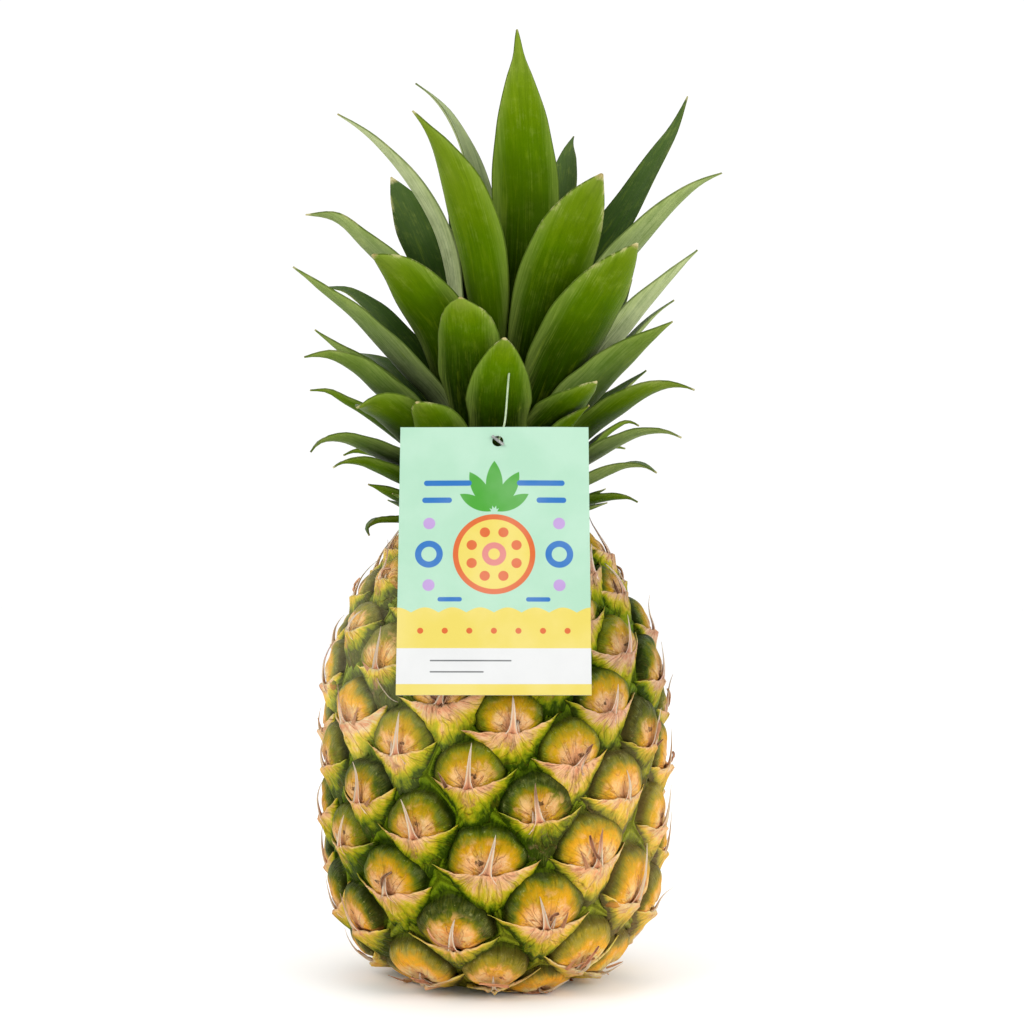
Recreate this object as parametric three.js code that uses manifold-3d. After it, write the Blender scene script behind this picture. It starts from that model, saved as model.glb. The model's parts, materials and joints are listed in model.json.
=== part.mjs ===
// A whole pineapple standing on its cut base, with its crown of leaves and a blank-faced hang tag
// on a short plastic loop. Millimetres, +Z up; the origin is the centre of the flat base, and the
// tag hangs on the -Y side.
import * as THREE from "three";
import Module from "manifold-3d";

const wasm = await Module();
wasm.setup();

// ---- driving dimensions ----------------------------------------------------------------------
const BASE_R = 22; // flat ring that the fruit stands on
const SCAR_R = 14; // cut fruit stalk in the middle of the base
const SCAR_T = 4.6;
const GAP = 0.3; // clearance left between neighbouring pieces
// the valley surface between the eyes: radius and height, from the base to under the crown
const VALLEY = [
  [BASE_R, 0], [30.2, 3.8], [41.8, 10.4], [49.9, 20.2], [55, 34], [57.2, 50], [57.8, 75],
  [57.1, 100], [54, 118], [46.4, 134], [37.4, 148], [31.2, 156], [26.2, 160], [22.5, 161.2],
];
const TOP_Z = 161.4; // middle of the fruit's top, under the crown
const EYE_TURN = 137.473; // degrees from one eye to the next along the genetic spiral
const EYE_START = -9.41; // bearing of eye 0, measured from -Y towards +X
const EYE_SPREAD = 7; // degrees by which the eyes open out towards the front
const EYE_RISE = [-1.03777e-5, -8.34853e-4, 1.39497, 72.14]; // height of a lip, a cubic in its number
const EYE_LIFT = 5.6; // from an eye's lip up to its middle, along the skin
const EYE_RING = 2.7; // height of an eye's shoulder over the valley
const EYE_POINT = 3.7; // height of its lip over the valley
// crown axis: radius and height
const CROWN = [[20.3, 161.9], [20.3, 163], [17.5, 175], [14, 190], [10.5, 205], [6, 226], [3.5, 229]];
const LEAF_T = 2.0; // leaf thickness near the base; it thins to 60% at the tip
const LEAF_STATIONS = 10;
// hang tag: its front face leans back towards the crown
const TAG_W = 63.2, TAG_H = 91, TAG_T = 0.5;
const TAG_TOP = [0.3, -44.8, 191.8]; // middle of the top edge, on the front face
const TAG_LEAN = 13.47; // degrees from upright
const TAG_HOLE_R = 1.9, TAG_HOLE = [1.15, 4.95]; // to the right of the middle, down from the top edge
// plastic loop
const LOOP_D = 0.7;
const LOOP = [[6.4, -31.0, 212.9], [5.3, -35.2, 211.2], [4.9, -38.4, 207.6], [3.7, -43.0, 193.4], [2.6, -43.75, 189.6], [1.5, -45.75, 187.0]];
const BAR_D = 1.1, BAR_FRONT = 4.6, BAR_BACK = 8;

// Leaves: name, bearing of the leaf (degrees from -Y towards +X), roll about its midrib, and
// stations from base to tip as [x, y, z, half width].
const LEAVES = [
  ["leaf_01",10,0,[[1.7,-9.6,214.0,8.2],[5.9,-8.6,226.3,8.8],[10.0,-8.9,243.5,9.9],[11.7,-8.2,263.9,12.0],[11.6,-7.0,284.4,12.3],[10.6,-5.6,304.8,9.9],[9.3,-4.3,322.6,5.1],[8.5,-3.5,333.9,2.0],[8.0,-3.0,340.5,0.3]]],
  ["leaf_02",148,-5,[[6.1,9.7,206.0,6.2],[9.1,6.1,216.5,7.9],[13.5,4.3,231.4,8.4],[18.3,4.8,248.8,7.3],[22.6,8.7,266.7,6.0],[26.0,16.0,284.0,5.8],[27.2,24.5,297.5,4.7],[27.8,30.4,305.4,3.2],[28.3,33.9,310.0,0.2]]],
  ["leaf_03",-138,15,[[-7.8,8.7,205.0,5.9],[-6.1,6.1,218.2,7.9],[-5.1,5.2,236.8,9.4],[-5.2,8.1,258.6,9.3],[-6.1,11.3,280.0,8.1],[-11.1,15.5,299.9,5.9],[-18.6,20.0,315.9,3.1],[-25.6,23.2,324.3,1.2],[-30.5,25.3,328.5,0.2]]],
  ["leaf_04",168,-10,[[2.5,11.9,203.0,8.1],[4.1,10.8,215.3,10.8],[5.5,11.6,232.1,12.8],[5.9,16.3,250.8,12.7],[6.3,21.5,269.2,11.1],[7.6,26.1,287.7,8.1],[9.8,31.3,303.4,4.2],[11.6,35.5,312.9,1.7],[12.7,38.2,318.3,0.3]]],
  ["leaf_05",-158,1,[[-4.8,11.9,200.0,7.8],[-3.5,12.3,212.0,10.4],[-2.9,14.9,228.3,12.3],[-4.4,19.5,246.3,12.2],[-7.9,24.9,263.7,10.7],[-11.8,31.6,280.4,7.8],[-15.0,39.2,294.2,4.1],[-17.3,45.0,302.4,1.6],[-18.6,48.6,306.9,0.3]]],
  ["leaf_06",-34,0,[[-7.3,-10.9,199.0,7.6],[-4.6,-11.4,210.2,7.3],[-2.9,-13.8,225.7,7.2],[-3.8,-18.2,243.2,9.4],[-7.0,-24.0,260.0,10.5],[-12.3,-30.5,276.0,8.4],[-18.7,-36.7,288.8,4.2],[-24.2,-40.7,296.0,1.6],[-27.8,-43.1,299.9,0.3]]],
  ["leaf_07",-84,10,[[-13.3,-1.4,198.0,5.6],[-13.6,-0.8,211.1,7.5],[-14.4,1.0,229.1,8.9],[-16.2,2.0,249.6,8.8],[-21.2,-0.6,268.1,7.7],[-31.3,-3.0,285.1,5.6],[-42.7,-4.6,298.3,2.9],[-51.4,-5.5,305.1,1.2],[-57.0,-6.0,308.6,0.2]]],
  ["leaf_08",112,25,[[12.4,5.0,198.0,6.8],[15.9,5.5,211.3,8.7],[22.6,6.8,229.0,9.5],[32.2,9.5,248.3,9.5],[42.9,15.4,267.3,9.4],[54.0,21.0,286.3,7.2],[63.3,25.2,302.8,4.6],[69.1,27.8,313.3,2.0],[72.4,29.3,319.6,0.2]]],
  ["leaf_09",86,-25,[[13.8,-1.0,196.0,6.8],[17.1,-1.3,207.2,9.2],[23.3,-2.5,222.0,10.8],[32.7,-2.8,237.9,10.7],[43.6,-3.0,252.7,9.4],[55.7,-3.8,266.7,6.9],[67.0,-4.7,278.2,3.6],[75.0,-5.3,284.3,1.4],[80.0,-5.6,287.5,0.2]]],
  ["leaf_10",142,-9,[[8.8,11.2,194.0,7.8],[11.8,12.0,204.4,10.4],[17.5,15.0,217.7,12.3],[21.5,20.4,234.1,12.2],[22.2,27.1,252.3,10.7],[26.2,35.2,268.2,7.8],[31.8,43.8,279.9,4.1],[36.0,49.9,286.5,1.6],[38.5,53.7,290.1,0.3]]],
  ["leaf_11",-128,-25,[[-11.6,9.1,192.0,7.4],[-11.8,8.1,203.0,9.5],[-13.6,8.9,218.1,10.0],[-17.2,12.9,235.4,8.3],[-21.9,18.1,252.2,9.1],[-28.1,22.3,267.8,10.3],[-33.8,26.2,281.0,7.3],[-37.6,29.3,289.3,3.1],[-39.9,31.2,294.1,0.2]]],
  ["leaf_12",34,-25,[[8.2,-12.2,192.0,9.0],[10.6,-13.8,201.6,9.2],[13.8,-16.7,214.7,9.8],[16.8,-21.5,229.4,11.6],[20.5,-27.8,243.3,12.5],[25.6,-35.0,256.4,11.3],[30.8,-42.0,267.0,7.5],[34.4,-46.9,273.3,3.3],[36.6,-49.7,276.8,0.3]]],
  ["leaf_13",178,-8,[[0.5,15.0,191.0,7.8],[1.7,17.3,201.4,10.4],[3.2,22.3,214.9,12.3],[3.8,30.2,230.0,12.2],[3.0,37.2,245.3,10.7],[2.1,44.4,260.1,7.8],[2.0,53.1,271.4,4.1],[2.1,59.8,277.6,1.6],[2.2,64.0,281.0,0.3]]],
  ["leaf_14",-103,35,[[-14.8,3.4,190.0,6.2],[-16.2,4.8,201.5,8.3],[-19.8,7.3,217.0,9.9],[-25.8,8.9,234.0,9.7],[-33.6,8.7,249.0,8.6],[-45.3,10.5,261.8,6.2],[-56.9,13.0,271.4,3.3],[-65.5,15.1,275.1,1.3],[-70.8,16.3,276.5,0.2]]],
  ["leaf_15",124,0,[[12.6,8.5,190.0,5.0],[16.3,10.3,196.8,6.7],[22.3,12.1,205.5,7.9],[29.6,15.4,215.2,7.8],[36.6,21.7,225.3,6.9],[43.3,27.9,235.6,5.0],[48.4,32.0,245.2,2.6],[50.8,34.0,251.8,1.0],[52.0,35.1,255.7,0.2]]],
  ["leaf_16",76,-10,[[15.2,-3.8,188.0,6.8],[19.6,-3.4,196.1,9.2],[26.8,-4.1,206.5,10.8],[35.9,-6.6,217.5,10.7],[45.3,-9.9,228.2,9.4],[54.4,-13.0,239.1,6.9],[62.8,-15.5,248.2,3.6],[68.4,-17.0,253.8,1.4],[71.8,-17.9,257.0,0.2]]],
  ["leaf_17",-142,2,[[-9.8,12.5,187.0,7.1],[-10.6,13.9,197.0,9.6],[-13.5,17.4,210.2,11.3],[-18.4,23.2,224.1,11.2],[-23.7,30.5,236.6,9.9],[-28.7,39.1,248.6,7.2],[-34.0,47.7,257.5,3.7],[-37.9,53.7,262.3,1.5],[-40.3,57.4,264.9,0.2]]],
  ["leaf_18",-52,30,[[-12.7,-9.9,186.0,8.7],[-12.8,-8.9,194.7,11.1],[-13.8,-9.9,206.4,11.7],[-15.6,-12.6,219.4,10.7],[-20.0,-15.8,230.6,11.4],[-27.2,-21.0,240.4,9.9],[-34.0,-26.5,247.7,6.5],[-39.0,-30.5,250.9,2.9],[-42.1,-32.9,252.4,0.3]]],
  ["leaf_19",-108,-25,[[-15.8,5.1,184.0,5.6],[-17.0,6.1,193.2,7.5],[-21.0,8.4,205.2,8.9],[-28.0,11.5,217.7,8.8],[-36.0,13.2,229.2,7.7],[-44.7,14.9,239.8,5.6],[-54.0,17.6,246.7,2.9],[-60.9,19.8,249.1,1.2],[-65.2,21.2,250.0,0.2]]],
  ["leaf_20",46,-15,[[11.9,-11.5,184.0,8.7],[14.0,-14.3,192.5,9.2],[18.1,-18.1,203.8,10.5],[23.8,-22.6,215.8,13.2],[30.2,-28.3,226.7,13.5],[36.8,-35.1,237.1,11.6],[42.5,-42.2,245.4,7.3],[46.2,-47.1,250.4,3.1],[48.3,-50.0,253.2,0.3]]],
  ["leaf_21",95,10,[[16.5,1.4,184.0,4.7],[19.9,2.0,191.1,6.2],[26.1,2.9,200.0,7.4],[34.1,3.6,209.5,7.3],[42.0,3.9,218.9,6.4],[50.0,4.4,228.3,4.7],[57.2,5.0,236.3,2.4],[62.3,5.4,240.6,1.0],[65.6,5.7,242.9,0.2]]],
  ["leaf_22",155,3,[[7.0,15.0,184.0,7.4],[9.2,17.7,192.0,10.0],[11.7,22.9,202.8,11.8],[13.8,29.7,215.3,11.7],[16.0,36.6,228.0,10.3],[19.1,45.3,239.0,7.5],[22.5,54.5,246.6,3.9],[24.9,61.1,250.6,1.6],[26.3,65.0,252.7,0.2]]],
  ["leaf_23",104,15,[[16.6,4.1,182.0,4.7],[19.2,6.4,186.9,6.2],[23.8,8.1,193.1,7.4],[30.3,6.8,198.7,7.3],[37.4,6.5,203.4,6.4],[44.3,9.6,208.4,4.7],[50.1,12.1,213.3,2.4],[53.8,13.3,216.3,1.0],[55.9,13.9,218.1,0.2]]],
  ["leaf_24",-74,5,[[-16.6,-4.8,181.0,6.8],[-17.3,-3.7,190.6,9.2],[-20.2,-3.4,202.7,10.8],[-29.1,-5.8,212.6,10.7],[-39.5,-10.1,223.4,9.4],[-49.9,-13.9,234.3,6.9],[-60.2,-17.1,242.5,3.6],[-66.9,-19.1,247.6,1.4],[-70.9,-20.3,250.6,0.2]]],
  ["leaf_25",-165,-7,[[-4.5,16.7,181.0,7.1],[-4.1,20.0,188.5,9.6],[-5.0,25.4,198.5,11.3],[-7.1,32.1,209.8,11.2],[-9.1,38.6,220.9,9.9],[-11.1,46.9,230.3,7.2],[-13.0,56.0,236.6,3.7],[-14.2,62.5,239.6,1.5],[-15.0,66.4,241.1,0.2]]],
  ["leaf_26",-24,0,[[-7.1,-16.0,180.0,7.2],[-7.4,-17.7,186.1,7.2],[-8.0,-19.0,194.5,7.4],[-9.1,-21.8,203.9,9.6],[-9.9,-25.1,213.2,12.0],[-10.2,-27.6,222.5,12.2],[-10.8,-30.5,230.2,9.7],[-11.3,-33.1,234.9,4.8],[-11.5,-34.7,237.5,0.2]]],
  ["leaf_27",70,-25,[[16.5,-6.0,180.0,6.8],[18.2,-8.7,186.7,9.2],[22.3,-12.1,195.1,10.8],[29.3,-14.4,203.2,10.7],[37.7,-15.4,211.2,9.4],[46.3,-17.2,219.0,6.9],[54.2,-19.7,225.1,3.6],[59.4,-21.6,228.8,1.4],[62.5,-22.7,230.9,0.2]]],
  ["leaf_28",128,4,[[13.8,10.8,180.0,6.8],[18.5,13.5,185.3,9.2],[22.8,18.1,193.6,10.8],[26.8,23.2,204.5,10.7],[31.4,26.1,216.2,9.4],[38.0,30.5,225.5,6.9],[45.1,36.1,231.2,3.6],[50.1,40.2,233.8,1.4],[53.0,42.6,235.1,0.2]]],
  ["leaf_29",-95,15,[[-17.9,1.6,178.0,5.6],[-19.8,0.5,185.2,7.5],[-24.3,0.5,194.5,8.9],[-31.4,1.1,204.0,8.8],[-39.8,2.5,212.2,7.7],[-49.2,4.0,219.4,5.6],[-57.7,5.0,225.4,2.9],[-62.9,5.5,229.5,1.2],[-65.9,5.8,232.1,0.2]]],
  ["leaf_30",-128,-6,[[-14.2,11.1,178.0,6.5],[-16.9,13.8,185.0,8.7],[-20.8,16.4,193.7,10.4],[-27.2,19.9,202.6,10.2],[-33.3,23.8,211.9,9.0],[-40.2,28.4,220.1,6.5],[-47.8,33.1,225.0,3.4],[-53.2,36.4,227.0,1.4],[-56.4,38.3,227.9,0.2]]],
  ["leaf_31",-80,20,[[-18.4,-3.2,175.0,6.2],[-20.1,-3.1,182.3,8.3],[-24.5,-3.9,191.7,9.9],[-31.5,-5.3,200.7,9.7],[-40.4,-6.9,208.4,8.6],[-49.6,-8.7,216.0,6.2],[-58.2,-10.3,220.1,3.3],[-64.2,-11.4,220.2,1.3],[-67.8,-12.0,219.6,0.2]]],
  ["leaf_32",64,-5,[[16.8,-8.2,175.0,6.8],[20.7,-5.4,181.1,9.2],[27.5,-4.5,188.4,10.8],[36.0,-8.1,195.2,10.7],[44.5,-16.6,200.7,9.4],[53.0,-24.4,205.6,6.9],[60.9,-29.5,207.6,3.6],[66.0,-32.2,206.7,1.4],[68.9,-33.6,205.5,0.2]]],
  ["leaf_33",170,5,[[3.2,18.4,175.0,6.2],[3.8,21.3,181.1,8.3],[5.0,26.8,188.9,9.9],[6.3,32.9,198.1,9.7],[7.6,39.8,206.3,8.6],[9.5,48.6,212.2,6.2],[11.5,57.4,215.4,3.3],[12.8,63.2,216.5,1.3],[13.6,66.7,217.0,0.2]]],
  ["leaf_34",38,-5,[[11.7,-14.9,174.0,6.8],[12.5,-16.6,179.4,8.7],[14.3,-19.2,186.3,9.3],[17.7,-22.3,192.7,9.2],[22.2,-25.6,197.1,9.8],[26.8,-31.8,201.0,7.5],[30.8,-38.2,204.1,4.9],[33.3,-42.2,206.1,2.3],[34.8,-44.5,207.3,0.2]]],
  ["leaf_35",-84,10,[[-18.8,-2.0,174.0,4.7],[-22.1,-1.5,179.3,6.2],[-27.6,-2.0,185.7,7.4],[-34.9,-3.3,191.9,7.3],[-42.6,-4.3,197.6,6.4],[-50.7,-5.3,202.9,4.7],[-58.1,-6.1,206.5,2.4],[-63.2,-6.6,207.9,1.0],[-66.2,-7.0,208.4,0.2]]],
  ["leaf_36",100,0,[[18.7,3.3,174.0,4.0],[22.0,4.1,177.2,5.4],[26.6,4.7,181.6,6.4],[32.1,5.2,186.2,6.3],[37.6,6.3,190.9,5.6],[43.0,7.5,195.6,4.1],[47.9,8.4,198.3,2.1],[51.1,9.0,197.9,0.8],[52.8,9.3,197.0,0.1]]],
  ["leaf_37",3,0,[[1.0,-19.4,172.0,7.9],[1.3,-22.0,177.5,10.1],[1.4,-25.9,185.0,10.7],[1.5,-31.0,193.3,10.1],[1.8,-35.5,201.3,11.4],[2.5,-35.3,209.7,10.1],[3.1,-36.4,216.6,6.3],[3.5,-38.5,220.6,2.7],[3.6,-39.9,222.8,0.3]]],
  ["leaf_38",-50,15,[[-14.9,-12.5,172.0,7.8],[-17.1,-15.1,176.8,9.9],[-21.0,-17.6,182.7,10.7],[-26.1,-18.9,189.0,10.7],[-31.4,-21.7,194.4,10.3],[-36.9,-27.8,198.1,10.4],[-41.6,-33.8,199.7,7.3],[-44.7,-37.2,199.5,3.8],[-46.5,-39.0,198.9,0.3]]],
  ["leaf_39",145,-5,[[11.2,15.9,172.0,5.6],[13.0,19.2,176.8,7.5],[15.4,22.7,183.8,8.9],[18.5,27.2,191.4,8.8],[22.3,32.8,197.8,7.7],[26.7,39.7,202.2,5.6],[30.9,46.4,204.2,2.9],[33.6,50.8,204.7,1.2],[35.2,53.5,204.9,0.2]]],
  ["leaf_40",-66,5,[[-18.0,-8.0,171.0,5.9],[-22.5,-10.1,174.6,7.9],[-28.9,-11.4,179.0,9.4],[-36.8,-15.0,182.7,9.3],[-44.5,-19.2,186.3,8.1],[-52.3,-23.1,189.2,5.9],[-58.7,-26.1,189.0,3.1],[-61.9,-27.5,186.6,1.2],[-63.4,-28.2,184.5,0.2]]],
  ["leaf_41",68,0,[[18.3,-7.4,171.0,5.3],[22.3,-6.6,175.2,7.1],[28.6,-8.3,180.0,8.4],[36.1,-12.6,184.3,8.3],[43.6,-16.9,188.5,7.3],[51.2,-20.5,191.7,5.3],[58.3,-23.5,192.2,2.8],[62.6,-25.3,190.9,1.1],[65.0,-26.3,189.7,0.2]]],
  ["leaf_42",-148,6,[[-10.4,16.7,171.0,5.6],[-11.7,18.9,176.3,7.5],[-13.8,22.6,183.1,8.9],[-16.7,28.0,189.9,8.8],[-20.0,34.6,195.4,7.7],[-23.6,42.1,199.1,5.6],[-26.8,49.2,200.7,2.9],[-28.9,53.9,201.0,1.2],[-30.1,56.7,201.1,0.2]]],
  ["leaf_43",-26,5,[[-8.7,-17.9,170.0,7.1],[-10.4,-23.1,173.7,9.1],[-12.9,-26.6,179.1,9.8],[-16.1,-28.5,185.2,9.8],[-19.1,-29.5,191.1,9.6],[-21.8,-32.2,195.4,8.0],[-24.2,-35.0,198.4,5.4],[-25.5,-36.9,200.1,2.5],[-26.3,-38.2,201.0,0.2]]],
  ["leaf_44",46,0,[[14.5,-14.0,169.0,4.5],[15.3,-17.1,172.9,6.0],[17.2,-22.2,177.8,7.2],[19.9,-25.0,183.4,7.1],[22.7,-24.6,189.4,6.2],[25.9,-26.0,194.4,4.5],[29.2,-29.0,197.6,2.4],[31.5,-31.2,199.4,0.9],[32.8,-32.4,200.5,0.1]]],
  ["leaf_45",-97,5,[[-20.0,2.5,169.0,4.0],[-23.0,4.6,172.2,5.4],[-27.6,6.8,176.2,6.4],[-32.9,7.0,180.3,6.3],[-38.4,6.0,184.0,5.6],[-44.5,5.8,186.5,4.1],[-50.1,6.2,187.4,2.1],[-53.5,6.6,186.8,0.8],[-55.4,6.8,186.0,0.1]]],
  ["leaf_46",62,5,[[18.1,-9.6,168.0,4.7],[21.9,-12.1,170.1,6.2],[27.3,-14.5,172.5,7.4],[33.6,-17.6,175.1,7.3],[39.8,-20.9,177.9,6.4],[45.8,-24.3,180.1,4.7],[51.1,-27.2,180.0,2.4],[54.3,-28.9,178.5,1.0],[56.1,-29.8,177.3,0.2]]],
  ["leaf_47",-62,5,[[-18.3,-9.7,167.0,5.0],[-21.6,-11.1,170.0,6.7],[-26.9,-13.7,172.9,7.9],[-33.2,-17.2,175.7,7.8],[-39.3,-20.6,178.5,6.9],[-45.3,-24.0,180.9,5.0],[-50.7,-26.9,181.4,2.6],[-53.8,-28.6,180.3,1.0],[-55.5,-29.5,179.1,0.2]]],
  ["leaf_48",120,-4,[[17.9,10.3,167.0,4.3],[19.9,11.5,170.9,5.8],[23.2,13.4,175.9,6.9],[27.7,15.9,181.1,6.8],[32.4,18.5,185.9,6.0],[37.9,21.4,189.2,4.4],[43.3,24.3,190.3,2.3],[46.9,26.1,190.3,0.9],[48.9,27.2,190.1,0.1]]],
  ["leaf_49",-175,7,[[-1.8,20.6,167.0,4.3],[-2.1,22.9,170.9,5.8],[-2.5,26.4,176.1,6.9],[-3.1,31.2,181.4,6.8],[-4.0,36.9,185.5,6.0],[-5.2,43.4,188.0,4.4],[-6.3,49.4,188.8,2.3],[-7.1,53.3,188.8,0.9],[-7.6,55.6,188.6,0.1]]],
  ["leaf_50",-78,15,[[-20.6,-4.4,165.5,3.7],[-23.2,-5.3,166.3,5.0],[-26.7,-6.1,167.1,5.9],[-30.7,-6.7,168.2,5.8],[-34.6,-7.3,169.8,5.1],[-38.3,-8.1,171.6,3.7],[-41.6,-8.8,173.2,2.0],[-43.7,-9.3,174.1,0.8],[-45.0,-9.6,174.6,0.1]]],
  ["leaf_51",74,-5,[[20.3,-5.8,165.5,4.0],[23.4,-7.2,166.2,5.4],[27.7,-8.3,167.1,6.4],[32.7,-9.4,168.0,6.3],[37.6,-10.7,169.0,5.6],[42.5,-12.2,169.7,4.1],[46.7,-13.4,169.6,2.1],[49.2,-14.1,168.7,0.8],[50.6,-14.5,167.9,0.1]]],
  ["leaf_52",-70,0,[[-20.3,-7.4,163.5,3.7],[-23.4,-8.4,162.9,5.0],[-27.6,-10.0,162.3,5.9],[-32.4,-11.8,161.7,5.8],[-37.3,-13.5,161.6,5.1],[-41.8,-15.1,161.1,3.7],[-44.4,-16.0,159.2,2.0],[-44.3,-16.1,157.2,0.8],[-43.9,-16.0,156.0,0.1]]],
];
const PIERCED = "leaf_37"; // the leaf that the loop passes through

// ---- helpers ---------------------------------------------------------------------------------
const rad = (d) => (d * Math.PI) / 180;
const V = (x, y, z) => new THREE.Vector3(x, y, z);

function solid(points, faces) {
  const made = new wasm.Manifold(
    new wasm.Mesh({
      numProp: 3,
      vertProperties: new Float32Array(points.flatMap((p) => [p.x, p.y, p.z])),
      triVerts: new Uint32Array(faces.flat()),
    }),
  );
  return made.volume() < 0 ? solid(points, faces.map(([a, b, c]) => [a, c, b])) : made;
}

// A three.js geometry, with its seams closed, as a solid.
function solidOf(geometry) {
  const p = geometry.getAttribute("position"), index = geometry.index;
  const points = [], seen = new Map(), to = [];
  for (let i = 0; i < p.count; i++) {
    const key = [p.getX(i), p.getY(i), p.getZ(i)].map((v) => Math.round(v * 1e4)).join();
    if (!seen.has(key)) {
      seen.set(key, points.length);
      points.push(V(p.getX(i), p.getY(i), p.getZ(i)));
    }
    to.push(seen.get(key));
  }
  const n = index ? index.count : p.count, faces = [];
  for (let i = 0; i < n; i += 3) {
    const f = [0, 1, 2].map((k) => to[index ? index.getX(i + k) : i + k]);
    if (f[0] !== f[1] && f[1] !== f[2] && f[2] !== f[0]) faces.push(f);
  }
  return solid(points, faces);
}

function geometryOf(made) {
  const m = made.getMesh(), g = new THREE.BufferGeometry(), xyz = new Float32Array(m.vertProperties.length / m.numProp * 3);
  for (let i = 0; i < xyz.length / 3; i++) for (let k = 0; k < 3; k++) xyz[i * 3 + k] = m.vertProperties[i * m.numProp + k];
  g.setAttribute("position", new THREE.BufferAttribute(xyz, 3));
  g.setIndex(new THREE.BufferAttribute(new Uint32Array(m.triVerts), 1));
  g.computeVertexNormals();
  return g;
}

// Lathe solid about +Z from [radius, height] pairs that start and end on the axis.
function turned(profile, sides) {
  const g = new THREE.LatheGeometry(profile.map(([r, z]) => new THREE.Vector2(Math.max(r, 1e-6), z)), sides);
  g.rotateX(Math.PI / 2);
  return solidOf(g);
}

const largest = (made) => made.decompose().reduce((a, b) => (b.volume() > a.volume() ? b : a));

const group = new THREE.Group();
group.name = "pineapple";
function add(name, made, color, roughness) {
  const mesh = new THREE.Mesh(geometryOf(made), new THREE.MeshStandardMaterial({ color, roughness, metalness: 0 }));
  mesh.name = name;
  group.add(mesh);
}

// ---- fruit -----------------------------------------------------------------------------------
// The valley profile by arc length.
const valley = (() => {
  const curve = new THREE.SplineCurve(VALLEY.map(([r, z]) => new THREE.Vector2(r, z)));
  const pts = curve.getPoints(600), along = [0];
  for (let i = 1; i < pts.length; i++) along.push(along[i - 1] + pts[i].distanceTo(pts[i - 1]));
  const length = along[along.length - 1];
  const at = (a) => {
    a = Math.min(Math.max(a, 0), length);
    let lo = 0, hi = along.length - 1;
    while (hi - lo > 1) {
      const mid = (lo + hi) >> 1;
      if (along[mid] <= a) lo = mid; else hi = mid;
    }
    const f = (a - along[lo]) / Math.max(along[hi] - along[lo], 1e-9);
    const p = pts[lo].clone().lerp(pts[hi], f), t = pts[hi].clone().sub(pts[lo]).normalize();
    return { r: p.x, z: p.y, nr: t.y, nz: -t.x };
  };
  const arcOf = (z) => {
    let i = 1;
    while (i < pts.length - 1 && pts[i].y < z) i++;
    return along[i - 1] + ((z - pts[i - 1].y) / (pts[i].y - pts[i - 1].y)) * (along[i] - along[i - 1]);
  };
  return { length, at, arcOf };
})();

const LAST_LOW = -46, LAST_HIGH = 58; // the cubic holds between these; the skin curls in beyond them
function eyeMiddle(i) {
  const k = Math.min(Math.max(i, LAST_LOW), LAST_HIGH);
  const z = ((EYE_RISE[0] * k + EYE_RISE[1]) * k + EYE_RISE[2]) * k + EYE_RISE[3];
  const a = valley.arcOf(z) + (i < LAST_LOW ? (i - LAST_LOW) * 1.9 : 0) + (i > LAST_HIGH ? (i - LAST_HIGH) * 1.55 : 0);
  const plain = EYE_START - EYE_TURN * i;
  return { t: plain, a: a + EYE_LIFT };
}
// Bearings are kept continuous around an eye by working from the plain spiral and opening it out last.
const opened = (t) => t + EYE_SPREAD * Math.sin(rad(t));
function skin(t, a, lift) {
  const p = valley.at(a), b = rad(opened(t));
  const r = p.r + p.nr * lift;
  const z = a <= 0 ? 0 : Math.max(p.z + p.nz * lift, 0.12 * Math.max(r - BASE_R, 0) + (lift > 0 ? 0.05 : 0));
  return V(r * Math.sin(b), -r * Math.cos(b), z);
}

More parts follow.
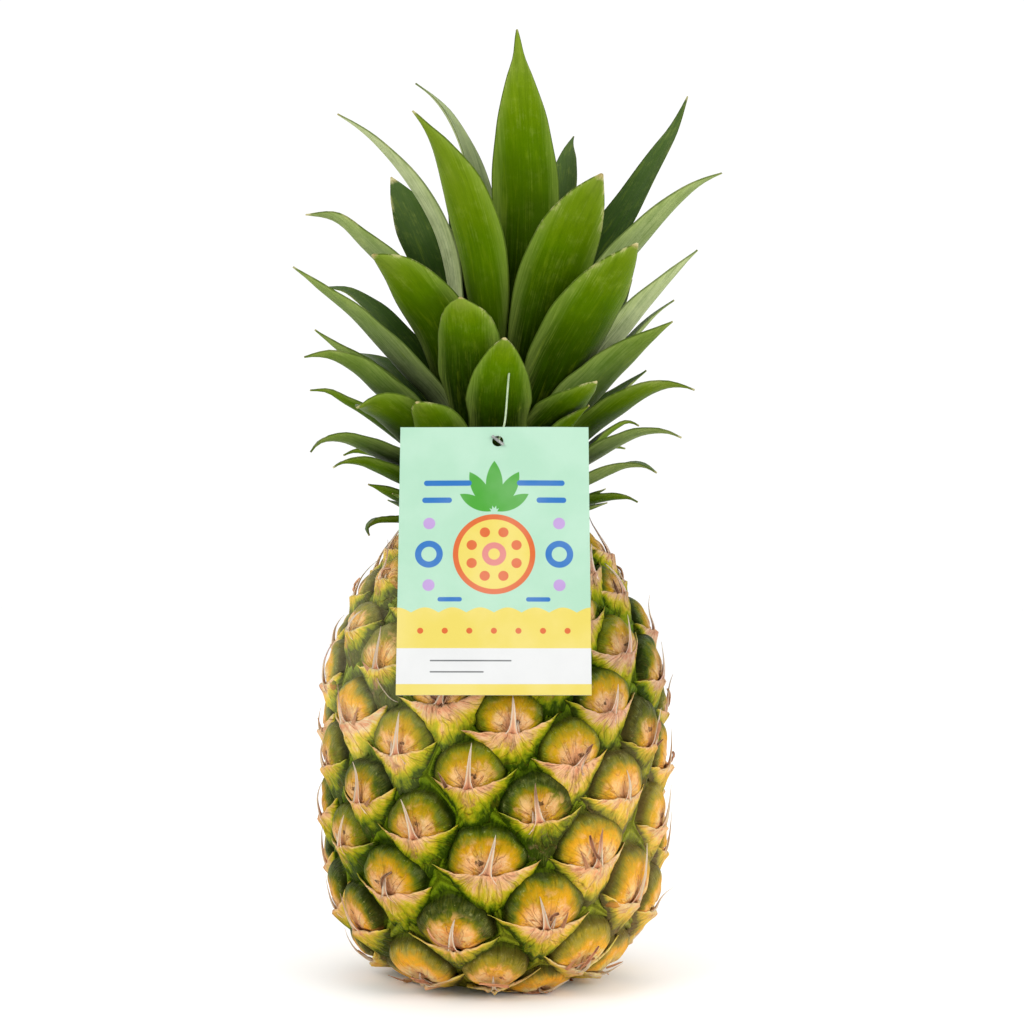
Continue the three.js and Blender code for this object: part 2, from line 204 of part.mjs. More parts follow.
function makeFruit() {
  let low = -70, high = 90;
  while (eyeMiddle(low).a < 5.5) low++;
  while (eyeMiddle(high).a > valley.length - 4.5) high--;
  const points = [], faces = [], corners = new Map();
  const near = (t, t0) => t0 + ((((t - t0) % 360) + 540) % 360) - 180;
  function corner(kind, j) {
    const key = kind + j;
    if (!corners.has(key)) {
      const own = [j, j + (kind === "A" ? 8 : 13), j + 21].map(eyeMiddle);
      const t = own.reduce((s, e) => s + near(e.t, own[0].t), 0) / 3;
      let a = own.reduce((s, e) => s + e.a, 0) / 3;
      corners.set(key, { t, a, v: null });
    }
    return corners.get(key);
  }
  const eyes = [], uses = new Map();
  for (let i = low; i <= high; i++) {
    const ring = [corner("B", i - 13), corner("A", i), corner("B", i), corner("A", i - 8), corner("B", i - 21), corner("A", i - 21)];
    eyes.push({ i, ring });
    ring.forEach((c, k) => {
      const d = ring[(k + 1) % 6];
      uses.set(c, (uses.get(c) || new Map()).set(d, true));
    });
  }
  // corners on the rim, where an eye has no neighbour, go onto the base ring or the top ring
  const rimNext = new Map();
  for (const [c, list] of uses) for (const d of list.keys()) if (!(uses.get(d) && uses.get(d).has(c))) {
    rimNext.set(c, d);
    for (const e of [c, d]) e.a = e.a < valley.length / 2 ? 0 : valley.length;
  }
  const put = (p) => points.push(p) - 1;
  for (const c of corners.values()) c.v = put(skin(c.t, c.a, 0));
  for (const { i, ring } of eyes) {
    const m = eyeMiddle(i);
    const down = ring.map((c) => c.a).reduce((s, a) => Math.min(s, a), 1e9);
    const edge = Math.min(1, Math.max(0.25, Math.min(m.a / 12, (valley.length - m.a) / 14)));
    const inner = ring.map((c) => put(skin(m.t + (near(c.t, m.t) - m.t) * 0.66, m.a + (c.a - m.a) * 0.66, EYE_RING * edge)));
    const point = put(skin(m.t, m.a + (down - m.a) * 0.3, EYE_POINT * edge));
    for (let k = 0; k < 6; k++) {
      const n = (k + 1) % 6;
      faces.push([ring[k].v, ring[n].v, inner[n]], [ring[k].v, inner[n], inner[k]], [inner[k], inner[n], point]);
    }
  }
  const base = put(V(0, 0, 0)), top = put(V(0, 0, TOP_Z));
  for (const [c, d] of rimNext) faces.push([d.v, c.v, c.a <= 0 ? base : top]);
  return solid(points, faces);
}

// ---- leaves ----------------------------------------------------------------------------------
// A leaf is a shallow trough: its edges curve in towards the crown's axis, and it is thickest
// along the midrib.
function leafShape([, bearing, roll, stations], grow) {
  const path = new THREE.CatmullRomCurve3(stations.map(([x, y, z]) => V(x, y, z)), false, "centripetal");
  const lengths = [0];
  for (let i = 1; i < stations.length; i++) lengths.push(lengths[i - 1] + V(...stations[i]).distanceTo(V(...stations[i - 1])));
  const whole = lengths[lengths.length - 1];
  const across = V(Math.cos(rad(bearing)), Math.sin(rad(bearing)), 0);
  const points = [], faces = [];
  for (let k = 0; k < LEAF_STATIONS; k++) {
    const s = k / (LEAF_STATIONS - 1);
    const p = path.getPointAt(s), t = path.getTangentAt(s);
    let i = 1;
    while (i < lengths.length - 1 && lengths[i] < s * whole) i++;
    const f = (s * whole - lengths[i - 1]) / (lengths[i] - lengths[i - 1]);
    const half = stations[i - 1][3] + f * (stations[i][3] - stations[i - 1][3]) + grow;
    if (k === LEAF_STATIONS - 1) {
      points.push(p.clone().addScaledVector(t, 2 * grow));
      break;
    }
    if (k === 0) p.addScaledVector(t, -grow);
    const w = across.clone().addScaledVector(t, -across.dot(t)).normalize(), n = t.clone().cross(w);
    const turn = rad(roll) * Math.min(Math.max((s - 0.08) / 0.35, 0), 1);
    const u = w.clone().multiplyScalar(Math.cos(turn)).addScaledVector(n, Math.sin(turn));
    const up = t.clone().cross(u);
    const trough = s < 0.3 ? 0.42 - (s / 0.3) * 0.16 : 0.26 + ((s - 0.3) / 0.7) * 0.08;
    const thick = (LEAF_T / 2) * (1 - 0.4 * s) + grow;
    const at = (v, lift) => {
      const x = v * half, own = half - grow;
      return p.clone().addScaledVector(u, x).addScaledVector(up, (x * x * trough) / Math.max(own, 0.5) + lift);
    };
    if (grow) points.push(at(-1, grow), at(-1, -grow), at(-0.45, -thick), at(0.45, -thick), at(1, -grow), at(1, grow), at(0.45, thick), at(-0.45, thick));
    else points.push(at(-1, 0), at(-0.45, -thick), at(0.45, -thick), at(1, 0), at(0.45, thick), at(-0.45, thick));
  }
  const tip = points.length - 1, rows = LEAF_STATIONS - 1, n = grow ? 8 : 6;
  for (let k = 0; k < rows - 1; k++) for (let j = 0; j < n; j++) {
    const a = k * n + j, b = k * n + ((j + 1) % n);
    faces.push([a, b, b + n], [a, b + n, a + n]);
  }
  for (let j = 0; j < n; j++) faces.push([(rows - 1) * n + j, (rows - 1) * n + ((j + 1) % n), tip]);
  for (let j = 1; j < n - 1; j++) faces.push([0, j + 1, j]);
  return solid(points, faces);
}

// ---- loop and tag ----------------------------------------------------------------------------
function round(path, diameter, steps) {
  const shape = new THREE.Shape();
  for (let k = 0; k < 8; k++) {
    const a = (k / 8) * 2 * Math.PI, x = (diameter / 2) * Math.cos(a), y = (diameter / 2) * Math.sin(a);
    if (k) shape.lineTo(x, y); else shape.moveTo(x, y);
  }
  return solidOf(new THREE.ExtrudeGeometry(shape, { steps, extrudePath: path, bevelEnabled: false }));
}
const loopPath = new THREE.CatmullRomCurve3(LOOP.map((p) => V(...p)), false, "centripetal");
const bar = (middle, along, length) =>
  round(new THREE.LineCurve3(middle.clone().addScaledVector(along, -length / 2), middle.clone().addScaledVector(along, length / 2)), BAR_D, 1);

const lean = new THREE.Matrix4().makeRotationX(rad(90 - TAG_LEAN)).setPosition(...TAG_TOP);
const tagOut = V(0, -Math.cos(rad(TAG_LEAN)), Math.sin(rad(TAG_LEAN)));
function makeTag() {
  const shape = new THREE.Shape();
  shape.moveTo(-TAG_W / 2, 0);
  shape.lineTo(-TAG_W / 2, -TAG_H);
  shape.lineTo(TAG_W / 2, -TAG_H);
  shape.lineTo(TAG_W / 2, 0);
  const hole = new THREE.Path();
  for (let k = 0; k < 16; k++) {
    const a = (-k / 16) * 2 * Math.PI, x = TAG_HOLE[0] + TAG_HOLE_R * Math.cos(a), y = -TAG_HOLE[1] + TAG_HOLE_R * Math.sin(a);
    if (k) hole.lineTo(x, y); else hole.moveTo(x, y);
  }
  shape.holes.push(hole);
  const g = new THREE.ExtrudeGeometry(shape, { depth: TAG_T, bevelEnabled: false });
  g.translate(0, 0, -TAG_T);
  g.applyMatrix4(lean);
  return solidOf(g);
}
const hole = V(TAG_HOLE[0], -TAG_HOLE[1], 0).applyMatrix4(lean);

// ---- assembly --------------------------------------------------------------------------------
const scarPocket = turned([[0, -5], [SCAR_R + GAP, -5], [SCAR_R + GAP, SCAR_T + GAP], [0, SCAR_T + GAP]], 28);
const fruit = largest(makeFruit().subtract(scarPocket));
add("fruit", fruit, 0xc08a2e, 0.55);
add("stem_scar", turned([[0, 0], [SCAR_R, 0], [SCAR_R, SCAR_T], [0, SCAR_T]], 28), 0xb9a27a, 0.85);

const wider = (g) => [[0, CROWN[0][1] - g], ...CROWN.map(([r, z]) => [r + g, z]), [0, CROWN[CROWN.length - 1][1] + g]];
add("crown_axis", turned(wider(0), 20), 0x8f9a55, 0.7);

const loop = round(loopPath, LOOP_D, 44);
const kept = [turned(wider(GAP), 20)];
const shares = [];
const boxOf = (m) => m.boundingBox();
const meets = (a, b) => [0, 1, 2].every((k) => a.min[k] <= b.max[k] && b.min[k] <= a.max[k]);
for (const leaf of LEAVES) {
  const full = leafShape(leaf, 0);
  let made = full.subtract(fruit);
  for (const other of kept) if (meets(boxOf(made), boxOf(other))) made = made.subtract(other);
  if (leaf[0] === PIERCED) made = made.subtract(round(loopPath, LOOP_D + 2 * GAP, 44));
  made = largest(made);
  shares.push([leaf[0], made.volume() / full.volume()]);
  kept.push(leafShape(leaf, GAP));
  add(leaf[0], made, 0x4f7d1c, 0.5);
}

add("tag", makeTag(), 0xc3efd3, 0.6);
add("tag_loop", loop, 0xe6e6e2, 0.4);
const backWay = V(...LOOP[0]).sub(V(...LOOP[1])).normalize();
add("tag_bar_leaf", bar(V(...LOOP[0]).addScaledVector(backWay, BAR_D / 2 + GAP), V(1, 0, 0).addScaledVector(backWay, -backWay.x).normalize(), BAR_BACK), 0xe6e6e2, 0.4);
add("tag_bar_card", bar(hole.clone().addScaledVector(tagOut, BAR_D / 2 + GAP), V(0.78, 0, 0).addScaledVector(V(0, Math.sin(rad(TAG_LEAN)), Math.cos(rad(TAG_LEAN))), -0.62).normalize(), BAR_FRONT), 0x9a9a96, 0.4);

export default group;
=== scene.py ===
import json
import math
import bpy
import numpy as np
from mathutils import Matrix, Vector

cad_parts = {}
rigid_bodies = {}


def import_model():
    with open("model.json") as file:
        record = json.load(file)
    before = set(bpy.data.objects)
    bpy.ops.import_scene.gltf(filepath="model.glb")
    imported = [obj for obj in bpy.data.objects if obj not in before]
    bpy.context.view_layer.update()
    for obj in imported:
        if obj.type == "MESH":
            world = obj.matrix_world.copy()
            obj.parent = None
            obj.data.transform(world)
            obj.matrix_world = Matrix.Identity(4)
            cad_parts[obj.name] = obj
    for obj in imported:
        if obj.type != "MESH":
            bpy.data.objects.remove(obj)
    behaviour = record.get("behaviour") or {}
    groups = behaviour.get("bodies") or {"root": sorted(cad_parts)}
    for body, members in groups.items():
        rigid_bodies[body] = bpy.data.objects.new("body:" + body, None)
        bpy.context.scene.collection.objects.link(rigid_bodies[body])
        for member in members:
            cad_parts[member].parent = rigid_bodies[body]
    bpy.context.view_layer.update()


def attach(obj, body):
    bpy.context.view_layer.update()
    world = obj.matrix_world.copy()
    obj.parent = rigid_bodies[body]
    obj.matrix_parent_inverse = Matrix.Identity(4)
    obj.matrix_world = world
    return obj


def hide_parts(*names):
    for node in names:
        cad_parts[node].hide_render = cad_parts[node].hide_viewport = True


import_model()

scene = bpy.context.scene
MM = 0.001

# ------------------------------------------------------------------ camera
cam_data = bpy.data.cameras.new("Camera")
cam = bpy.data.objects.new("Camera", cam_data)
scene.collection.objects.link(cam)
cam.location = (0.0062, -0.650, 0.138)
cam.rotation_euler = (Vector((0.0062, 0.0, 0.165117)) - Vector(cam.location)).to_track_quat("-Z", "Y").to_euler()
cam_data.sensor_width = 36.0
cam_data.lens = 63.48
cam_data.clip_start = 0.01
cam_data.clip_end = 20.0
scene.camera = cam


# ------------------------------------------------------------------ small maths helpers
def smooth(x, a, b):
    t = np.clip((x - a) / (b - a), 0, 1)
    return t * t * (3 - 2 * t)


def pchip(xk, yk, x):
    """Monotone cubic through the knots."""
    xk, yk = np.asarray(xk, float), np.asarray(yk, float)
    flat = yk.ndim == 1
    if flat:
        yk = yk[:, None]
    h = np.diff(xk)[:, None]
    d = np.diff(yk, axis=0) / h
    m = np.zeros_like(yk)
    m[0], m[-1] = d[0], d[-1]
    if len(xk) > 2:
        w1, w2 = 2 * h[1:] + h[:-1], h[1:] + 2 * h[:-1]
        same = d[1:] * d[:-1] > 0
        with np.errstate(divide="ignore", invalid="ignore"):
            mid = (w1 + w2) / (w1 / d[:-1] + w2 / d[1:])
        m[1:-1] = np.where(same, mid, 0)
    x = np.asarray(x, float)
    i = np.clip(np.searchsorted(xk, x, side="right") - 1, 0, len(xk) - 2)
    t = ((x - xk[i]) / h[i, 0])[..., None]
    y = ((1 + 2 * t) * (1 - t) ** 2 * yk[i] + t * (1 - t) ** 2 * h[i] * m[i]
         + t * t * (3 - 2 * t) * yk[i + 1] + t * t * (t - 1) * h[i] * m[i + 1])
    return y[..., 0] if flat else y


def centripetal(points, n):
    """n points evenly spaced along the centripetal Catmull-Rom curve through points."""
    P = np.asarray(points, float)
    P = np.vstack([2 * P[0] - P[1], P, 2 * P[-1] - P[-2]])
    out = []
    for k in range(1, len(P) - 2):
        p0, p1, p2, p3 = P[k - 1:k + 3]
        t0 = 0.0
        t1 = t0 + max(np.linalg.norm(p1 - p0), 1e-6) ** 0.5
        t2 = t1 + max(np.linalg.norm(p2 - p1), 1e-6) ** 0.5
        t3 = t2 + max(np.linalg.norm(p3 - p2), 1e-6) ** 0.5
        t = np.linspace(t1, t2, 40)[:, None]
        a1 = (t1 - t) / (t1 - t0) * p0 + (t - t0) / (t1 - t0) * p1
        a2 = (t2 - t) / (t2 - t1) * p1 + (t - t1) / (t2 - t1) * p2
        a3 = (t3 - t) / (t3 - t2) * p2 + (t - t2) / (t3 - t2) * p3
        b1 = (t2 - t) / (t2 - t0) * a1 + (t - t0) / (t2 - t0) * a2
        b2 = (t3 - t) / (t3 - t1) * a2 + (t - t1) / (t3 - t1) * a3
        c = (t2 - t) / (t2 - t1) * b1 + (t - t1) / (t2 - t1) * b2
        out.append(c if k == 1 else c[1:])
    Q = np.vstack(out)
    d = np.r_[0, np.cumsum(np.linalg.norm(np.diff(Q, axis=0), axis=1))]
    s = np.linspace(0, d[-1], n)
    return np.stack([np.interp(s, d, Q[:, j]) for j in range(3)], axis=1), d[-1]


def wave_noise(x, y, seed, waves=7, low=0.1, high=0.6):
    """Smooth repeatable noise in about -1..1 from a few plane waves (frequencies in radians per mm)."""
    r = np.random.default_rng(seed)
    out = np.zeros(np.broadcast(x, y).shape)
    for _ in range(waves):
        f, a, p = r.uniform(low, high), r.uniform(0, 2 * math.pi), r.uniform(0, 2 * math.pi)
        out = out + np.sin(f * (x * math.cos(a) + y * math.sin(a)) + p)
    return out / waves ** 0.5 / 1.1


class Build:
    """Collects closed shells, in mm, with two four-number attributes per vertex."""

    def __init__(self):
        self.v, self.f, self.a, self.b, self.n = [], [], [], [], 0

    def add(self, verts, faces, a, b):
        verts = np.asarray(verts, float)
        k = len(verts)
        self.v.append(verts)
        self.f += [tuple(int(i) + self.n for i in f) for f in faces]
        self.a.append(np.broadcast_to(np.asarray(a, float), (k, 4)))
        self.b.append(np.broadcast_to(np.asarray(b, float), (k, 4)))
        self.n += k

    def object(self, name, smooth_angle=None):
        me = bpy.data.meshes.new(name)
        V = np.vstack(self.v) * MM
        me.from_pydata(V.tolist(), [], self.f)
        me.update()
        for nm, data in (("shape_a", self.a), ("shape_b", self.b)):
            at = me.attributes.new(nm, "FLOAT_COLOR", "POINT")
            at.data.foreach_set("color", np.vstack(data).astype(np.float32).ravel())
        me.polygons.foreach_set("use_smooth", np.ones(len(me.polygons), bool))
        me.validate()
        o = bpy.data.objects.new(name, me)
        scene.collection.objects.link(o)
        return o


def grid_faces(rows, cols, start=0, wrap=False, flip=False):
    out = []
    for i in range(rows - 1):
        for j in range(cols if wrap else cols - 1):
            a, b = start + i * cols + j, start + i * cols + (j + 1) % cols
            c, d = b + cols, a + cols
            out.append((a, d, c, b) if flip else (a, b, c, d))
    return out


# ------------------------------------------------------------------ node helpers
def material(name):
    m = bpy.data.materials.new(name)
    m.use_nodes = True
    nt = m.node_tree
    for n in list(nt.nodes):
        if n.type != "OUTPUT_MATERIAL":
            nt.nodes.remove(n)
    bsdf = nt.nodes.new("ShaderNodeBsdfPrincipled")
    nt.links.new(bsdf.outputs[0], nt.nodes["Material Output"].inputs[0])
    return m, nt, bsdf


class N:
    """Short calls for building node trees."""

    def __init__(self, nt):
        self.nt = nt

    def node(self, kind, **kw):
        n = self.nt.nodes.new(kind)
        for k, v in kw.items():
            setattr(n, k, v)
        return n

    def link(self, out, inp):
        self.nt.links.new(out, inp)

    def put(self, inp, value):
        if hasattr(value, "links") or isinstance(value, bpy.types.NodeSocket):
            self.link(value, inp)
        else:
            inp.default_value = value

    def math(self, op, a, b=0.0, c=0.0, clamp=False):
        n = self.node("ShaderNodeMath", operation=op, use_clamp=clamp)
        self.put(n.inputs[0], a)
        self.put(n.inputs[1], b)
        self.put(n.inputs[2], c)
        return n.outputs[0]

    def mix(self, fac, a, b, blend="MIX"):
        n = self.node("ShaderNodeMix", data_type="RGBA", blend_type=blend)
        self.put(n.inputs["Factor"], fac)
        ins = [s for s in n.inputs if s.type == "RGBA"]
        self.put(ins[0], a)
        self.put(ins[1], b)
        return [s for s in n.outputs if s.type == "RGBA"][0]

    def ramp(self, fac, stops, mode="LINEAR"):
        n = self.node("ShaderNodeValToRGB")
        n.color_ramp.interpolation = mode
        e = n.color_ramp.elements
        while len(e) < len(stops):
            e.new(0.5)
        for el, (p, c) in zip(e, stops):
            el.position = p
            el.color = (*c, 1) if len(c) == 3 else c
        self.put(n.inputs[0], fac)
        return n.outputs[0]

    def step(self, x, a, b):
        """0 below a, 1 above b, smooth between."""
        n = self.node("ShaderNodeMapRange", interpolation_type="SMOOTHSTEP")
        self.put(n.inputs["Value"], x)
        n.inputs["From Min"].default_value = a
        n.inputs["From Max"].default_value = b
        return n.outputs[0]

    def attr(self, name):
        n = self.node("ShaderNodeAttribute", attribute_name=name)
        s = self.node("ShaderNodeSeparateXYZ")
        self.link(n.outputs["Vector"], s.inputs[0])
        return s.outputs[0], s.outputs[1], s.outputs[2], n.outputs["Alpha"]

    def vec(self, x, y, z):
        n = self.node("ShaderNodeCombineXYZ")
        for i, v in enumerate((x, y, z)):
            self.put(n.inputs[i], v)
        return n.outputs[0]

    def noise(self, vector, scale, detail=3.0, rough=0.55, distortion=0.0):
        n = self.node("ShaderNodeTexNoise")
        if vector is not None:
            self.link(vector, n.inputs["Vector"])
        n.inputs["Scale"].default_value = scale
        n.inputs["Detail"].default_value = detail
        n.inputs["Roughness"].default_value = rough
        n.inputs["Distortion"].default_value = distortion
        return n.outputs["Fac"]

    def position(self):
        n = self.node("ShaderNodeTexCoord")
        return n.outputs["Object"]

    def bump(self, height, strength, distance, normal=None):
        n = self.node("ShaderNodeBump")
        n.inputs["Strength"].default_value = strength
        n.inputs["Distance"].default_value = distance
        self.link(height, n.inputs["Height"])
        if normal is not None:
            self.link(normal, n.inputs["Normal"])
        return n.outputs[0]


TONE = [0.8]


def srgb(r, g, b):
    """A surface colour from the tone it should show under the studio light."""
    return tuple(TONE[0] * (((c / 255 + 0.055) / 1.055) ** 2.4 if c > 10 else c / 255 / 12.92) for c in (r, g, b))


# ------------------------------------------------------------------ the loop that carries the tag
LOOP = [[6.4, -31.0, 212.9], [5.3, -35.2, 211.2], [4.9, -38.4, 207.6], [3.7, -43.0, 193.4], [2.6, -43.75, 189.6], [1.5, -45.75, 187.0]]
LOOP_D = 0.7
TAG_W, TAG_H, TAG_T = 63.2, 91.0, 0.5
TAG_TOP = np.array([0.3, -44.8, 191.8])
LEAN = math.radians(13.47)
TAG_X = np.array([1.0, 0.0, 0.0])
TAG_UP = np.array([0.0, math.sin(LEAN), math.cos(LEAN)])
TAG_OUT = np.array([0.0, -math.cos(LEAN), math.sin(LEAN)])
TAG_HOLE, TAG_HOLE_R = (1.15, 4.95), 1.9


def tube(build, path, radius, sides, a, b, squash=None):
    """Closed round tube along path (mm) with domed ends."""
    P = np.asarray(path, float)
    T = np.gradient(P, axis=0)
    T /= np.linalg.norm(T, axis=1)[:, None]
    ref = np.array([1.0, 0.2, 0.1])
    Us = []
    for t in T:
        u = ref - t * (ref @ t)
        u /= np.linalg.norm(u)
        ref = u
        Us.append(u)
    Us = np.array(Us)
    Vs = np.cross(T, Us)
    rad = np.broadcast_to(np.asarray(radius, float), (len(P),)).copy()
    ang = np.linspace(0, 2 * math.pi, sides, endpoint=False)
    rings = [P[0] - T[0] * rad[0] * 0.45]
    rows = []
    rows.append(P[0] + (Us[0] * np.cos(ang)[:, None] + Vs[0] * np.sin(ang)[:, None]) * rad[0] * 0.75 - T[0] * rad[0] * 0.3)
    for p, u, v, r in zip(P, Us, Vs, rad):
        rows.append(p + (u * np.cos(ang)[:, None] + v * np.sin(ang)[:, None]) * r)
    rows.append(P[-1] + (Us[-1] * np.cos(ang)[:, None] + Vs[-1] * np.sin(ang)[:, None]) * rad[-1] * 0.75 + T[-1] * rad[-1] * 0.3)
    n = len(rows)
    verts = np.vstack([P[0] - T[0] * rad[0] * 0.45] + rows + [P[-1] + T[-1] * rad[-1] * 0.45])
    faces = [(0, 1 + (j + 1) % sides, 1 + j) for j in range(sides)]
    faces += grid_faces(n, sides, 1, wrap=True)
    last = 1 + n * sides
    faces += [(last, last - sides + j, last - sides + (j + 1) % sides) for j in range(sides)]
    build.add(verts, faces, a, b)


loop_points, LOOP_LENGTH = centripetal(LOOP, 90)
hole_mid = TAG_TOP + TAG_X * TAG_HOLE[0] - TAG_UP * TAG_HOLE[1]

m_plastic, nt, bsdf = material("loop_plastic")
g = N(nt)
pos = g.position()
cloud = g.noise(pos, 900.0, 2.0)
tone = g.mix(g.step(cloud, 0.35, 0.7), (*srgb(156, 176, 136), 1), (*srgb(182, 198, 160), 1))
g.link(tone, bsdf.inputs["Base Color"])
bsdf.inputs["Roughness"].default_value = 0.32
bsdf.inputs["Transmission Weight"].default_value = 0.0
bsdf.inputs["Subsurface Weight"].default_value = 0.15
bsdf.inputs["Subsurface Radius"].default_value = (0.001, 0.001, 0.001)
bsdf.inputs["Subsurface Scale"].default_value = 0.5
g.link(g.bump(g.noise(pos, 2500.0, 2.0), 0.15, 0.0001), bsdf.inputs["Normal"])

b = Build()
tube(b, loop_points, LOOP_D / 2, 12, (0, 0, 0, 0), (0, 0, 0, 0))
loop_obj = b.object("loop_strand")
loop_obj.data.materials.append(m_plastic)

# the two small cross bars
def cross_bar(name, node, middle, along, length, d):
    bb = Build()
    n = 22
    x = np.linspace(-0.5, 0.5, n)
    path = middle + np.outer(x * length, along)
    swell = d / 2 * (0.86 + 0.14 * np.cos(2 * math.pi * x) ** 2)
    tube(bb, path, swell, 14, (0, 0, 0, 0), (0, 0, 0, 0))
    o = bb.object(name)
    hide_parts(node)
    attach(o, "root")
    return o


back_way = np.array(LOOP[0]) - np.array(LOOP[1])
back_way /= np.linalg.norm(back_way)
bar_x = np.array([1.0, 0, 0]) - back_way * back_way[0]
bar_x /= np.linalg.norm(bar_x)
bar_leaf = cross_bar("loop_bar_leaf", "tag_bar_leaf", np.array(LOOP[0]) + back_way * 0.85, bar_x, 8.0, 1.1)
bar_leaf.data.materials.append(m_plastic)

m_bar, nt, bsdf = material("bar_plastic")
g = N(nt)
pos = g.position()
n1 = g.noise(pos, 1100.0, 3.0)
tone = g.ramp(n1, [(0.3, srgb(88, 92, 90)), (0.55, srgb(150, 152, 148)), (0.75, srgb(205, 206, 200))])
g.link(tone, bsdf.inputs["Base Color"])
bsdf.inputs["Roughness"].default_value = 0.3
g.link(g.bump(n1, 0.2, 0.0001), bsdf.inputs["Normal"])
card_way = 0.78 * TAG_X - 0.62 * TAG_UP
card_way /= np.linalg.norm(card_way)
bar_card = cross_bar("loop_bar_card", "tag_bar_card", hole_mid + TAG_OUT * 0.85, card_way, 4.6, 1.1)
bar_card.data.materials.append(m_bar)

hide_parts("tag_loop")
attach(loop_obj, "root")


# ------------------------------------------------------------------ the fruit's skin surface
VALLEY = [[22, 0], [30.2, 3.8], [41.8, 10.4], [49.9, 20.2], [55, 34], [57.2, 50], [57.8, 75],
          [57.1, 100], [54, 118], [46.4, 134], [37.4, 148], [31.2, 156], [26.2, 160], [22.5, 161.2]]
BASE_R, SCAR_R, SCAR_T, GAP, TOP_Z = 22.0, 14.0, 4.6, 0.3, 161.4
EYE_TURN, EYE_START, EYE_SPREAD = 137.473, -9.41, 7.0
EYE_RISE = [-1.03777e-5, -8.34853e-4, 1.39497, 72.14]
EYE_LIFT = 5.6
# eyes whose places are known one by one: number, bearing from -Y towards +X in degrees, height of the lip
EYES_SEEN = {
    -47: (-32.9, 9.5), -42: (0.7, 8.8), -39: (-57.1, 24.3), -37: (38.3, 13.2), -34: (-13.8, 21.7), -29: (17.7, 29.1),
    -26: (-35.9, 38.0), -24: (54.3, 33.9), -21: (-2.1, 45.6), -18: (-57.8, 50.3), -16: (33.9, 47.5), -13: (-24.6, 56.5),
    -11: (71.7, 55.7), -8: (14.3, 62.2), -5: (-47.2, 65.8), -3: (45.9, 68.2), 0: (-7.4, 72.9), 3: (-71.4, 76.3),
    5: (26.3, 80.2), 8: (-31.1, 83.0), 10: (60.7, 84.4), 13: (5.7, 90.9), 16: (-54.4, 92.1), 18: (39.5, 96.3),
    21: (-16.6, 99.9), 23: (73.9, 106.2), 24: (-81.1, 103.5), 29: (-40.5, 110.7), 31: (50.0, 114.6),
    37: (-61.8, 121.3), 44: (64.1, 133.9), 50: (-55.7, 137.5),
}


def spline_points(P, n):
    """Uniform Catmull-Rom through P with the end points doubled."""
    P = np.asarray(P, float)
    m = len(P) - 1
    out = []
    for q in range(n + 1):
        x = m * q / n
        i = min(int(x), m - 1)
        w = x - i
        p0, p1, p2, p3 = P[max(i - 1, 0)], P[i], P[min(i + 1, m)], P[min(i + 2, m)]
        v0, v1 = (p2 - p0) * 0.5, (p3 - p1) * 0.5
        out.append((2 * p1 - 2 * p2 + v0 + v1) * w ** 3 + (-3 * p1 + 3 * p2 - 2 * v0 - v1) * w ** 2 + v0 * w + p1)
    return np.array(out)


_vp = spline_points(VALLEY, 600)
V_A = np.r_[0, np.cumsum(np.linalg.norm(np.diff(_vp, axis=0), axis=1))]
V_R, V_Z = _vp[:, 0], _vp[:, 1]
V_LEN = V_A[-1]
_tan = np.gradient(_vp, V_A, axis=0)
_tan /= np.linalg.norm(_tan, axis=1)[:, None]
V_NR, V_NZ = _tan[:, 1], -_tan[:, 0]
V_PSI = np.r_[0, np.cumsum(np.diff(V_A) * 0.5 * (1 / V_R[1:] + 1 / V_R[:-1]))]


def arc_of(z):
    return float(np.interp(z, V_Z, V_A))


def skin(th, a, lift):
    """Point on the fruit, mm: bearing th (radians), arc length a up the valley profile, lift above it."""
    th, a, lift = np.broadcast_arrays(np.asarray(th, float), np.asarray(a, float), np.asarray(lift, float))
    r, z = np.interp(a, V_A, V_R), np.interp(a, V_A, V_Z)
    nr, nz = np.interp(a, V_A, V_NR), np.interp(a, V_A, V_NZ)
    ln = np.hypot(nr, nz)
    r = r + nr / ln * lift
    z = z + nz / ln * lift
    floor_z = np.where(a <= 0, 0.0, 0.05 + 0.12 * np.maximum(r - BASE_R, 0) * 0.4)
    z = np.maximum(z, np.where(a <= 0, 0.0, floor_z))
    return np.stack([r * np.sin(th), -r * np.cos(th), z], axis=-1)


def opened(t):
    return t + EYE_SPREAD * math.sin(math.radians(t))


def lattice(i):
    k = min(max(i, -46), 58)
    z = ((EYE_RISE[0] * k + EYE_RISE[1]) * k + EYE_RISE[2]) * k + EYE_RISE[3]
    a = arc_of(z) + (1.9 * (i + 46) if i < -46 else 0) + (1.55 * (i - 58) if i > 58 else 0)
    t = (EYE_START - EYE_TURN * i + 180) % 360 - 180
    return opened(t), a + EYE_LIFT


low, high = -70, 90
while lattice(low)[1] < 5.5:
    low += 1
while lattice(high)[1] > V_LEN - 4.5:
    high -= 1
eye_rng = np.random.default_rng(11)
EYES = {}
for i in range(low, high + 1):
    th, a = lattice(i)
    jt, ja = eye_rng.uniform(-1.3, 1.3), eye_rng.uniform(-0.7, 0.7)
    if i in EYES_SEEN:
        st, sz = EYES_SEEN[i]
        th, a = st, arc_of(sz) + EYE_LIFT
    else:
        th, a = th + jt, a + ja * min(1, a / 20, (V_LEN - a) / 20)
    EYES[i] = (math.radians(th), a)
ids = sorted(EYES)
E_TH = np.array([EYES[i][0] for i in ids])
E_A = np.array([EYES[i][1] for i in ids])
E_PSI = np.interp(E_A, V_A, V_PSI)
PSI_TOP = V_PSI[-1]


def turn(x):
    return (x + math.pi) % (2 * math.pi) - math.pi


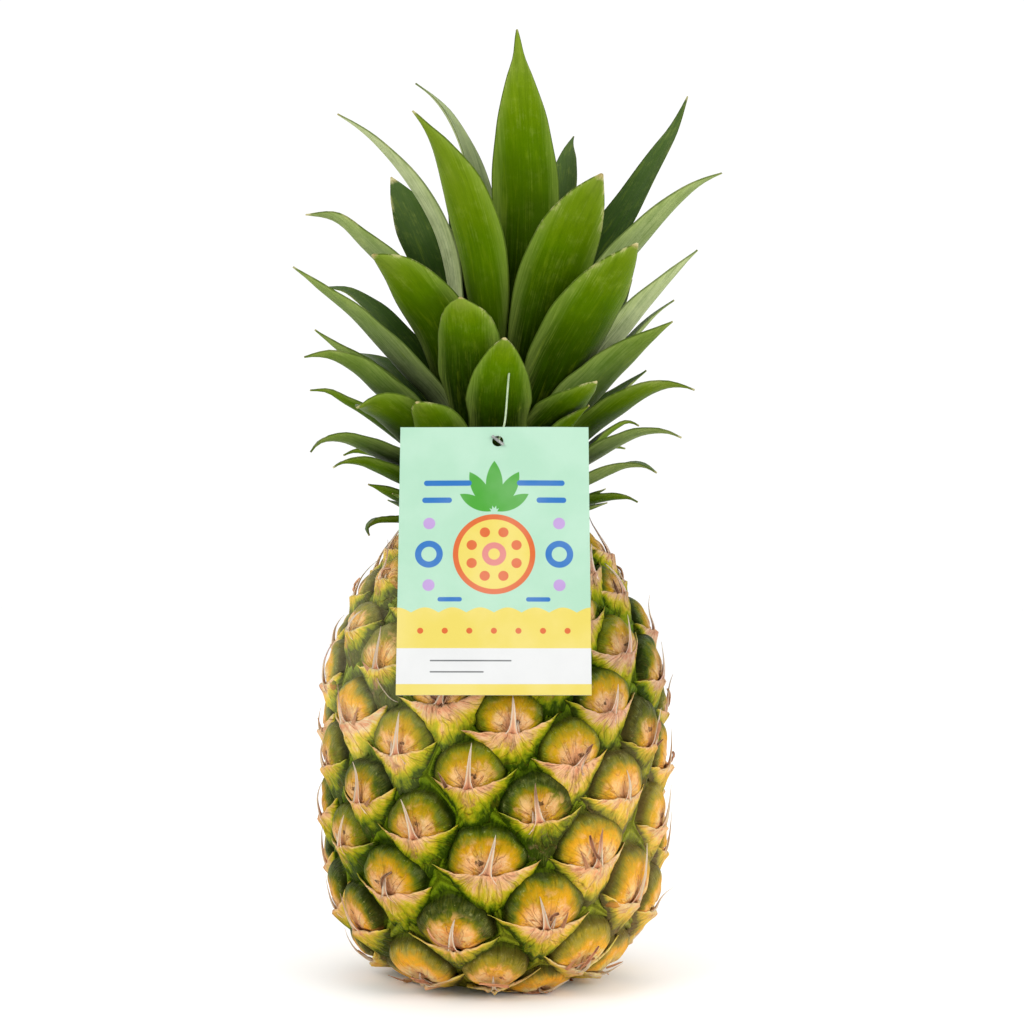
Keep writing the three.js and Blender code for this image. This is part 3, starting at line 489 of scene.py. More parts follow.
def voronoi():
    """For each eye, its cell on the unrolled skin (bearing, psi): corners in order with the labels that meet there."""
    cells = []
    for n in range(len(ids)):
        c = (0.0, E_PSI[n])
        poly = [(-2.0, 0.0), (2.0, 0.0), (2.0, PSI_TOP), (-2.0, PSI_TOP)]
        lab = ["low", "none", "high", "none"]  # label of the edge that leaves each corner
        d = np.hypot(turn(E_TH - E_TH[n]), E_PSI - E_PSI[n])
        for m in np.argsort(d)[1:26]:
            q = (turn(E_TH[m] - E_TH[n]), E_PSI[m])
            nx, ny = q[0] - c[0], q[1] - c[1]
            mx, my = (q[0] + c[0]) / 2, (q[1] + c[1]) / 2
            side = [(p[0] - mx) * nx + (p[1] - my) * ny for p in poly]
            if max(side) <= 0:
                continue
            np_, nl = [], []
            k = len(poly)
            for j in range(k):
                s0, s1 = side[j], side[(j + 1) % k]
                p0, p1 = poly[j], poly[(j + 1) % k]
                if s0 <= 0:
                    np_.append(p0)
                    nl.append(lab[j])
                    if s1 > 0:
                        f = s0 / (s0 - s1)
                        np_.append((p0[0] + (p1[0] - p0[0]) * f, p0[1] + (p1[1] - p0[1]) * f))
                        nl.append(int(m))
                elif s1 <= 0:
                    f = s0 / (s0 - s1)
                    np_.append((p0[0] + (p1[0] - p0[0]) * f, p0[1] + (p1[1] - p0[1]) * f))
                    nl.append(lab[j])
            poly, lab = np_, nl
        cells.append((poly, lab))
    return cells


CELLS = voronoi()


def key_of(n, l0, l1):
    return tuple(sorted([str(n), str(l0), str(l1)]))


corner_at = {}
for n, (poly, lab) in enumerate(CELLS):
    k = len(poly)
    for j in range(k):
        key = key_of(n, lab[j - 1], lab[j])
        if key not in corner_at:
            corner_at[key] = (E_TH[n] + poly[j][0], poly[j][1])

fruit = Build()
points, pa, pb, faces = [], [], [], []
corner_id, side_ids, rim_low, rim_high = {}, {}, [], []
CELL_INFO = []


def put(P, A, B):
    s = len(points)
    points.extend(P)
    pa.extend(A)
    pb.extend(B)
    return list(range(s, s + len(P)))


# corners and sides are shared by the cells that meet there
sides_of = []
for n, (poly, lab) in enumerate(CELLS):
    k = len(poly)
    mine = []
    for j in range(k):
        ka, kb = key_of(n, lab[j - 1], lab[j]), key_of(n, lab[j], lab[(j + 1) % k])
        for key in (ka, kb):
            if key not in corner_id:
                th, ps = corner_at[key]
                a = float(np.interp(ps, V_PSI, V_A))
                if "low" in key:
                    a = 0.0
                if "high" in key:
                    a = V_LEN
                corner_id[key] = put([skin(th, a, 0)], [(0, 0, 0, 2.0)], [(a / V_LEN, 1, 0.5, 0)])[0], th, a
        sk = (ka, kb) if ka < kb else (kb, ka)
        if sk not in side_ids:
            _, t0, a0 = corner_id[sk[0]]
            _, t1, a1 = corner_id[sk[1]]
            dt = turn(t1 - t0)
            rr = np.interp((a0 + a1) / 2, V_A, V_R)
            length = math.hypot(dt * rr, a1 - a0)
            cnt = int(np.clip(round(length / 1.62), 1, 14))
            f = np.arange(1, cnt) / cnt
            th, a = t0 + dt * f, a0 + (a1 - a0) * f
            inner = put(list(skin(th, a, 0)), [(0, 0, 0, 2.0)] * (cnt - 1), [(x / V_LEN, 1, 0.5, 0) for x in a]) if cnt > 1 else []
            side_ids[sk] = [corner_id[sk[0]][0]] + inner + [corner_id[sk[1]][0]], np.r_[t0, th, t0 + dt], np.r_[a0, a, a1]
        idl, th, a = side_ids[sk]
        if sk[0] == kb:
            idl, th, a = idl[::-1], th[::-1], a[::-1]
        mine.append((idl[:-1], th[:-1], a[:-1]))
        if lab[j] == "low":
            rim_low.append(idl)
        if lab[j] == "high":
            rim_high.append(idl)
    sides_of.append(mine)



def rng_puck(r):
    return 7 + int(r * 5)


RINGS_IN, RINGS_OUT = 11, 5  # rings across a dome and across the groove round it
look_rng = np.random.default_rng(5)
for n in range(len(ids)):
    mine = sides_of[n]
    bid = [i for s in mine for i in s[0]]
    th = np.concatenate([s[1] for s in mine])
    a = np.concatenate([s[2] for s in mine])
    rc = np.interp(E_A[n], V_A, V_R)
    x, y = turn(th - E_TH[n]) * rc, a - E_A[n]
    K = len(bid)
    xl, xr, yb, yt = x.min(), x.max(), y.min(), y.max()
    su = float(np.clip((xr - xl) / 27.2, 0.4, 1.3))
    sv = float(np.clip((yt - yb) / 29.0, 0.4, 1.3))
    yl, yr = y[x.argmin()], y[x.argmax()]
    size = math.sqrt(su * sv)
    edge = float(np.clip(min(E_A[n] / 15, (V_LEN - E_A[n]) / 15), 0.3, 1))
    rnd = look_rng.random(8)
    info = dict(n=n, i=ids[n], su=su, sv=sv, size=size, edge=edge, rc=rc, yl=float(yl), yr=float(yr), yb=float(yb), yt=float(yt), xl=float(xl), xr=float(xr), rnd=rnd)
    info["spot"] = float(look_rng.uniform(0.5, 1.25)) if look_rng.random() < 0.65 else 0.0
    CELL_INFO.append(info)
    # the dome's rim, a rounded outline inside the cell
    dc = np.array([0.0, 0.8 * sv])
    ex, ey = x - dc[0], y - dc[1]
    B = np.hypot(ex, ey)
    phi = np.arctan2(ey, ex)
    ax = (0.402 - 0.026 * np.clip(np.sin(phi), 0, 1) ** 0.5) * (xr - xl)
    up, dn = 0.615 * (yt - dc[1]), 9.3 * sv
    ay = np.where(ey > 0, up, dn)
    pw = np.where(ey > 0, 1.72 + 0.5 * rnd[4], 3.4)
    E = (np.abs(np.cos(phi) / ax) ** pw + np.abs(np.sin(phi) / ay) ** pw) ** (-1 / pw)
    wob = 1 + 0.035 * np.sin(3 * phi + rnd[0] * 6) + 0.024 * np.sin(5 * phi + rnd[1] * 6) + 0.020 * wave_noise(np.cos(phi) * 9, np.sin(phi) * 9, int(rnd[5] * 1e5), 8, 0.8, 2.2)
    E = np.minimum(E * wob, 0.93 * B)
    cosn, sinn = np.cos(phi), np.sin(phi)
    # colour rings are centred low on the dome, near the root of the spine
    F = np.array([0.0, -5.0 * sv])
    rimx, rimy = dc[0] + E * cosn, dc[1] + E * sinn
    fa = np.arctan2(rimy - F[1], rimx - F[0])
    fd = np.hypot(rimx - F[0], rimy - F[1])
    o = np.argsort(fa)
    fa_s, fd_s = fa[o], fd[o]
    fa_s = np.r_[fa_s[-1] - 2 * math.pi, fa_s, fa_s[0] + 2 * math.pi]
    fd_s = np.r_[fd_s[-1], fd_s, fd_s[0]]
    sr = np.r_[np.linspace(0, 1, RINGS_IN + 1)[1:] ** 0.85]
    ring_rows, rho_rows = [], []
    for s in sr:
        ring_rows.append(s * E)
        rho_rows.append(np.full(K, s))
    for m in range(1, RINGS_OUT):
        f = m / RINGS_OUT
        ring_rows.append(E + (B - E) * f)
        rho_rows.append(1 + f)
    Rr = np.array(ring_rows)
    rho = np.array([np.broadcast_to(q, (K,)) for q in rho_rows])
    PX, PY = dc[0] + Rr * cosn, dc[1] + Rr * sinn
    PX, PY, rho = np.r_[dc[0], PX.ravel()], np.r_[dc[1], PY.ravel()], np.r_[0.0, rho.ravel()]
    H = 3.7 * size ** 0.8 * edge * (0.9 + 0.2 * rnd[2])
    u, v = PX / su, PY / sv + EYE_LIFT
    inside = np.clip(rho, 0, 1)
    dome = H * np.clip(1 - inside ** 3.4, 0, 1) ** 0.62
    cheek = np.exp(-((u - 0.4 * (rnd[3] - 0.5)) / 1.7) ** 2) * smooth(-v, -12, -3)
    swell = np.exp(-((np.abs(u) - 4.3) / 2.5) ** 2 - ((v - 4.2) / 3.0) ** 2)
    dome = dome + (0.55 * swell - 0.60 * cheek) * edge * np.clip(1 - inside ** 4, 0, 1)
    pucker = np.cos(np.arctan2(u, v - 0.5) * rng_puck(rnd[4])) * np.exp(-np.hypot(u, v - 1.0) / 4.0)
    dome = dome + 0.42 * edge * pucker * smooth(np.hypot(u, v - 1.0), 0.3, 2.0)
    fan = np.arctan2(v + 1.0, u)
    creases = wave_noise(fan * 9 + rnd[4] * 40, np.hypot(u, v) * 0.35, int(rnd[5] * 1e6), 9, 0.5, 1.6)
    dome = dome + 0.15 * edge * creases * np.clip(1 - inside ** 8, 0, 1) * smooth(inside, 0.05, 0.4)
    dome = dome + 0.34 * edge * wave_noise(PX, PY, int(rnd[6] * 1e6), 6, 0.25, 0.9) * np.clip(1 - inside ** 6, 0, 1)
    g_ = np.clip(rho - 1, 0, 1)
    groove = np.where(rho > 1, -1.25 * edge * size * np.interp(g_, [0, 0.10, 0.22, 0.42, 0.7, 1.0], [0.45, 1.0, 0.85, 0.15, -0.25, -0.1]), 0)
    groove = groove + np.where(rho > 1, 0.12 * edge * wave_noise(PX * 1.3, PY * 1.3, int(rnd[7] * 1e6), 6, 0.3, 1.0) * np.sin(np.pi * g_), 0)
    lift = dome + groove
    th_p, a_p = E_TH[n] + PX / rc, E_A[n] + PY
    P = skin(th_p, np.clip(a_p, 0.01, V_LEN - 0.01), lift)
    ff = np.arctan2(PY - F[1], PX - F[0])
    w = np.hypot(PX - F[0], PY - F[1]) / np.interp(ff, fa_s, fd_s)
    w = np.where(rho > 1, 1 + 0.9 * g_, np.minimum(w, 1.0))
    A = np.stack([u, v, np.full_like(u, rnd[0]), w], axis=1)
    Bt = np.stack([a_p / V_LEN, rho / 2, np.full_like(u, rnd[1]), np.full_like(u, info["spot"])], axis=1)
    mineid = put(list(P), list(A), list(Bt))
    centre, rows = mineid[0], [mineid[1 + r * K:1 + (r + 1) * K] for r in range(len(Rr))]
    rows.append(bid)
    for j in range(K):
        faces.append((centre, rows[0][j], rows[0][(j + 1) % K]))
    for r in range(len(rows) - 1):
        for j in range(K):
            k2 = (j + 1) % K
            faces.append((rows[r][j], rows[r + 1][j], rows[r + 1][k2], rows[r][k2]))


def loop_of(segments):
    """Chains the pieces of a rim into one ring of vertex numbers, in order of bearing."""
    found = sorted({i for s in segments for i in s}, key=lambda i: math.atan2(points[i][0], -points[i][1]))
    return found


def cap(rim, radii, heights, up):
    """Closes the skin from a rim ring inward through rings of given radius and height to a centre point."""
    prev = rim
    ang = np.array([math.atan2(points[i][0], -points[i][1]) for i in rim])
    for rr, zz in zip(radii, heights):
        P = [(rr * math.sin(q), -rr * math.cos(q), zz + 0.0) for q in ang]
        cur = put(P, [(0, 0, 0, 3.0)] * len(ang), [(0.0 if up < 0 else 1.0, rr / 25, 0.5, 0)] * len(ang))
        for j in range(len(ang)):
            k2 = (j + 1) % len(ang)
            faces.append((prev[j], cur[j], cur[k2], prev[k2]) if up > 0 else (prev[j], prev[k2], cur[k2], cur[j]))
        prev = cur
    c = put([(0, 0, heights[-1])], [(0, 0, 0, 3.0)], [(0.0 if up < 0 else 1.0, 0, 0.5, 0)])[0]
    for j in range(len(ang)):
        k2 = (j + 1) % len(ang)
        faces.append((prev[j], c, prev[k2]) if up > 0 else (prev[j], prev[k2], c))


cap(loop_of(rim_low), [19.5, 17.0, SCAR_R + GAP + 0.5, SCAR_R + GAP, SCAR_R + GAP, 7.0], [0.0, 0.0, 0.0, 0.4, SCAR_T + GAP, SCAR_T + GAP], -1)
cap(loop_of(rim_high), [20.0, 16.0, 9.0], [161.3, 161.4, 161.4], 1)
fruit.add(np.array(points, float), faces, np.array(pa, float), np.array(pb, float))
fruit_obj = fruit.object("fruit_skin")
# ------------------------------------------------------------------ bracts and their spines
LIP_U = np.array([-14.5, -11.0, -7.3, -3.4, 0.0, 4.4, 9.6, 12.8])
LIP_V = np.array([2.9, 1.9, 0.7, 0.1, 0.1, 0.8, 2.9, 4.8])
LOW_U = np.array([-14.5, -12.3, -9.6, -7.0, -4.8, -2.2, 0.6, 3.3, 5.7, 7.8, 10.2, 11.8, 12.8])
LOW_V = np.array([2.9, 0.0, -3.2, -6.8, -10.2, -12.8, -13.6, -12.8, -10.4, -7.4, -3.4, 0.5, 4.6])
LIFT_U = np.array([-14.5, -12.0, -9.0, -6.0, -3.0, 0.0, 3.0, 6.0, 9.0, 12.8])
LIFT_H = np.array([1.1, 2.1, 2.8, 3.3, 3.8, 4.1, 3.8, 3.3, 2.6, 1.1])
NP, NQ = 37, 12
TAG_MID = TAG_TOP - TAG_UP * TAG_H / 2


def behind_tag(P):
    """How near each point is to passing through the back of the card: height above it, inside its outline."""
    d = np.asarray(P) - TAG_TOP
    x, y, z = d @ TAG_X, -(d @ TAG_UP), d @ TAG_OUT
    inside = (np.abs(x) < TAG_W / 2 + 1.5) & (y > -2) & (y < TAG_H + 1.5)
    return np.where(inside, z, -99.0)


def keep_behind_tag(P, clearance=1.1):
    """Moves points that would pass through the card back behind it."""
    z = behind_tag(P)
    push = np.maximum(z + clearance, 0)
    push = np.where(z < -50, 0, push)
    return P - push[..., None] * TAG_OUT


def on_eye(info, x, y, lift):
    """Point x mm round and y mm up from an eye's middle; past the shoulder the way up goes on straight."""
    n = info["n"]
    th = E_TH[n] + np.asarray(x) / info["rc"]
    a = E_A[n] + np.asarray(y)
    hold = np.clip(a, 0.4, min(E_A[n] + 6.0, V_LEN - 0.2))
    extra = np.maximum(a - hold, 0)
    k = min(E_A[n] + 4.0, V_LEN)
    tr, tz = np.interp(k, V_A, _tan[:, 0]), np.interp(k, V_A, _tan[:, 1])
    way = np.stack([tr * np.sin(th), -tr * np.cos(th), np.broadcast_to(tz, th.shape)], axis=-1)
    return skin(th, hold, lift) + way * extra[..., None]


def ribbon(build, P, side, out, width, thick, A, B, hollow=0.0, cols=5, clearance=1.2):
    """Closed thin blade along the points P: side and out are unit directions, hollow lifts its edges."""
    P, side, out = np.asarray(P), np.asarray(side), np.asarray(out)
    rows = len(P)
    c = np.linspace(-1, 1, cols)
    W = np.asarray(width)[:, None] * c[None, :]
    hl = np.asarray(hollow) * np.ones(rows)
    hh = hl[:, None] * (np.abs(c[None, :]) ** 1.5 - 0.4)
    tk = np.asarray(thick)[:, None] * (1 - 0.55 * np.abs(c[None, :]) ** 2) + 0.05
    top = P[:, None] + side[:, None] * W[..., None] + out[:, None] * (hh + tk / 2)[..., None]
    bot = P[:, None] + side[:, None] * W[..., None] + out[:, None] * (hh - tk / 2)[..., None]
    top, bot = keep_behind_tag(top, clearance), keep_behind_tag(bot, clearance + 0.2)
    top[..., 2] = np.maximum(top[..., 2], 0.35)
    bot[..., 2] = np.maximum(bot[..., 2], 0.12)
    m = rows * cols
    fc = grid_faces(rows, cols, 0) + grid_faces(rows, cols, m, flip=True)
    ring = list(range(cols)) + [r * cols + cols - 1 for r in range(1, rows)] + [(rows - 1) * cols + k for k in range(cols - 2, -1, -1)] + [r * cols for r in range(rows - 2, 0, -1)]
    for q in range(len(ring)):
        c0, c1 = ring[q], ring[(q + 1) % len(ring)]
        fc.append((c1, c0, c0 + m, c1 + m))
    s = np.linspace(0, 1, rows)[:, None] + 0 * c[None, :]
    cc = c[None, :] + 0 * s
    At = np.stack([cc.ravel(), s.ravel(), np.full(m, A[2]), np.full(m, A[3])], axis=1)
    Bt = np.stack([np.full(m, B[0]), np.abs(cc).ravel(), np.full(m, B[2]), np.full(m, B[3])], axis=1)
    build.add(np.vstack([top.reshape(-1, 3), bot.reshape(-1, 3)]), fc, np.vstack([At, At]), np.vstack([Bt, Bt]))


def unit(v):
    return v / np.maximum(np.linalg.norm(v, axis=-1, keepdims=True), 1e-9)


def blade_on_eye(build, info, x, y, lift, width, thick, A, B, hollow=0.0, twist=0.0, cols=5):
    """A ribbon whose middle line is given in an eye's own measures; twist (radians) turns it about that line."""
    x, y, lift = np.asarray(x, float), np.asarray(y, float), np.asarray(lift, float)
    P = on_eye(info, x, y, lift)
    up = unit(on_eye(info, x, y, lift + 1.0) - P)
    along = unit(np.gradient(P, axis=0))
    side = unit(np.cross(along, up))
    out = unit(np.cross(side, along))
    tw = np.asarray(twist) * np.ones(len(x))
    s2 = side * np.cos(tw)[:, None] + out * np.sin(tw)[:, None]
    o2 = out * np.cos(tw)[:, None] - side * np.sin(tw)[:, None]
    ribbon(build, P, s2, o2, width, thick, A, B, hollow, cols)


lower, upper, spines = Build(), Build(), Build()
pgrid = np.linspace(-1, 1, NP)
pgrid = np.sign(pgrid) * np.abs(pgrid) ** 1.2
BRACT_U = np.where(pgrid < 0, 14.5 * pgrid, 12.8 * pgrid)
qgrid = np.linspace(0, 1, NQ) ** 1.12
# eyes whose flower remains show as a dry brown curl: number, start and end of the curl on the eye in mm
CURLS = {-16: ((1.2, 1.2), (-3.0, 9.0)), -26: ((-0.6, 1.6), (3.2, 7.0)), -34: ((0.4, 1.0), (-5.6, 7.2)), -42: ((-4.6, 3.4), (4.2, 3.2)),
         -37: ((-1.2, 0.6), (0.8, 9.6)), 10: ((0.4, 0.8), (2.8, 7.6)), -47: ((-2.8, 2.8), (2.6, 2.6)), 5: ((2.0, 1.6), (4.6, 6.0)), -29: ((0.6, 2.2), (2.4, 4.4))}
for info in CELL_INFO:
    n, su, sv, edge, rnd, i = info["n"], info["su"], info["sv"], info["edge"], info["rnd"], info["i"]
    rg = np.random.default_rng(1000 + n)
    hgt = E_A[n] / V_LEN
    reach_l, reach_r = rg.uniform(0.80, 1.08), rg.uniform(0.88, 1.16)
    tilt_l, tilt_r = rg.uniform(-1.5, 1.7), rg.uniform(-1.5, 1.7)
    dl = (info["yl"] - (3.7 - 5.6) * sv) * 0.6
    dr = (info["yr"] - (7.5 - 5.6) * sv) * 0.6
    lipv = pchip(LIP_U, LIP_V, BRACT_U)
    lowv = pchip(LOW_U, LOW_V, BRACT_U)
    far = np.abs(pgrid) ** 2.2
    tip_shift = np.where(pgrid < 0, tilt_l, tilt_r) * far
    mid_drop = rg.uniform(-1.0, 0.8)
    lowv = lowv + mid_drop * np.exp(-((BRACT_U - rg.uniform(-2.2, 2.2)) / 4) ** 2)
    liph = pchip(LIFT_U, LIFT_H, BRACT_U)
    fade = np.clip(1 - (np.abs(pgrid)) ** 3, 0, 1)
    wave = 0.35 * np.sin(BRACT_U * 0.55 + rg.uniform(0, 6)) + 0.22 * np.sin(BRACT_U * 1.3 + rg.uniform(0, 6)) + 0.12 * np.sin(BRACT_U * 2.9 + rg.uniform(0, 6))
    lipv = lipv + wave * 0.85 * fade + tip_shift
    lowv = lowv + tip_shift
    liph = liph + 0.3 * wave * fade + np.where(pgrid < 0, rg.uniform(-0.3, 0.9), rg.uniform(-0.3, 0.9)) * np.abs(pgrid) ** 3
    U = BRACT_U[None, :] * np.where(BRACT_U < 0, reach_l, reach_r)[None, :] + 0 * qgrid[:, None]
    # the low edge is a little ragged
    rag = 0.8 * wave_noise(BRACT_U * 1.0, 0 * BRACT_U, 300 + n, 8, 0.5, 3.2) * fade
    Vv = lipv[None, :] * (1 - qgrid[:, None]) + (lowv + rag)[None, :] * qgrid[:, None]
    # the body runs a little towards its point
    U = U * (1 - 0.12 * qgrid[:, None] * np.exp(-(BRACT_U[None, :] / 6) ** 2))
    drop = 1 - qgrid[:, None] ** (1.05 + 0.6 * np.exp(-(BRACT_U[None, :] / 5) ** 2))
    lift = (liph[None, :] + 0.35) * drop - 0.35
    fan = np.arctan2(U, 4.5 - Vv)
    dist = np.hypot(U, 4.5 - Vv)
    fibre = wave_noise(fan * 16.0, dist * 0.16, 77 + n, 10, 0.6, 2.2)
    body = np.sin(np.pi * np.clip(qgrid, 0.0, 1.0))[:, None] ** 0.7
    rim_ridge = np.exp(-((qgrid[:, None] - 0.06) / 0.055) ** 2) * fade[None, :]
    lift = lift + 0.34 * rim_ridge + 0.26 * fibre * body * fade[None, :]
    # pleats run down from the root of the spine, and the foot is often split
    pleat = np.cos(U * 2 * math.pi / rg.uniform(1.9, 2.6) + rg.uniform(0, 6)) * np.exp(-(U / 3.4) ** 2) * (1 - qgrid[:, None]) ** 1.1
    lift = lift + 0.22 * pleat
    keel = np.exp(-(U / 1.7) ** 2) * np.clip(1 - qgrid[:, None] * 1.1, 0, 1)
    lift = lift + 0.35 * keel
    # a lumpy knuckle at the root of the spine, from which the folds spread
    knuckle = np.exp(-(U / rg.uniform(2.2, 3.2)) ** 2 - ((Vv - float(np.interp(0, BRACT_U, lipv)) + 1.3) / rg.uniform(1.5, 2.3)) ** 2)
    ridges = np.cos(np.arctan2(U, 2.2 + float(np.interp(0, BRACT_U, lipv)) - Vv) * rg.uniform(7, 10) + rg.uniform(-0.6, 0.6))
    lift = lift + knuckle * (0.75 + 0.42 * ridges) + 0.22 * ridges * np.exp(-np.hypot(U, Vv) / 4.5) * (1 - qgrid[:, None])
    if rg.random() < 0.65:
        us = rg.uniform(-1.6, 1.6)
        q_ = np.clip((qgrid[:, None] - 0.35) / 0.3, 0, 1)
        lift = lift - 0.7 * np.exp(-((U - us) / 0.55) ** 2) * q_ * np.clip((1.02 - qgrid[:, None]) / 0.25, 0, 1)
    lift = lift + 0.16 * wave_noise(U, Vv, 900 + n, 7, 0.3, 1.1) * body
    x = U * su
    shift = np.where(U < 0, dl * np.clip(-U / 14.5, 0, 1.1) ** 1.4, dr * np.clip(U / 12.8, 0, 1.1) ** 1.4)
    y = (Vv - EYE_LIFT) * sv + shift
    lift = lift * edge * info["size"] ** 0.5
    th = E_TH[n] + x / info["rc"]
    a = np.clip(E_A[n] + y, 0.4, V_LEN - 0.2)
    thick = (0.70 * (1 - qgrid[:, None]) + 0.25) * (0.35 + 0.65 * fade[None, :]) * edge
    top = skin(th, a, lift)
    # the underside turns in below the lip
    a_under = a - 0.35 * (1 - qgrid[:, None]) * fade[None, :] * sv
    bot = skin(th, np.clip(a_under, 0.3, V_LEN), lift - thick)
    top, bot = keep_behind_tag(top), keep_behind_tag(bot)
    A = np.stack([U.ravel(), Vv.ravel(), np.full(U.size, rnd[0]), np.broadcast_to(qgrid[:, None], U.shape).ravel()], axis=1)
    Bt = np.stack([np.full(U.size, hgt), np.abs(np.broadcast_to(pgrid[None, :], U.shape)).ravel(), np.full(U.size, rnd[1]), np.full(U.size, 1.0)], axis=1)
    verts = np.vstack([top.reshape(-1, 3), bot.reshape(-1, 3)])
    m = NP * NQ
    fc = grid_faces(NQ, NP, 0, flip=True) + grid_faces(NQ, NP, m)
    ringv = list(range(NP)) + [r * NP + NP - 1 for r in range(1, NQ)] + [(NQ - 1) * NP + c for c in range(NP - 2, -1, -1)] + [r * NP for r in range(NQ - 2, 0, -1)]
    for q in range(len(ringv)):
        c0, c1 = ringv[q], ringv[(q + 1) % len(ringv)]
        fc.append((c0, c1, c1 + m, c0 + m))
    (lower if hgt < 0.5 else upper).add(verts, fc, np.vstack([A, A]), np.vstack([Bt, Bt]))

    # ---- spine: a folded blade with raised margins that stands up from the lip over the dome
    rows = 17
    s = np.linspace(0, 1, rows)
    sz = info["size"] ** 0.5
    long = (12.6 + rg.normal(0, 1.6)) * max(0.75, info["size"]) + 3.5 * smooth(hgt, 0.72, 0.95)
    if rg.random() < 0.10 or i in CURLS:
        long *= 0.62 if i not in (-16, 10) else 0.8
    lean = math.radians(rg.normal(6, 11))
    bend = rg.uniform(-0.35, 0.5)
    curl = rg.uniform(-0.3, 0.6) + (rg.uniform(0.4, 1.3) if rg.random() < 0.22 else 0.0)
    wide = rg.uniform(0.82, 1.15) * max(0.7, info["size"]) ** 0.7
    width = pchip([0, 0.10, 0.18, 0.28, 0.45, 0.65, 0.85, 1], [3.7, 2.5, 1.6, 1.1, 0.80, 0.56, 0.32, 0.05], s) * wide
    along = -2.4 + (long + 2.4) * s
    ang = lean + bend * s
    px = np.cumsum(np.r_[0, np.diff(along)] * np.sin(ang))
    py = along[0] + np.cumsum(np.r_[0, np.diff(along)] * np.cos(ang))
    px = px - px[2]
    rise = pchip([0, 0.15, 0.3, 0.55, 0.8, 1], [2.9, 4.1, 4.8, 5.3, 5.1 + 0.9 * curl, 4.6 + 2.4 * curl], s) * edge ** 0.6 * sz
    hollow = 0.85 * np.clip(s / 0.12, 0, 1) * (1 - s) ** 0.8 * np.minimum(width, 1.2)
    blade_on_eye(spines, info, px, (py - EYE_LIFT) + EYE_LIFT * (1 - sv), rise, width, 0.34 * (1 - 0.7 * s),
                 (0, 0, rnd[3], 0), (hgt, 0, rnd[1], 2.0), hollow=hollow, twist=rg.uniform(-0.25, 0.25) * s, cols=7)
    # a small second point beside some of them
    if rg.random() < 0.32:
        sd = 1 if rg.random() < 0.65 else -1
        s9 = np.linspace(0, 1, 8)
        ln = rg.uniform(2.6, 5.0) * sz
        x9 = sd * (1.7 + 0.8 * s9 * rg.uniform(-0.4, 1.2))
        y9 = -0.9 + (ln + 0.9) * s9 - EYE_LIFT * sv
        blade_on_eye(spines, info, x9, y9, (3.7 + 0.9 * s9) * edge ** 0.6 * sz, 0.75 * (1 - s9) ** 0.8 + 0.05, 0.3 * (1 - 0.6 * s9),
                     (0, 0, rnd[3] * 0.5, 0), (hgt, 0, rnd[1], 2.0), hollow=0.15, cols=5)
    # dry curled remains of the flower
    if i in CURLS or rg.random() < 0.10:
        (x0, y0), (x1, y1) = CURLS.get(i, ((rg.uniform(-1, 1), 1.2), (rg.uniform(-4, 4), rg.uniform(4, 8))))
        s9 = np.linspace(0, 1, 12)
        bow = rg.uniform(0.6, 1.4)
        nx, ny = -(y1 - y0), (x1 - x0)
        nl = math.hypot(nx, ny)
        cx = x0 + (x1 - x0) * s9 + nx / nl * bow * np.sin(math.pi * s9)
        cy = y0 + (y1 - y0) * s9 + ny / nl * bow * np.sin(math.pi * s9)
        wd = 0.52 * np.sin(math.pi * np.clip(0.12 + 0.8 * s9, 0, 1)) ** 0.7 * (1 + 0.35 * np.sin(9 * s9 + n)) + 0.08
        blade_on_eye(spines, info, cx * su, (cy - EYE_LIFT) * sv, (4.5 + 0.9 * np.sin(math.pi * s9) + 0.9 * s9) * sz, wd * sz, 0.22 + 0 * s9,
                     (0, 0, rnd[3], 0), (hgt, 0, rnd[1], 3.0), hollow=0.55, twist=np.linspace(-0.5, 1.0, 12), cols=5)
    # dry slivers of old bract margin that stand off the lip
    for k in range(int(rg.random() < 0.24) + (1 if hgt < 0.18 else 0)):
        u0 = rg.uniform(-6.5, 6.5)
        s9 = np.linspace(0, 1, 10)
        ln = rg.uniform(3.0, 6.0)
        aim = rg.uniform(-0.6, 0.6) + (-0.3 if hgt < 0.2 else 0.3) * np.sign(u0)
        lv = float(np.interp(u0, BRACT_U, lipv))
        lh = float(np.interp(u0, BRACT_U, liph))
        cx = u0 + ln * s9 * math.sin(aim) + 0.8 * s9 ** 2 * rg.uniform(-1, 1)
        cy = lv - 0.7 + ln * s9 * math.cos(aim)
        ht = lh + 0.4 + rg.uniform(0.6, 2.2) * s9 ** 1.3
        blade_on_eye(spines, info, cx * su, (cy - EYE_LIFT) * sv, ht * edge ** 0.5 * sz, 0.72 * (1 - s9) ** 0.7 + 0.05, 0.18 + 0 * s9,
                     (0, 0, rnd[3], 0), (hgt, 0, rg.random(), 3.0), hollow=0.1, twist=rg.uniform(-0.6, 0.6) + 0.8 * s9, cols=3)
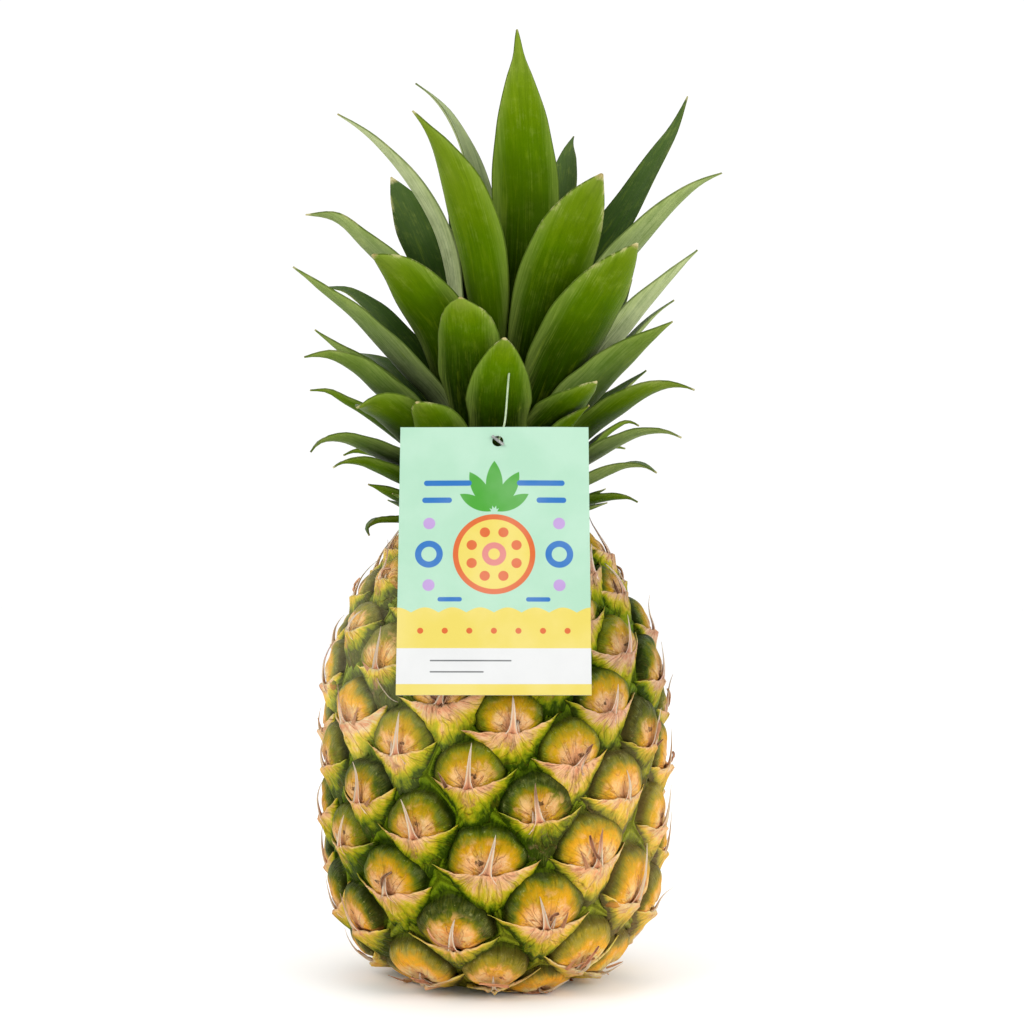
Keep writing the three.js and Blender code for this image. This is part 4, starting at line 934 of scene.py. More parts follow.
    # at the very bottom dark dried scraps lie along the skin
    for k in range(2 if hgt < 0.13 else 0):
        s9 = np.linspace(0, 1, 10)
        u0, ln = rg.uniform(-7, 7), rg.uniform(4.5, 8.5)
        aim = (1.15 + rg.uniform(-0.4, 0.5)) * (1 if rg.random() < 0.5 else -1)
        lv = float(np.interp(u0, BRACT_U, lipv))
        cx = u0 + ln * s9 * math.sin(aim)
        cy = lv - 1.0 + ln * s9 * math.cos(aim) + 0.8 * np.sin(math.pi * s9)
        ht = np.interp(cx, BRACT_U, liph) + 0.5 + rg.uniform(0.2, 1.4) * s9
        blade_on_eye(spines, info, cx * su, (cy - EYE_LIFT) * sv, ht * edge ** 0.5 * sz, 0.85 * (1 - s9) ** 0.6 + 0.06, 0.2 + 0 * s9,
                     (0, 0, rnd[3], 0), (hgt, 0, 0.2, 3.0), hollow=0.2, twist=rg.uniform(-0.7, 0.7) + 1.2 * s9, cols=3)
    # a fine dry thread lies over some bracts
    if rg.random() < 0.07:
        s9 = np.linspace(0, 1, 14)
        q9 = 0.10 + 0.85 * s9
        u9 = rg.uniform(-1.0, 1.2) + (rg.uniform(2.5, 6.0) * (1 if rg.random() < 0.7 else -1)) * s9 ** 1.2
        lv, bv = np.interp(u9, BRACT_U, lipv), np.interp(u9, BRACT_U, lowv)
        lh = np.interp(u9, BRACT_U, liph)
        h9 = (lh + 0.35) * (1 - q9 ** 1.6) - 0.35 + 0.55
        blade_on_eye(spines, info, u9 * su, (lv * (1 - q9) + bv * q9 - EYE_LIFT) * sv, h9 * edge * sz, 0.16 * (1 - 0.4 * s9) + 0.03, 0.18 + 0 * s9,
                     (0, 0, 0.2, 0), (hgt, 0, rg.random(), 3.0 if rg.random() < 0.6 else 2.0), cols=3)

bract_objs = [lower.object("fruit_bracts_low"), upper.object("fruit_bracts_high"), spines.object("fruit_spines")]


# ------------------------------------------------------------------ leaves
LEAF_T = 2.0
# Name, bearing, roll, stations [x, y, z, half width] from base to tip, in mm.
LEAVES = [
    ["leaf_01",10,0,[[1.7,-9.6,214.0,8.2],[5.9,-8.6,226.3,8.8],[10.0,-8.9,243.5,9.9],[11.7,-8.2,263.9,12.0],[11.6,-7.0,284.4,12.3],[10.6,-5.6,304.8,9.9],[9.3,-4.3,322.6,5.1],[8.5,-3.5,333.9,2.0],[8.0,-3.0,340.5,0.3]]],
    ["leaf_02",148,-5,[[6.1,9.7,206.0,6.2],[9.1,6.1,216.5,7.9],[13.5,4.3,231.4,8.4],[18.3,4.8,248.8,7.3],[22.6,8.7,266.7,6.0],[26.0,16.0,284.0,5.8],[27.2,24.5,297.5,4.7],[27.8,30.4,305.4,3.2],[28.3,33.9,310.0,0.2]]],
    ["leaf_03",-138,15,[[-7.8,8.7,205.0,5.9],[-6.1,6.1,218.2,7.9],[-5.1,5.2,236.8,9.4],[-5.2,8.1,258.6,9.3],[-6.1,11.3,280.0,8.1],[-11.1,15.5,299.9,5.9],[-18.6,20.0,315.9,3.1],[-25.6,23.2,324.3,1.2],[-30.5,25.3,328.5,0.2]]],
    ["leaf_04",168,-10,[[2.5,11.9,203.0,8.1],[4.1,10.8,215.3,10.8],[5.5,11.6,232.1,12.8],[5.9,16.3,250.8,12.7],[6.3,21.5,269.2,11.1],[7.6,26.1,287.7,8.1],[9.8,31.3,303.4,4.2],[11.6,35.5,312.9,1.7],[12.7,38.2,318.3,0.3]]],
    ["leaf_05",-158,1,[[-4.8,11.9,200.0,7.8],[-3.5,12.3,212.0,10.4],[-2.9,14.9,228.3,12.3],[-4.4,19.5,246.3,12.2],[-7.9,24.9,263.7,10.7],[-11.8,31.6,280.4,7.8],[-15.0,39.2,294.2,4.1],[-17.3,45.0,302.4,1.6],[-18.6,48.6,306.9,0.3]]],
    ["leaf_06",-34,0,[[-7.3,-10.9,199.0,7.6],[-4.6,-11.4,210.2,7.3],[-2.9,-13.8,225.7,7.2],[-3.8,-18.2,243.2,9.4],[-7.0,-24.0,260.0,10.5],[-12.3,-30.5,276.0,8.4],[-18.7,-36.7,288.8,4.2],[-24.2,-40.7,296.0,1.6],[-27.8,-43.1,299.9,0.3]]],
    ["leaf_07",-84,10,[[-13.3,-1.4,198.0,5.6],[-13.6,-0.8,211.1,7.5],[-14.4,1.0,229.1,8.9],[-16.2,2.0,249.6,8.8],[-21.2,-0.6,268.1,7.7],[-31.3,-3.0,285.1,5.6],[-42.7,-4.6,298.3,2.9],[-51.4,-5.5,305.1,1.2],[-57.0,-6.0,308.6,0.2]]],
    ["leaf_08",112,25,[[12.4,5.0,198.0,6.8],[15.9,5.5,211.3,8.7],[22.6,6.8,229.0,9.5],[32.2,9.5,248.3,9.5],[42.9,15.4,267.3,9.4],[54.0,21.0,286.3,7.2],[63.3,25.2,302.8,4.6],[69.1,27.8,313.3,2.0],[72.4,29.3,319.6,0.2]]],
    ["leaf_09",86,-25,[[13.8,-1.0,196.0,6.8],[17.1,-1.3,207.2,9.2],[23.3,-2.5,222.0,10.8],[32.7,-2.8,237.9,10.7],[43.6,-3.0,252.7,9.4],[55.7,-3.8,266.7,6.9],[67.0,-4.7,278.2,3.6],[75.0,-5.3,284.3,1.4],[80.0,-5.6,287.5,0.2]]],
    ["leaf_10",142,-9,[[8.8,11.2,194.0,7.8],[11.8,12.0,204.4,10.4],[17.5,15.0,217.7,12.3],[21.5,20.4,234.1,12.2],[22.2,27.1,252.3,10.7],[26.2,35.2,268.2,7.8],[31.8,43.8,279.9,4.1],[36.0,49.9,286.5,1.6],[38.5,53.7,290.1,0.3]]],
    ["leaf_11",-128,-25,[[-11.6,9.1,192.0,7.4],[-11.8,8.1,203.0,9.5],[-13.6,8.9,218.1,10.0],[-17.2,12.9,235.4,8.3],[-21.9,18.1,252.2,9.1],[-28.1,22.3,267.8,10.3],[-33.8,26.2,281.0,7.3],[-37.6,29.3,289.3,3.1],[-39.9,31.2,294.1,0.2]]],
    ["leaf_12",34,-25,[[8.2,-12.2,192.0,9.0],[10.6,-13.8,201.6,9.2],[13.8,-16.7,214.7,9.8],[16.8,-21.5,229.4,11.6],[20.5,-27.8,243.3,12.5],[25.6,-35.0,256.4,11.3],[30.8,-42.0,267.0,7.5],[34.4,-46.9,273.3,3.3],[36.6,-49.7,276.8,0.3]]],
    ["leaf_13",178,-8,[[0.5,15.0,191.0,7.8],[1.7,17.3,201.4,10.4],[3.2,22.3,214.9,12.3],[3.8,30.2,230.0,12.2],[3.0,37.2,245.3,10.7],[2.1,44.4,260.1,7.8],[2.0,53.1,271.4,4.1],[2.1,59.8,277.6,1.6],[2.2,64.0,281.0,0.3]]],
    ["leaf_14",-103,35,[[-14.8,3.4,190.0,6.2],[-16.2,4.8,201.5,8.3],[-19.8,7.3,217.0,9.9],[-25.8,8.9,234.0,9.7],[-33.6,8.7,249.0,8.6],[-45.3,10.5,261.8,6.2],[-56.9,13.0,271.4,3.3],[-65.5,15.1,275.1,1.3],[-70.8,16.3,276.5,0.2]]],
    ["leaf_15",124,0,[[12.6,8.5,190.0,5.0],[16.3,10.3,196.8,6.7],[22.3,12.1,205.5,7.9],[29.6,15.4,215.2,7.8],[36.6,21.7,225.3,6.9],[43.3,27.9,235.6,5.0],[48.4,32.0,245.2,2.6],[50.8,34.0,251.8,1.0],[52.0,35.1,255.7,0.2]]],
    ["leaf_16",76,-10,[[15.2,-3.8,188.0,6.8],[19.6,-3.4,196.1,9.2],[26.8,-4.1,206.5,10.8],[35.9,-6.6,217.5,10.7],[45.3,-9.9,228.2,9.4],[54.4,-13.0,239.1,6.9],[62.8,-15.5,248.2,3.6],[68.4,-17.0,253.8,1.4],[71.8,-17.9,257.0,0.2]]],
    ["leaf_17",-142,2,[[-9.8,12.5,187.0,7.1],[-10.6,13.9,197.0,9.6],[-13.5,17.4,210.2,11.3],[-18.4,23.2,224.1,11.2],[-23.7,30.5,236.6,9.9],[-28.7,39.1,248.6,7.2],[-34.0,47.7,257.5,3.7],[-37.9,53.7,262.3,1.5],[-40.3,57.4,264.9,0.2]]],
    ["leaf_18",-52,30,[[-12.7,-9.9,186.0,8.7],[-12.8,-8.9,194.7,11.1],[-13.8,-9.9,206.4,11.7],[-15.6,-12.6,219.4,10.7],[-20.0,-15.8,230.6,11.4],[-27.2,-21.0,240.4,9.9],[-34.0,-26.5,247.7,6.5],[-39.0,-30.5,250.9,2.9],[-42.1,-32.9,252.4,0.3]]],
    ["leaf_19",-108,-25,[[-15.8,5.1,184.0,5.6],[-17.0,6.1,193.2,7.5],[-21.0,8.4,205.2,8.9],[-28.0,11.5,217.7,8.8],[-36.0,13.2,229.2,7.7],[-44.7,14.9,239.8,5.6],[-54.0,17.6,246.7,2.9],[-60.9,19.8,249.1,1.2],[-65.2,21.2,250.0,0.2]]],
    ["leaf_20",46,-15,[[11.9,-11.5,184.0,8.7],[14.0,-14.3,192.5,9.2],[18.1,-18.1,203.8,10.5],[23.8,-22.6,215.8,13.2],[30.2,-28.3,226.7,13.5],[36.8,-35.1,237.1,11.6],[42.5,-42.2,245.4,7.3],[46.2,-47.1,250.4,3.1],[48.3,-50.0,253.2,0.3]]],
    ["leaf_21",95,10,[[16.5,1.4,184.0,4.7],[19.9,2.0,191.1,6.2],[26.1,2.9,200.0,7.4],[34.1,3.6,209.5,7.3],[42.0,3.9,218.9,6.4],[50.0,4.4,228.3,4.7],[57.2,5.0,236.3,2.4],[62.3,5.4,240.6,1.0],[65.6,5.7,242.9,0.2]]],
    ["leaf_22",155,3,[[7.0,15.0,184.0,7.4],[9.2,17.7,192.0,10.0],[11.7,22.9,202.8,11.8],[13.8,29.7,215.3,11.7],[16.0,36.6,228.0,10.3],[19.1,45.3,239.0,7.5],[22.5,54.5,246.6,3.9],[24.9,61.1,250.6,1.6],[26.3,65.0,252.7,0.2]]],
    ["leaf_23",104,15,[[16.6,4.1,182.0,4.7],[19.2,6.4,186.9,6.2],[23.8,8.1,193.1,7.4],[30.3,6.8,198.7,7.3],[37.4,6.5,203.4,6.4],[44.3,9.6,208.4,4.7],[50.1,12.1,213.3,2.4],[53.8,13.3,216.3,1.0],[55.9,13.9,218.1,0.2]]],
    ["leaf_24",-74,5,[[-16.6,-4.8,181.0,6.8],[-17.3,-3.7,190.6,9.2],[-20.2,-3.4,202.7,10.8],[-29.1,-5.8,212.6,10.7],[-39.5,-10.1,223.4,9.4],[-49.9,-13.9,234.3,6.9],[-60.2,-17.1,242.5,3.6],[-66.9,-19.1,247.6,1.4],[-70.9,-20.3,250.6,0.2]]],
    ["leaf_25",-165,-7,[[-4.5,16.7,181.0,7.1],[-4.1,20.0,188.5,9.6],[-5.0,25.4,198.5,11.3],[-7.1,32.1,209.8,11.2],[-9.1,38.6,220.9,9.9],[-11.1,46.9,230.3,7.2],[-13.0,56.0,236.6,3.7],[-14.2,62.5,239.6,1.5],[-15.0,66.4,241.1,0.2]]],
    ["leaf_26",-24,0,[[-7.1,-16.0,180.0,7.2],[-7.4,-17.7,186.1,7.2],[-8.0,-19.0,194.5,7.4],[-9.1,-21.8,203.9,9.6],[-9.9,-25.1,213.2,12.0],[-10.2,-27.6,222.5,12.2],[-10.8,-30.5,230.2,9.7],[-11.3,-33.1,234.9,4.8],[-11.5,-34.7,237.5,0.2]]],
    ["leaf_27",70,-25,[[16.5,-6.0,180.0,6.8],[18.2,-8.7,186.7,9.2],[22.3,-12.1,195.1,10.8],[29.3,-14.4,203.2,10.7],[37.7,-15.4,211.2,9.4],[46.3,-17.2,219.0,6.9],[54.2,-19.7,225.1,3.6],[59.4,-21.6,228.8,1.4],[62.5,-22.7,230.9,0.2]]],
    ["leaf_28",128,4,[[13.8,10.8,180.0,6.8],[18.5,13.5,185.3,9.2],[22.8,18.1,193.6,10.8],[26.8,23.2,204.5,10.7],[31.4,26.1,216.2,9.4],[38.0,30.5,225.5,6.9],[45.1,36.1,231.2,3.6],[50.1,40.2,233.8,1.4],[53.0,42.6,235.1,0.2]]],
    ["leaf_29",-95,15,[[-17.9,1.6,178.0,5.6],[-19.8,0.5,185.2,7.5],[-24.3,0.5,194.5,8.9],[-31.4,1.1,204.0,8.8],[-39.8,2.5,212.2,7.7],[-49.2,4.0,219.4,5.6],[-57.7,5.0,225.4,2.9],[-62.9,5.5,229.5,1.2],[-65.9,5.8,232.1,0.2]]],
    ["leaf_30",-128,-6,[[-14.2,11.1,178.0,6.5],[-16.9,13.8,185.0,8.7],[-20.8,16.4,193.7,10.4],[-27.2,19.9,202.6,10.2],[-33.3,23.8,211.9,9.0],[-40.2,28.4,220.1,6.5],[-47.8,33.1,225.0,3.4],[-53.2,36.4,227.0,1.4],[-56.4,38.3,227.9,0.2]]],
    ["leaf_31",-80,20,[[-18.4,-3.2,175.0,6.2],[-20.1,-3.1,182.3,8.3],[-24.5,-3.9,191.7,9.9],[-31.5,-5.3,200.7,9.7],[-40.4,-6.9,208.4,8.6],[-49.6,-8.7,216.0,6.2],[-58.2,-10.3,220.1,3.3],[-64.2,-11.4,220.2,1.3],[-67.8,-12.0,219.6,0.2]]],
    ["leaf_32",64,-5,[[16.8,-8.2,175.0,6.8],[20.7,-5.4,181.1,9.2],[27.5,-4.5,188.4,10.8],[36.0,-8.1,195.2,10.7],[44.5,-16.6,200.7,9.4],[53.0,-24.4,205.6,6.9],[60.9,-29.5,207.6,3.6],[66.0,-32.2,206.7,1.4],[68.9,-33.6,205.5,0.2]]],
    ["leaf_33",170,5,[[3.2,18.4,175.0,6.2],[3.8,21.3,181.1,8.3],[5.0,26.8,188.9,9.9],[6.3,32.9,198.1,9.7],[7.6,39.8,206.3,8.6],[9.5,48.6,212.2,6.2],[11.5,57.4,215.4,3.3],[12.8,63.2,216.5,1.3],[13.6,66.7,217.0,0.2]]],
    ["leaf_34",38,-5,[[11.7,-14.9,174.0,6.8],[12.5,-16.6,179.4,8.7],[14.3,-19.2,186.3,9.3],[17.7,-22.3,192.7,9.2],[22.2,-25.6,197.1,9.8],[26.8,-31.8,201.0,7.5],[30.8,-38.2,204.1,4.9],[33.3,-42.2,206.1,2.3],[34.8,-44.5,207.3,0.2]]],
    ["leaf_35",-84,10,[[-18.8,-2.0,174.0,4.7],[-22.1,-1.5,179.3,6.2],[-27.6,-2.0,185.7,7.4],[-34.9,-3.3,191.9,7.3],[-42.6,-4.3,197.6,6.4],[-50.7,-5.3,202.9,4.7],[-58.1,-6.1,206.5,2.4],[-63.2,-6.6,207.9,1.0],[-66.2,-7.0,208.4,0.2]]],
    ["leaf_36",100,0,[[18.7,3.3,174.0,4.0],[22.0,4.1,177.2,5.4],[26.6,4.7,181.6,6.4],[32.1,5.2,186.2,6.3],[37.6,6.3,190.9,5.6],[43.0,7.5,195.6,4.1],[47.9,8.4,198.3,2.1],[51.1,9.0,197.9,0.8],[52.8,9.3,197.0,0.1]]],
    ["leaf_37",3,0,[[1.0,-19.4,172.0,7.9],[1.3,-22.0,177.5,10.1],[1.4,-25.9,185.0,10.7],[1.5,-31.0,193.3,10.1],[1.8,-35.5,201.3,11.4],[2.5,-35.3,209.7,10.1],[3.1,-36.4,216.6,6.3],[3.5,-38.5,220.6,2.7],[3.6,-39.9,222.8,0.3]]],
    ["leaf_38",-50,15,[[-14.9,-12.5,172.0,7.8],[-17.1,-15.1,176.8,9.9],[-21.0,-17.6,182.7,10.7],[-26.1,-18.9,189.0,10.7],[-31.4,-21.7,194.4,10.3],[-36.9,-27.8,198.1,10.4],[-41.6,-33.8,199.7,7.3],[-44.7,-37.2,199.5,3.8],[-46.5,-39.0,198.9,0.3]]],
    ["leaf_39",145,-5,[[11.2,15.9,172.0,5.6],[13.0,19.2,176.8,7.5],[15.4,22.7,183.8,8.9],[18.5,27.2,191.4,8.8],[22.3,32.8,197.8,7.7],[26.7,39.7,202.2,5.6],[30.9,46.4,204.2,2.9],[33.6,50.8,204.7,1.2],[35.2,53.5,204.9,0.2]]],
    ["leaf_40",-66,5,[[-18.0,-8.0,171.0,5.9],[-22.5,-10.1,174.6,7.9],[-28.9,-11.4,179.0,9.4],[-36.8,-15.0,182.7,9.3],[-44.5,-19.2,186.3,8.1],[-52.3,-23.1,189.2,5.9],[-58.7,-26.1,189.0,3.1],[-61.9,-27.5,186.6,1.2],[-63.4,-28.2,184.5,0.2]]],
    ["leaf_41",68,0,[[18.3,-7.4,171.0,5.3],[22.3,-6.6,175.2,7.1],[28.6,-8.3,180.0,8.4],[36.1,-12.6,184.3,8.3],[43.6,-16.9,188.5,7.3],[51.2,-20.5,191.7,5.3],[58.3,-23.5,192.2,2.8],[62.6,-25.3,190.9,1.1],[65.0,-26.3,189.7,0.2]]],
    ["leaf_42",-148,6,[[-10.4,16.7,171.0,5.6],[-11.7,18.9,176.3,7.5],[-13.8,22.6,183.1,8.9],[-16.7,28.0,189.9,8.8],[-20.0,34.6,195.4,7.7],[-23.6,42.1,199.1,5.6],[-26.8,49.2,200.7,2.9],[-28.9,53.9,201.0,1.2],[-30.1,56.7,201.1,0.2]]],
    ["leaf_43",-26,5,[[-8.7,-17.9,170.0,7.1],[-10.4,-23.1,173.7,9.1],[-12.9,-26.6,179.1,9.8],[-16.1,-28.5,185.2,9.8],[-19.1,-29.5,191.1,9.6],[-21.8,-32.2,195.4,8.0],[-24.2,-35.0,198.4,5.4],[-25.5,-36.9,200.1,2.5],[-26.3,-38.2,201.0,0.2]]],
    ["leaf_44",46,0,[[14.5,-14.0,169.0,4.5],[15.3,-17.1,172.9,6.0],[17.2,-22.2,177.8,7.2],[19.9,-25.0,183.4,7.1],[22.7,-24.6,189.4,6.2],[25.9,-26.0,194.4,4.5],[29.2,-29.0,197.6,2.4],[31.5,-31.2,199.4,0.9],[32.8,-32.4,200.5,0.1]]],
    ["leaf_45",-97,5,[[-20.0,2.5,169.0,4.0],[-23.0,4.6,172.2,5.4],[-27.6,6.8,176.2,6.4],[-32.9,7.0,180.3,6.3],[-38.4,6.0,184.0,5.6],[-44.5,5.8,186.5,4.1],[-50.1,6.2,187.4,2.1],[-53.5,6.6,186.8,0.8],[-55.4,6.8,186.0,0.1]]],
    ["leaf_46",62,5,[[18.1,-9.6,168.0,4.7],[21.9,-12.1,170.1,6.2],[27.3,-14.5,172.5,7.4],[33.6,-17.6,175.1,7.3],[39.8,-20.9,177.9,6.4],[45.8,-24.3,180.1,4.7],[51.1,-27.2,180.0,2.4],[54.3,-28.9,178.5,1.0],[56.1,-29.8,177.3,0.2]]],
    ["leaf_47",-62,5,[[-18.3,-9.7,167.0,5.0],[-21.6,-11.1,170.0,6.7],[-26.9,-13.7,172.9,7.9],[-33.2,-17.2,175.7,7.8],[-39.3,-20.6,178.5,6.9],[-45.3,-24.0,180.9,5.0],[-50.7,-26.9,181.4,2.6],[-53.8,-28.6,180.3,1.0],[-55.5,-29.5,179.1,0.2]]],
    ["leaf_48",120,-4,[[17.9,10.3,167.0,4.3],[19.9,11.5,170.9,5.8],[23.2,13.4,175.9,6.9],[27.7,15.9,181.1,6.8],[32.4,18.5,185.9,6.0],[37.9,21.4,189.2,4.4],[43.3,24.3,190.3,2.3],[46.9,26.1,190.3,0.9],[48.9,27.2,190.1,0.1]]],
    ["leaf_49",-175,7,[[-1.8,20.6,167.0,4.3],[-2.1,22.9,170.9,5.8],[-2.5,26.4,176.1,6.9],[-3.1,31.2,181.4,6.8],[-4.0,36.9,185.5,6.0],[-5.2,43.4,188.0,4.4],[-6.3,49.4,188.8,2.3],[-7.1,53.3,188.8,0.9],[-7.6,55.6,188.6,0.1]]],
    ["leaf_50",-78,15,[[-20.6,-4.4,165.5,3.7],[-23.2,-5.3,166.3,5.0],[-26.7,-6.1,167.1,5.9],[-30.7,-6.7,168.2,5.8],[-34.6,-7.3,169.8,5.1],[-38.3,-8.1,171.6,3.7],[-41.6,-8.8,173.2,2.0],[-43.7,-9.3,174.1,0.8],[-45.0,-9.6,174.6,0.1]]],
    ["leaf_51",74,-5,[[20.3,-5.8,165.5,4.0],[23.4,-7.2,166.2,5.4],[27.7,-8.3,167.1,6.4],[32.7,-9.4,168.0,6.3],[37.6,-10.7,169.0,5.6],[42.5,-12.2,169.7,4.1],[46.7,-13.4,169.6,2.1],[49.2,-14.1,168.7,0.8],[50.6,-14.5,167.9,0.1]]],
    ["leaf_52",-70,0,[[-20.3,-7.4,163.5,3.7],[-23.4,-8.4,162.9,5.0],[-27.6,-10.0,162.3,5.9],[-32.4,-11.8,161.7,5.8],[-37.3,-13.5,161.6,5.1],[-41.8,-15.1,161.1,3.7],[-44.4,-16.0,159.2,2.0],[-44.3,-16.1,157.2,0.8],[-43.9,-16.0,156.0,0.1]]],
]
BRIGHT = {"leaf_01": 1.0, "leaf_06": 1.0, "leaf_12": 1.0, "leaf_18": 0.8, "leaf_20": 1.0, "leaf_26": 1.0, "leaf_34": 0.9,
          "leaf_37": 1.0, "leaf_38": 0.75, "leaf_43": 0.85, "leaf_44": 0.8, "leaf_36": 1.0, "leaf_41": 1.0, "leaf_46": 0.95, "leaf_32": 1.0, "leaf_23": 1.0, "leaf_27": 0.9}
PALE = {"leaf_03": 1.0, "leaf_07": 1.0, "leaf_14": 0.4, "leaf_24": 0.26, "leaf_29": 0.2, "leaf_31": 0.12, "leaf_09": 0.44, "leaf_08": 0.22, "leaf_16": 0.80,
        "leaf_27": 0.12, "leaf_21": 0.6, "leaf_15": 0.3, "leaf_23": 0.2, "leaf_41": 0.3, "leaf_46": 0.3, "leaf_40": 0.15}
# how fast the painted shade darkens the outer face towards the base; 1 unless given
DEEPEN = {"leaf_06": 0.62, "leaf_37": 1.9, "leaf_26": 1.95, "leaf_12": 1.12, "leaf_20": 1.15, "leaf_01": 0.97, "leaf_18": 1.3, "leaf_34": 1.5, "leaf_43": 1.5, "leaf_44": 1.5,
          "leaf_41": 0.5, "leaf_46": 0.5, "leaf_36": 0.5, "leaf_32": 0.55, "leaf_23": 0.6, "leaf_27": 0.75}
DRY_TIP = {"leaf_12": 1.0, "leaf_20": 1.0, "leaf_26": 0.8, "leaf_37": 1.0, "leaf_34": 1.0, "leaf_43": 0.9, "leaf_11": 1.0, "leaf_18": 1.0,
           "leaf_50": 1.0, "leaf_52": 0.9, "leaf_07": 0.5, "leaf_14": 0.6, "leaf_44": 0.8, "leaf_51": 0.5}


def leaf_surface(bearing, roll, stations, s, x, thick_scale=1.0):
    """Middle surface points, the outward-lifting direction and half width along s for a leaf."""
    st = np.asarray(stations, float)
    path, _ = centripetal(st[:, :3], 240)
    # near the tip the path is followed to its very end
    d = np.r_[0, np.cumsum(np.linalg.norm(np.diff(st[:, :3], axis=0), axis=1))]
    ks = np.linspace(0, 1, 240)
    p = np.stack([np.interp(s, ks, path[:, j]) for j in range(3)], axis=-1)
    tang = np.gradient(path, ks, axis=0)
    tang /= np.linalg.norm(tang, axis=1)[:, None]
    t = np.stack([np.interp(s, ks, tang[:, j]) for j in range(3)], axis=-1)
    t /= np.linalg.norm(t, axis=-1)[..., None]
    half = pchip(d / d[-1], st[:, 3], s)
    w0 = np.array([math.cos(math.radians(bearing)), math.sin(math.radians(bearing)), 0.0])
    w = w0 - t * (t @ w0)[..., None]
    w /= np.linalg.norm(w, axis=-1)[..., None]
    nn = np.cross(t, w)
    ang = math.radians(roll) * np.clip((s - 0.08) / 0.35, 0, 1)
    uu = w * np.cos(ang)[..., None] + nn * np.sin(ang)[..., None]
    up = np.cross(t, uu)
    trough = np.where(s < 0.3, 0.42 - s / 0.3 * 0.16, 0.26 + (s - 0.3) / 0.7 * 0.08)
    return p, t, uu, up, half, trough


# a thin hook at the very tip of some leaves, mm
HOOK = {8: (0.8, 0.0, 5.5), 9: (2.2, 0.0, -0.3), 2: (1.6, 0.0, 0.4)}
# leaves that arch up before the tip, mm
ARCH = {14: 1.7, 19: 0.8, 35: 0.9, 38: 0.7}
# leaves that narrow hollowly towards the tip, and leaves whose end is cut to a plain point
TAPER = {1: (0.93, 0.26), 6: (0.94, 0.15)}
POINTED = {2: 0.86}


def leaf_mesh(build, name, bearing, roll, stations, rows=40, cols=15, look=(0, 0.5, 0.3), thick=1.0, seed=None, deepen=1.0):
    seed = seed if seed is not None else int(name[-2:]) if name[-2:].isdigit() else 1
    rg = np.random.default_rng(400 + seed)
    s1 = np.linspace(0, 1, rows) ** 0.93
    s1 = s1 * 0.997
    x1 = np.sin(np.linspace(-1, 1, cols) * math.pi / 2)
    x1 = 0.5 * x1 + 0.5 * np.linspace(-1, 1, cols)
    S, X = np.meshgrid(s1, x1, indexing="ij")
    p, t, uu, up, half, trough = leaf_surface(bearing, roll, stations, s1, x1)
    half = half * (1 + 0.012 * np.sin(s1 * 19 + rg.uniform(0, 6)))
    if seed in TAPER:
        a0, deep = TAPER[seed]
        half = half * (1 - deep * np.exp(-((s1 - a0) / 0.045) ** 2))
    if seed in POINTED:
        k0 = POINTED[seed]
        half = np.where(s1 > k0, np.interp(k0, s1, half) * np.clip((1.0 - s1) / (1 - k0), 0.04, 1) ** 0.85, half)
    xm = X * half[:, None]
    # the margin waves a little and the blade has faint long ribs
    wave = (0.32 * np.sin(S * rg.uniform(9, 15) + rg.uniform(0, 6) + X * 1.3) + 0.18 * np.sin(S * rg.uniform(22, 34) + rg.uniform(0, 6))) * np.abs(X) ** 2.2 * np.clip(half[:, None] / 9, 0, 1)
    rib = 0.05 * np.sin(X * 23 + rg.uniform(0, 6)) * np.clip(half[:, None] / 9, 0, 1) * np.clip((1 - S) * 4, 0, 1)
    mid = (xm ** 2) * (trough / np.maximum(half, 0.5))[:, None] + wave + rib
    T = (LEAF_T / 2) * (1 - 0.4 * S) * thick
    tip = np.clip(half / 3.0, 0.5, 1)[:, None]
    th = (T * (1 - np.abs(X) ** 2.4) + 0.10) * tip
    p = p + np.asarray(HOOK.get(seed, (0, 0, 0)), float)[None, :] * (np.clip((s1 - 0.90) / 0.10, 0, 1) ** 2)[:, None]
    p = p + np.array([0.0, 0.0, ARCH.get(seed, 0.0)])[None, :] * (np.sin(np.pi * np.clip((s1 - 0.78) / 0.22, 0, 1)) ** 1.5)[:, None]
    top = p[:, None] + uu[:, None] * xm[..., None] + up[:, None] * (mid + th)[..., None]
    bot = p[:, None] + uu[:, None] * xm[..., None] + up[:, None] * (mid - th)[..., None]
    n = rows * cols
    r = rg.random()
    A_t = np.stack([(S ** deepen).ravel(), X.ravel(), np.ones(n), np.full(n, r)], axis=1)
    A_b = A_t.copy()
    A_b[:, 2] = 0
    Bv = np.stack([np.full(n, look[0]), np.full(n, look[1]), np.full(n, look[2]), np.broadcast_to(half[:, None] / 15, S.shape).ravel()], axis=1)
    fc = grid_faces(rows, cols, 0) + grid_faces(rows, cols, n, flip=True)
    ring = list(range(cols)) + [q * cols + cols - 1 for q in range(1, rows)] + [(rows - 1) * cols + k for k in range(cols - 2, -1, -1)] + [q * cols for q in range(rows - 2, 0, -1)]
    for q in range(len(ring)):
        c0, c1 = ring[q], ring[(q + 1) % len(ring)]
        fc.append((c1, c0, c0 + n, c1 + n))
    build.add(np.vstack([top.reshape(-1, 3), bot.reshape(-1, 3)]), [f[::-1] for f in fc], np.vstack([A_t, A_b]), np.vstack([Bv, Bv]))


